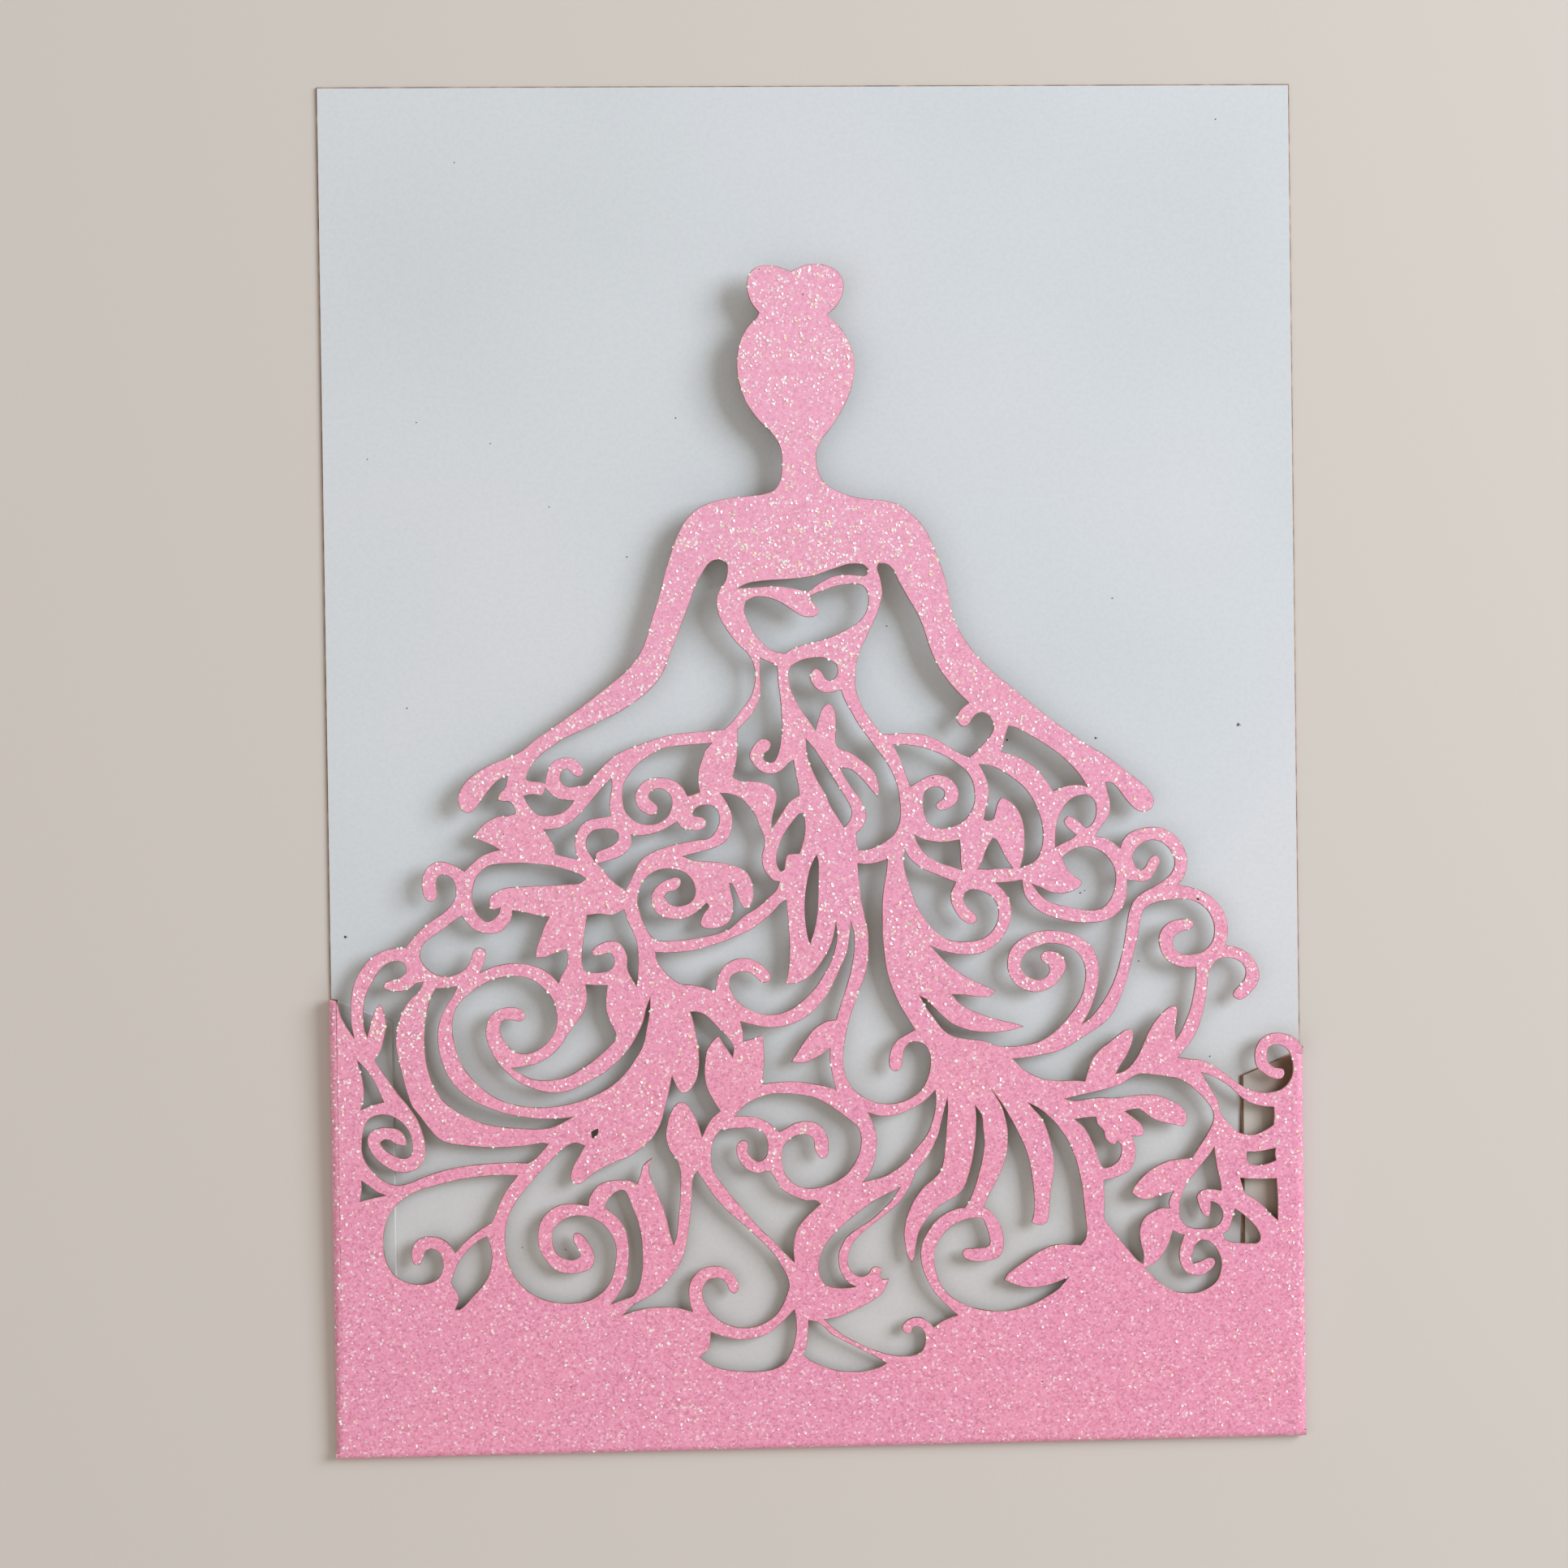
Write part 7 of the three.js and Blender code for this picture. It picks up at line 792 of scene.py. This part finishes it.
def smooth_run(run, end, steps):
    """One run with its curve filled in, up to but without the point that it ends on."""
    points = [*zip(run[::2], run[1::2]), end]
    ahead = tuple(2 * p - q for p, q in zip(points[0], points[1]))
    beyond = tuple(2 * p - q for p, q in zip(points[-1], points[-2]))
    padded = [ahead, *points, beyond]
    return [curve_point(*padded[i:i + 4], k / steps) for i in range(len(points) - 1) for k in range(steps)]


def smooth_line(runs, end, steps):
    """All runs of a line, one after the other, up to but without its end."""
    ends = [(run[0], run[1]) for run in runs[1:]] + [end]
    return [point for run, stop in zip(runs, ends) for point in smooth_run(run, stop, steps)]


def cut_out(runs, steps):
    """The closed outline of a cut-out."""
    return smooth_line(runs, (runs[0][0], runs[0][1]), steps)


def front_outline(sizes):
    """The front panel's outer edge, and the places where it meets the bends."""
    edge = sizes.width / MM / 2 - sizes.side_bend / MM + RIM
    bottom = sizes.bottom_bend / MM - RIM
    end = tuple(PANEL_TOP[-1][-2:])
    top = smooth_line(PANEL_TOP, end, sizes.curve_steps)
    right = [(end[0], RIGHT_BEND_TOP[0]), (edge, RIGHT_BEND_TOP[1]), (edge, bottom)]
    return [(-edge, bottom), *top, end, *right]


def turned(loop, anticlockwise):
    """The loop, drawn round the way that is asked for."""
    area = sum(x0 * y1 - x1 * y0 for (x0, y0), (x1, y1) in zip(loop, loop[1:] + loop[:1]))
    return loop if (area > 0) == anticlockwise else loop[::-1]


def add_plate(mesh, outline, holes, low, thick, slope, upper, lower, rim=RIM, cut=CUT):
    """Adds a flat piece of the sheet, in millimetres, with a material for each face and for its cut edges."""
    curve = bpy.data.curves.new("plate", "CURVE")
    curve.dimensions = "2D"
    curve.fill_mode = "BOTH"
    # The scorched rim is a fine chamfer, cut inwards from the outline on both faces.
    curve.bevel_depth = rim
    curve.bevel_resolution = 0
    curve.offset = -rim
    curve.extrude = thick / 2 - rim
    for loop in (turned(outline, True), *(turned(hole, False) for hole in holes)):
        spline = curve.splines.new("POLY")
        spline.points.add(len(loop) - 1)
        spline.points.foreach_set("co", [value for x, y in loop for value in (x, y, 0, 1)])
        spline.use_cyclic_u = True
    obj = bpy.data.objects.new("plate", curve)
    bpy.context.collection.objects.link(obj)
    flat = bpy.data.meshes.new_from_object(obj.evaluated_get(bpy.context.evaluated_depsgraph_get()))
    bpy.data.objects.remove(obj)
    bpy.data.curves.remove(curve)
    piece = bmesh.new()
    piece.from_mesh(flat)
    bpy.data.meshes.remove(flat)
    bmesh.ops.remove_doubles(piece, verts=piece.verts, dist=MERGE)
    bmesh.ops.dissolve_degenerate(piece, edges=piece.edges, dist=SLIVER)
    bmesh.ops.recalc_face_normals(piece, faces=piece.faces)
    for face in piece.faces:
        face.smooth = False
        if abs(face.normal.z) > FLAT_FACE:
            face.material_index = upper if face.normal.z > 0 else lower
        else:
            face.material_index = cut
    for vert in piece.verts:
        vert.co.z += thick / 2 + low + slope * vert.co.y
    step = bpy.data.meshes.new("plate")
    piece.to_mesh(step)
    piece.free()
    mesh.from_mesh(step)
    bpy.data.meshes.remove(step)


def add_bend(mesh, start, finish, steps, thick):
    """Adds a half-round bend of the sheet between two sections, functions from a turn and an inset."""
    turns = [-math.pi / 2 + math.pi * i / steps for i in range(steps + 1)]
    rings = []
    for place in (start, finish):
        outer = [mesh.verts.new(place(turn, 0)) for turn in turns]
        inner = [mesh.verts.new(place(turn, thick)) for turn in turns]
        rings.append((outer, inner))
    (outer_a, inner_a), (outer_b, inner_b) = rings
    faces = []
    for i in range(steps):
        # The inner faces of a bend take the brown underside: painted shade inside the fold.
        for first, second, index in ((outer_a, outer_b, OUTSIDE), (inner_a, inner_b, SHADED_UNDERSIDE)):
            face = mesh.faces.new((first[i], first[i + 1], second[i + 1], second[i]))
            face.material_index = index
            face.smooth = True
            faces.append(face)
        for outer, inner in rings:
            face = mesh.faces.new((outer[i], outer[i + 1], inner[i + 1], inner[i]))
            face.material_index = CUT
            faces.append(face)
    for i in (0, steps):
        face = mesh.faces.new((outer_a[i], inner_a[i], inner_b[i], outer_b[i]))
        face.material_index = CUT
        faces.append(face)
    bmesh.ops.recalc_face_normals(mesh, faces=faces)
    for face in faces:
        for edge in face.edges:
            edge.smooth = all(other.smooth for other in edge.link_faces)


def in_metres(mesh, name, height):
    """Turns a bmesh in the sheet's millimetres into a mesh in metres about the card's middle."""
    for vert in mesh.verts:
        vert.co = Vector((vert.co.x, vert.co.y - height / 2, vert.co.z)) * MM
    data = bpy.data.meshes.new(name)
    mesh.to_mesh(data)
    mesh.free()
    return data


class CARD_OT_fold_sheet(bpy.types.Operator):
    """Build the folded sheet: back panel, bends, glued flaps and the cut-out front panel"""
    bl_idname = "card.fold_sheet"
    bl_label = "Fold the card"

    def execute(self, context):
        sizes = context.scene.card_sizes
        colours = context.scene.card_colours
        half, height = sizes.width / MM / 2, sizes.height / MM
        thick, gap, slope = sizes.sheet / MM, sizes.gap / MM, sizes.slope
        side, bottom = sizes.side_bend / MM, sizes.bottom_bend / MM
        steps = sizes.bend_steps
        edge = half - side
        front_low = thick + gap
        mesh = bmesh.new()
        corner = [(-half, bottom - EDGE_RIM), (half, bottom - EDGE_RIM), (half, height), (-half, height)]
        add_plate(mesh, corner, [], 0, thick, 0, INSIDE, OUTSIDE, EDGE_RIM)
        cuts = [cut_out(runs, sizes.curve_steps) for table in CUT_OUTS for runs in table]
        # The front panel's underside is painted brown as shade for the pocket beneath it.
        add_plate(mesh, front_outline(sizes), cuts, front_low, thick, slope, OUTSIDE, SHADED_UNDERSIDE)
        free = half - sizes.flap_width / MM
        slant = sizes.flap_slant / MM
        for sign, (top_edge, top_panel) in ((-1, LEFT_BEND_TOP), (1, RIGHT_BEND_TOP)):
            flap = [(sign * (edge + EDGE_RIM), bottom), (sign * (edge + EDGE_RIM), top_panel),
                    (sign * free, top_panel - slant), (sign * free, bottom + slant)]
            # The left flap is clean and white, and the right one is scorched and carries painted shade.
            face, cut = (INSIDE, INSIDE) if sign < 0 else (SHADED_FLAP, CUT)
            add_plate(mesh, flap, [], thick - GLUE, thick, 0, face, OUTSIDE, EDGE_RIM, cut)

            def section(edge_y, panel_y, sign=sign):
                def place(turn, inset):
                    across = side - (side - inset) * math.cos(turn)
                    y = edge_y + (panel_y - edge_y) * across / side
                    low = thick - GLUE
                    reach = (front_low + thick + slope * y - low) / 2
                    return Vector((sign * (half - across), y, low + reach + (reach - inset) * math.sin(turn)))
                return place
            foot = bottom - BEND_LAP
            add_bend(mesh, section(foot, foot), section(top_edge, top_panel), steps, thick)
        reach = (front_low + thick + slope * bottom) / 2

        def along(x):
            return lambda turn, inset: Vector(
                (x, bottom - (bottom - inset) * math.cos(turn), reach + (reach - inset) * math.sin(turn)))
        add_bend(mesh, along(-half), along(half), steps, thick)
        data = in_metres(mesh, "card_sheet", height)
        for material in (
            glitter_film(colours.outside), white_board(colours.inside), scorched_edge(colours.burnt),
            # The underside's browns are painted shade, for the light bounced inside the pocket.
            shade_brown_board("underside_painted_brown_as_shade", "#7E5438", "#A67A5C"), flap_board(sizes),
        ):
            data.materials.append(material)
        sheet = bpy.data.objects.new("card_sheet", data)
        context.collection.objects.link(sheet)
        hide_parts(CARD_NODE)
        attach(sheet, "root")
        return {"FINISHED"}


def flake_tree(material):
    """Geometry Nodes: glitter flakes strewn on the pink upper faces, denser towards the top of the card."""
    tree = bpy.data.node_groups.new("strewn_glitter", "GeometryNodeTree")
    ports = tree.interface
    ports.new_socket("Geometry", in_out="INPUT", socket_type="NodeSocketGeometry")
    for name in ("Flake radius", "Flakes per square metre", "Crowding", "Tilt"):
        ports.new_socket(name, in_out="INPUT", socket_type="NodeSocketFloat")
    ports.new_socket("Seed", in_out="INPUT", socket_type="NodeSocketInt")
    ports.new_socket("Geometry", in_out="OUTPUT", socket_type="NodeSocketGeometry")
    given = tree.nodes.new("NodeGroupInput").outputs
    normal = add_node(tree, "GeometryNodeInputNormal")
    upward = add_node(tree, "FunctionNodeCompare", {"data_type": "FLOAT", "operation": "GREATER_THAN"},
                      {0: split(tree, normal.outputs[0])["Z"]})
    upward.inputs[1].default_value = UPWARD
    slot = add_node(tree, "GeometryNodeInputMaterialIndex")
    pink = add_node(tree, "FunctionNodeCompare", {"data_type": "INT", "operation": "EQUAL"},
                    {2: slot.outputs[0]})
    pink.inputs[3].default_value = OUTSIDE
    chosen = add_node(tree, "FunctionNodeBooleanMath", {"operation": "AND"},
                      {0: upward.outputs[0], 1: pink.outputs[0]})
    place = add_node(tree, "GeometryNodeInputPosition").outputs[0]
    crowd = map_range(tree, split(tree, place)["Y"], SPARSE_BELOW, DENSE_ABOVE, 1.0)
    tree.links.new(given["Crowding"], crowd.node.inputs["To Max"])
    away = add_node(tree, "ShaderNodeVectorMath", {"operation": "DISTANCE"}, {0: place})
    away.inputs[1].default_value = CLUSTER
    cluster = map_range(tree, away.outputs["Value"], CLUSTER_CORE, CLUSTER_END, CLUSTER_TIMES, 1.0)
    clump = map_range(tree, noise(tree, place, CLUMP, 1.0), *CLUMP_NOISE, *CLUMP_TIMES)
    crowded = multiply(tree, multiply(tree, crowd, cluster), clump)
    density = multiply(tree, crowded, given["Flakes per square metre"])
    points = add_node(tree, "GeometryNodeDistributePointsOnFaces", {"distribute_method": "RANDOM"}, {
        "Mesh": given["Geometry"], "Selection": chosen.outputs[0], "Density": density,
        "Seed": given["Seed"],
    })
    flake = add_node(tree, "GeometryNodeMeshCircle", {"fill_type": "NGON"}, {"Radius": given["Flake radius"]},
                     Vertices=FLAKE_CORNERS)
    low = multiply(tree, given["Tilt"], -1.0)
    least = add_node(tree, "ShaderNodeCombineXYZ", links={"X": low, "Y": low})
    most = add_node(tree, "ShaderNodeCombineXYZ", links={"X": given["Tilt"], "Y": given["Tilt"]}, Z=math.tau)
    lean = add_node(tree, "FunctionNodeRandomValue", {"data_type": "FLOAT_VECTOR"},
                    {"Min": least.outputs[0], "Max": most.outputs[0], "Seed": given["Seed"]})
    turned = add_node(tree, "FunctionNodeRotateRotation", {"rotation_space": "LOCAL"},
                      {"Rotation": points.outputs["Rotation"], "Rotate By": lean.outputs[0]})
    size = add_node(tree, "FunctionNodeRandomValue", {"data_type": "FLOAT"}, {"Seed": given["Seed"]})
    size.inputs[2].default_value, size.inputs[3].default_value = FLAKE_SIZES
    lifted = add_node(tree, "GeometryNodeSetPosition", links={"Geometry": points.outputs["Points"]},
                      Offset=(0, 0, FLAKE_LIFT))
    strewn = add_node(tree, "GeometryNodeInstanceOnPoints", links={
        "Points": lifted.outputs[0], "Instance": flake.outputs[0], "Rotation": turned.outputs[0],
        "Scale": size.outputs[1],
    })
    real = add_node(tree, "GeometryNodeRealizeInstances", links={"Geometry": strewn.outputs[0]})
    dressed = add_node(tree, "GeometryNodeSetMaterial", links={"Geometry": real.outputs[0]},
                       Material=material)
    out = tree.nodes.new("NodeGroupOutput")
    tree.links.new(dressed.outputs[0], out.inputs[0])
    return tree


class CARD_OT_strew_glitter(bpy.types.Operator):
    """Strew loose glitter flakes on the pink faces that look up"""
    bl_idname = "card.strew_glitter"
    bl_label = "Strew the glitter"

    def execute(self, context):
        settings = context.scene.card_glitter
        source = bpy.data.objects["card_sheet"]
        carrier = bpy.data.objects.new("glitter_carrier", source.data.copy())
        context.collection.objects.link(carrier)
        tree = flake_tree(pearl_flake())
        modifier = carrier.modifiers.new("glitter", "NODES")
        modifier.node_group = tree
        values = {
            "Flake radius": settings.flake, "Flakes per square metre": settings.density,
            "Crowding": settings.crowded, "Tilt": settings.tilt, "Seed": settings.seed,
        }
        for socket in tree.interface.items_tree:
            if socket.name in values:
                modifier[socket.identifier] = values[socket.name]
        data = bpy.data.meshes.new_from_object(carrier.evaluated_get(context.evaluated_depsgraph_get()))
        data.name = "glitter_flakes"
        bpy.data.objects.remove(carrier)
        flakes = bpy.data.objects.new("glitter_flakes", data)
        context.collection.objects.link(flakes)
        if len(data.polygons) == 0:
            raise RuntimeError("no glitter was made")
        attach(flakes, "root")
        return {"FINISHED"}


def add_speck(mesh, x, y, z, width, turn):
    """A low uneven crumb, a little wider than it is high."""
    ring = []
    for i in range(SPECK_SIDES):
        angle = turn + math.tau * i / SPECK_SIDES
        reach = width / 2 * (0.75 + 0.3 * math.sin(3 * angle + 5 * x))
        ring.append(mesh.verts.new((x + reach * math.cos(angle), y + 0.8 * reach * math.sin(angle), z)))
    top = mesh.verts.new((x + 0.1 * width, y, z + SPECK_HEIGHT * width))
    mesh.faces.new(ring[::-1])
    for i in range(SPECK_SIDES):
        mesh.faces.new((ring[i], ring[(i + 1) % SPECK_SIDES], top))


class CARD_OT_drop_dust(bpy.types.Operator):
    """Lay the few specks of dust and lint on the card"""
    bl_idname = "card.drop_dust"
    bl_label = "Drop the dust"

    def execute(self, context):
        sizes = context.scene.card_sizes
        thick, height = sizes.sheet / MM, sizes.height / MM
        front_top = 2 * thick + sizes.gap / MM
        dust = [(x, y, thick, width) for x, y, width in DUST_ON_WHITE]
        dust += [(x, y, front_top + sizes.slope * y, width) for x, y, width in DUST_ON_PINK]
        lint = [(x, y, thick, width) for x, y, width in LINT_ON_WHITE]
        kinds = (
            ("dust_specks", dust_grain("soot_and_dust", "#2E2A28", "#5A534E"), dust),
            ("lint_specks", dust_grain("grey_lint", "#6F6C6A", "#9B9896"), lint),
        )
        for name, material, places in kinds:
            mesh = bmesh.new()
            for x, y, z, width in places:
                add_speck(mesh, x, y, z - SPECK_SUNK, width, x + y)
            data = in_metres(mesh, name, height)
            data.materials.append(material)
            specks = bpy.data.objects.new(name, data)
            context.collection.objects.link(specks)
            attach(specks, "root")
        return {"FINISHED"}


def add_lamp(context, name, place, size, watts, colour):
    """Adds a square lamp that looks at the card's middle."""
    lamp = bpy.data.lights.new(name, "AREA")
    lamp.size = size
    lamp.energy = watts
    lamp.color = linear(colour)[:3]
    obj = bpy.data.objects.new(name, lamp)
    obj.location = place
    obj.rotation_euler = (-Vector(place)).to_track_quat("-Z", "Y").to_euler()
    context.collection.objects.link(obj)


class CARD_OT_set_stage(bpy.types.Operator):
    """Lay the pale floor, and set the soft light and the camera straight above the card"""
    bl_idname = "card.set_stage"
    bl_label = "Set the stage"

    def execute(self, context):
        scene = context.scene
        floor_mesh = bpy.data.meshes.new("floor")
        corners = [(x * FLOOR_REACH, y * FLOOR_REACH, 0) for x, y in ((-1, -1), (1, -1), (1, 1), (-1, 1))]
        floor_mesh.from_pydata(corners, [], [(0, 1, 2, 3)])
        material, _, shader, _ = new_material("matt_pale_floor")
        shader.inputs["Base Color"].default_value = linear(scene.card_colours.floor)
        shader.inputs["Roughness"].default_value = 0.9
        floor_mesh.materials.append(material)
        floor = bpy.data.objects.new("floor", floor_mesh)
        context.collection.objects.link(floor)
        for lamp in LAMPS:
            add_lamp(context, *lamp)
        world = bpy.data.worlds.new("soft_room")
        world.use_nodes = True
        background = world.node_tree.nodes["Background"]
        background.inputs["Color"].default_value = linear("#FFF1E2")
        background.inputs["Strength"].default_value = ROOM_STRENGTH
        # The camera sees a pale surround, and the light on the card stays soft.
        pale = add_node(world.node_tree, "ShaderNodeBackground", Color=linear("#E4E0DB"), Strength=1.0)
        seen = add_node(world.node_tree, "ShaderNodeLightPath")
        both = add_node(world.node_tree, "ShaderNodeMixShader", links={
            0: seen.outputs["Is Camera Ray"], 1: background.outputs[0], 2: pale.outputs[0]})
        world.node_tree.links.new(both.outputs[0], world.node_tree.nodes["World Output"].inputs["Surface"])
        scene.world = world
        lens = bpy.data.cameras.new("overhead_camera")
        lens.lens = CAMERA_LENS
        lens.sensor_width = CAMERA_SENSOR
        lens.clip_start = CAMERA_NEAR
        camera = bpy.data.objects.new("overhead_camera", lens)
        camera.location = CAMERA_PLACE
        camera.rotation_mode = "XYZ"
        camera.rotation_euler = [math.radians(angle) for angle in CAMERA_TURN]
        context.collection.objects.link(camera)
        scene.camera = camera
        scene.view_settings.view_transform = "Standard"
        return {"FINISHED"}


class CARD_PT_panel(bpy.types.Panel):
    """Lists the card's operators, sizes and colours"""
    bl_idname = "CARD_PT_panel"
    bl_label = "Invitation card"
    bl_space_type = "VIEW_3D"
    bl_region_type = "UI"
    bl_category = "Card"

    def draw(self, context):
        for operator in OPERATORS:
            self.layout.operator(operator.bl_idname)
        for name in ("width", "height", "sheet", "gap", "slope", "flap_width"):
            self.layout.prop(context.scene.card_sizes, name)
        for name in ("flake", "density", "crowded", "seed"):
            self.layout.prop(context.scene.card_glitter, name)
        for name in ("outside", "inside", "burnt", "floor"):
            self.layout.prop(context.scene.card_colours, name)


GROUPS = {"card_sizes": CardSizes, "card_glitter": GlitterSettings, "card_colours": CardColours}
OPERATORS = (CARD_OT_fold_sheet, CARD_OT_strew_glitter, CARD_OT_drop_dust, CARD_OT_set_stage)


def register():
    for group in (*GROUPS.values(), *OPERATORS, CARD_PT_panel):
        bpy.utils.register_class(group)
    for name, group in GROUPS.items():
        setattr(bpy.types.Scene, name, bpy.props.PointerProperty(type=group))


def unregister():
    for name in GROUPS:
        delattr(bpy.types.Scene, name)
    for group in (CARD_PT_panel, *reversed(OPERATORS), *reversed(list(GROUPS.values()))):
        bpy.utils.unregister_class(group)


def main():
    register()
    bpy.ops.card.fold_sheet()
    bpy.ops.card.strew_glitter()
    bpy.ops.card.drop_dust()
    bpy.ops.card.set_stage()


if __name__ == "__main__":
    main()
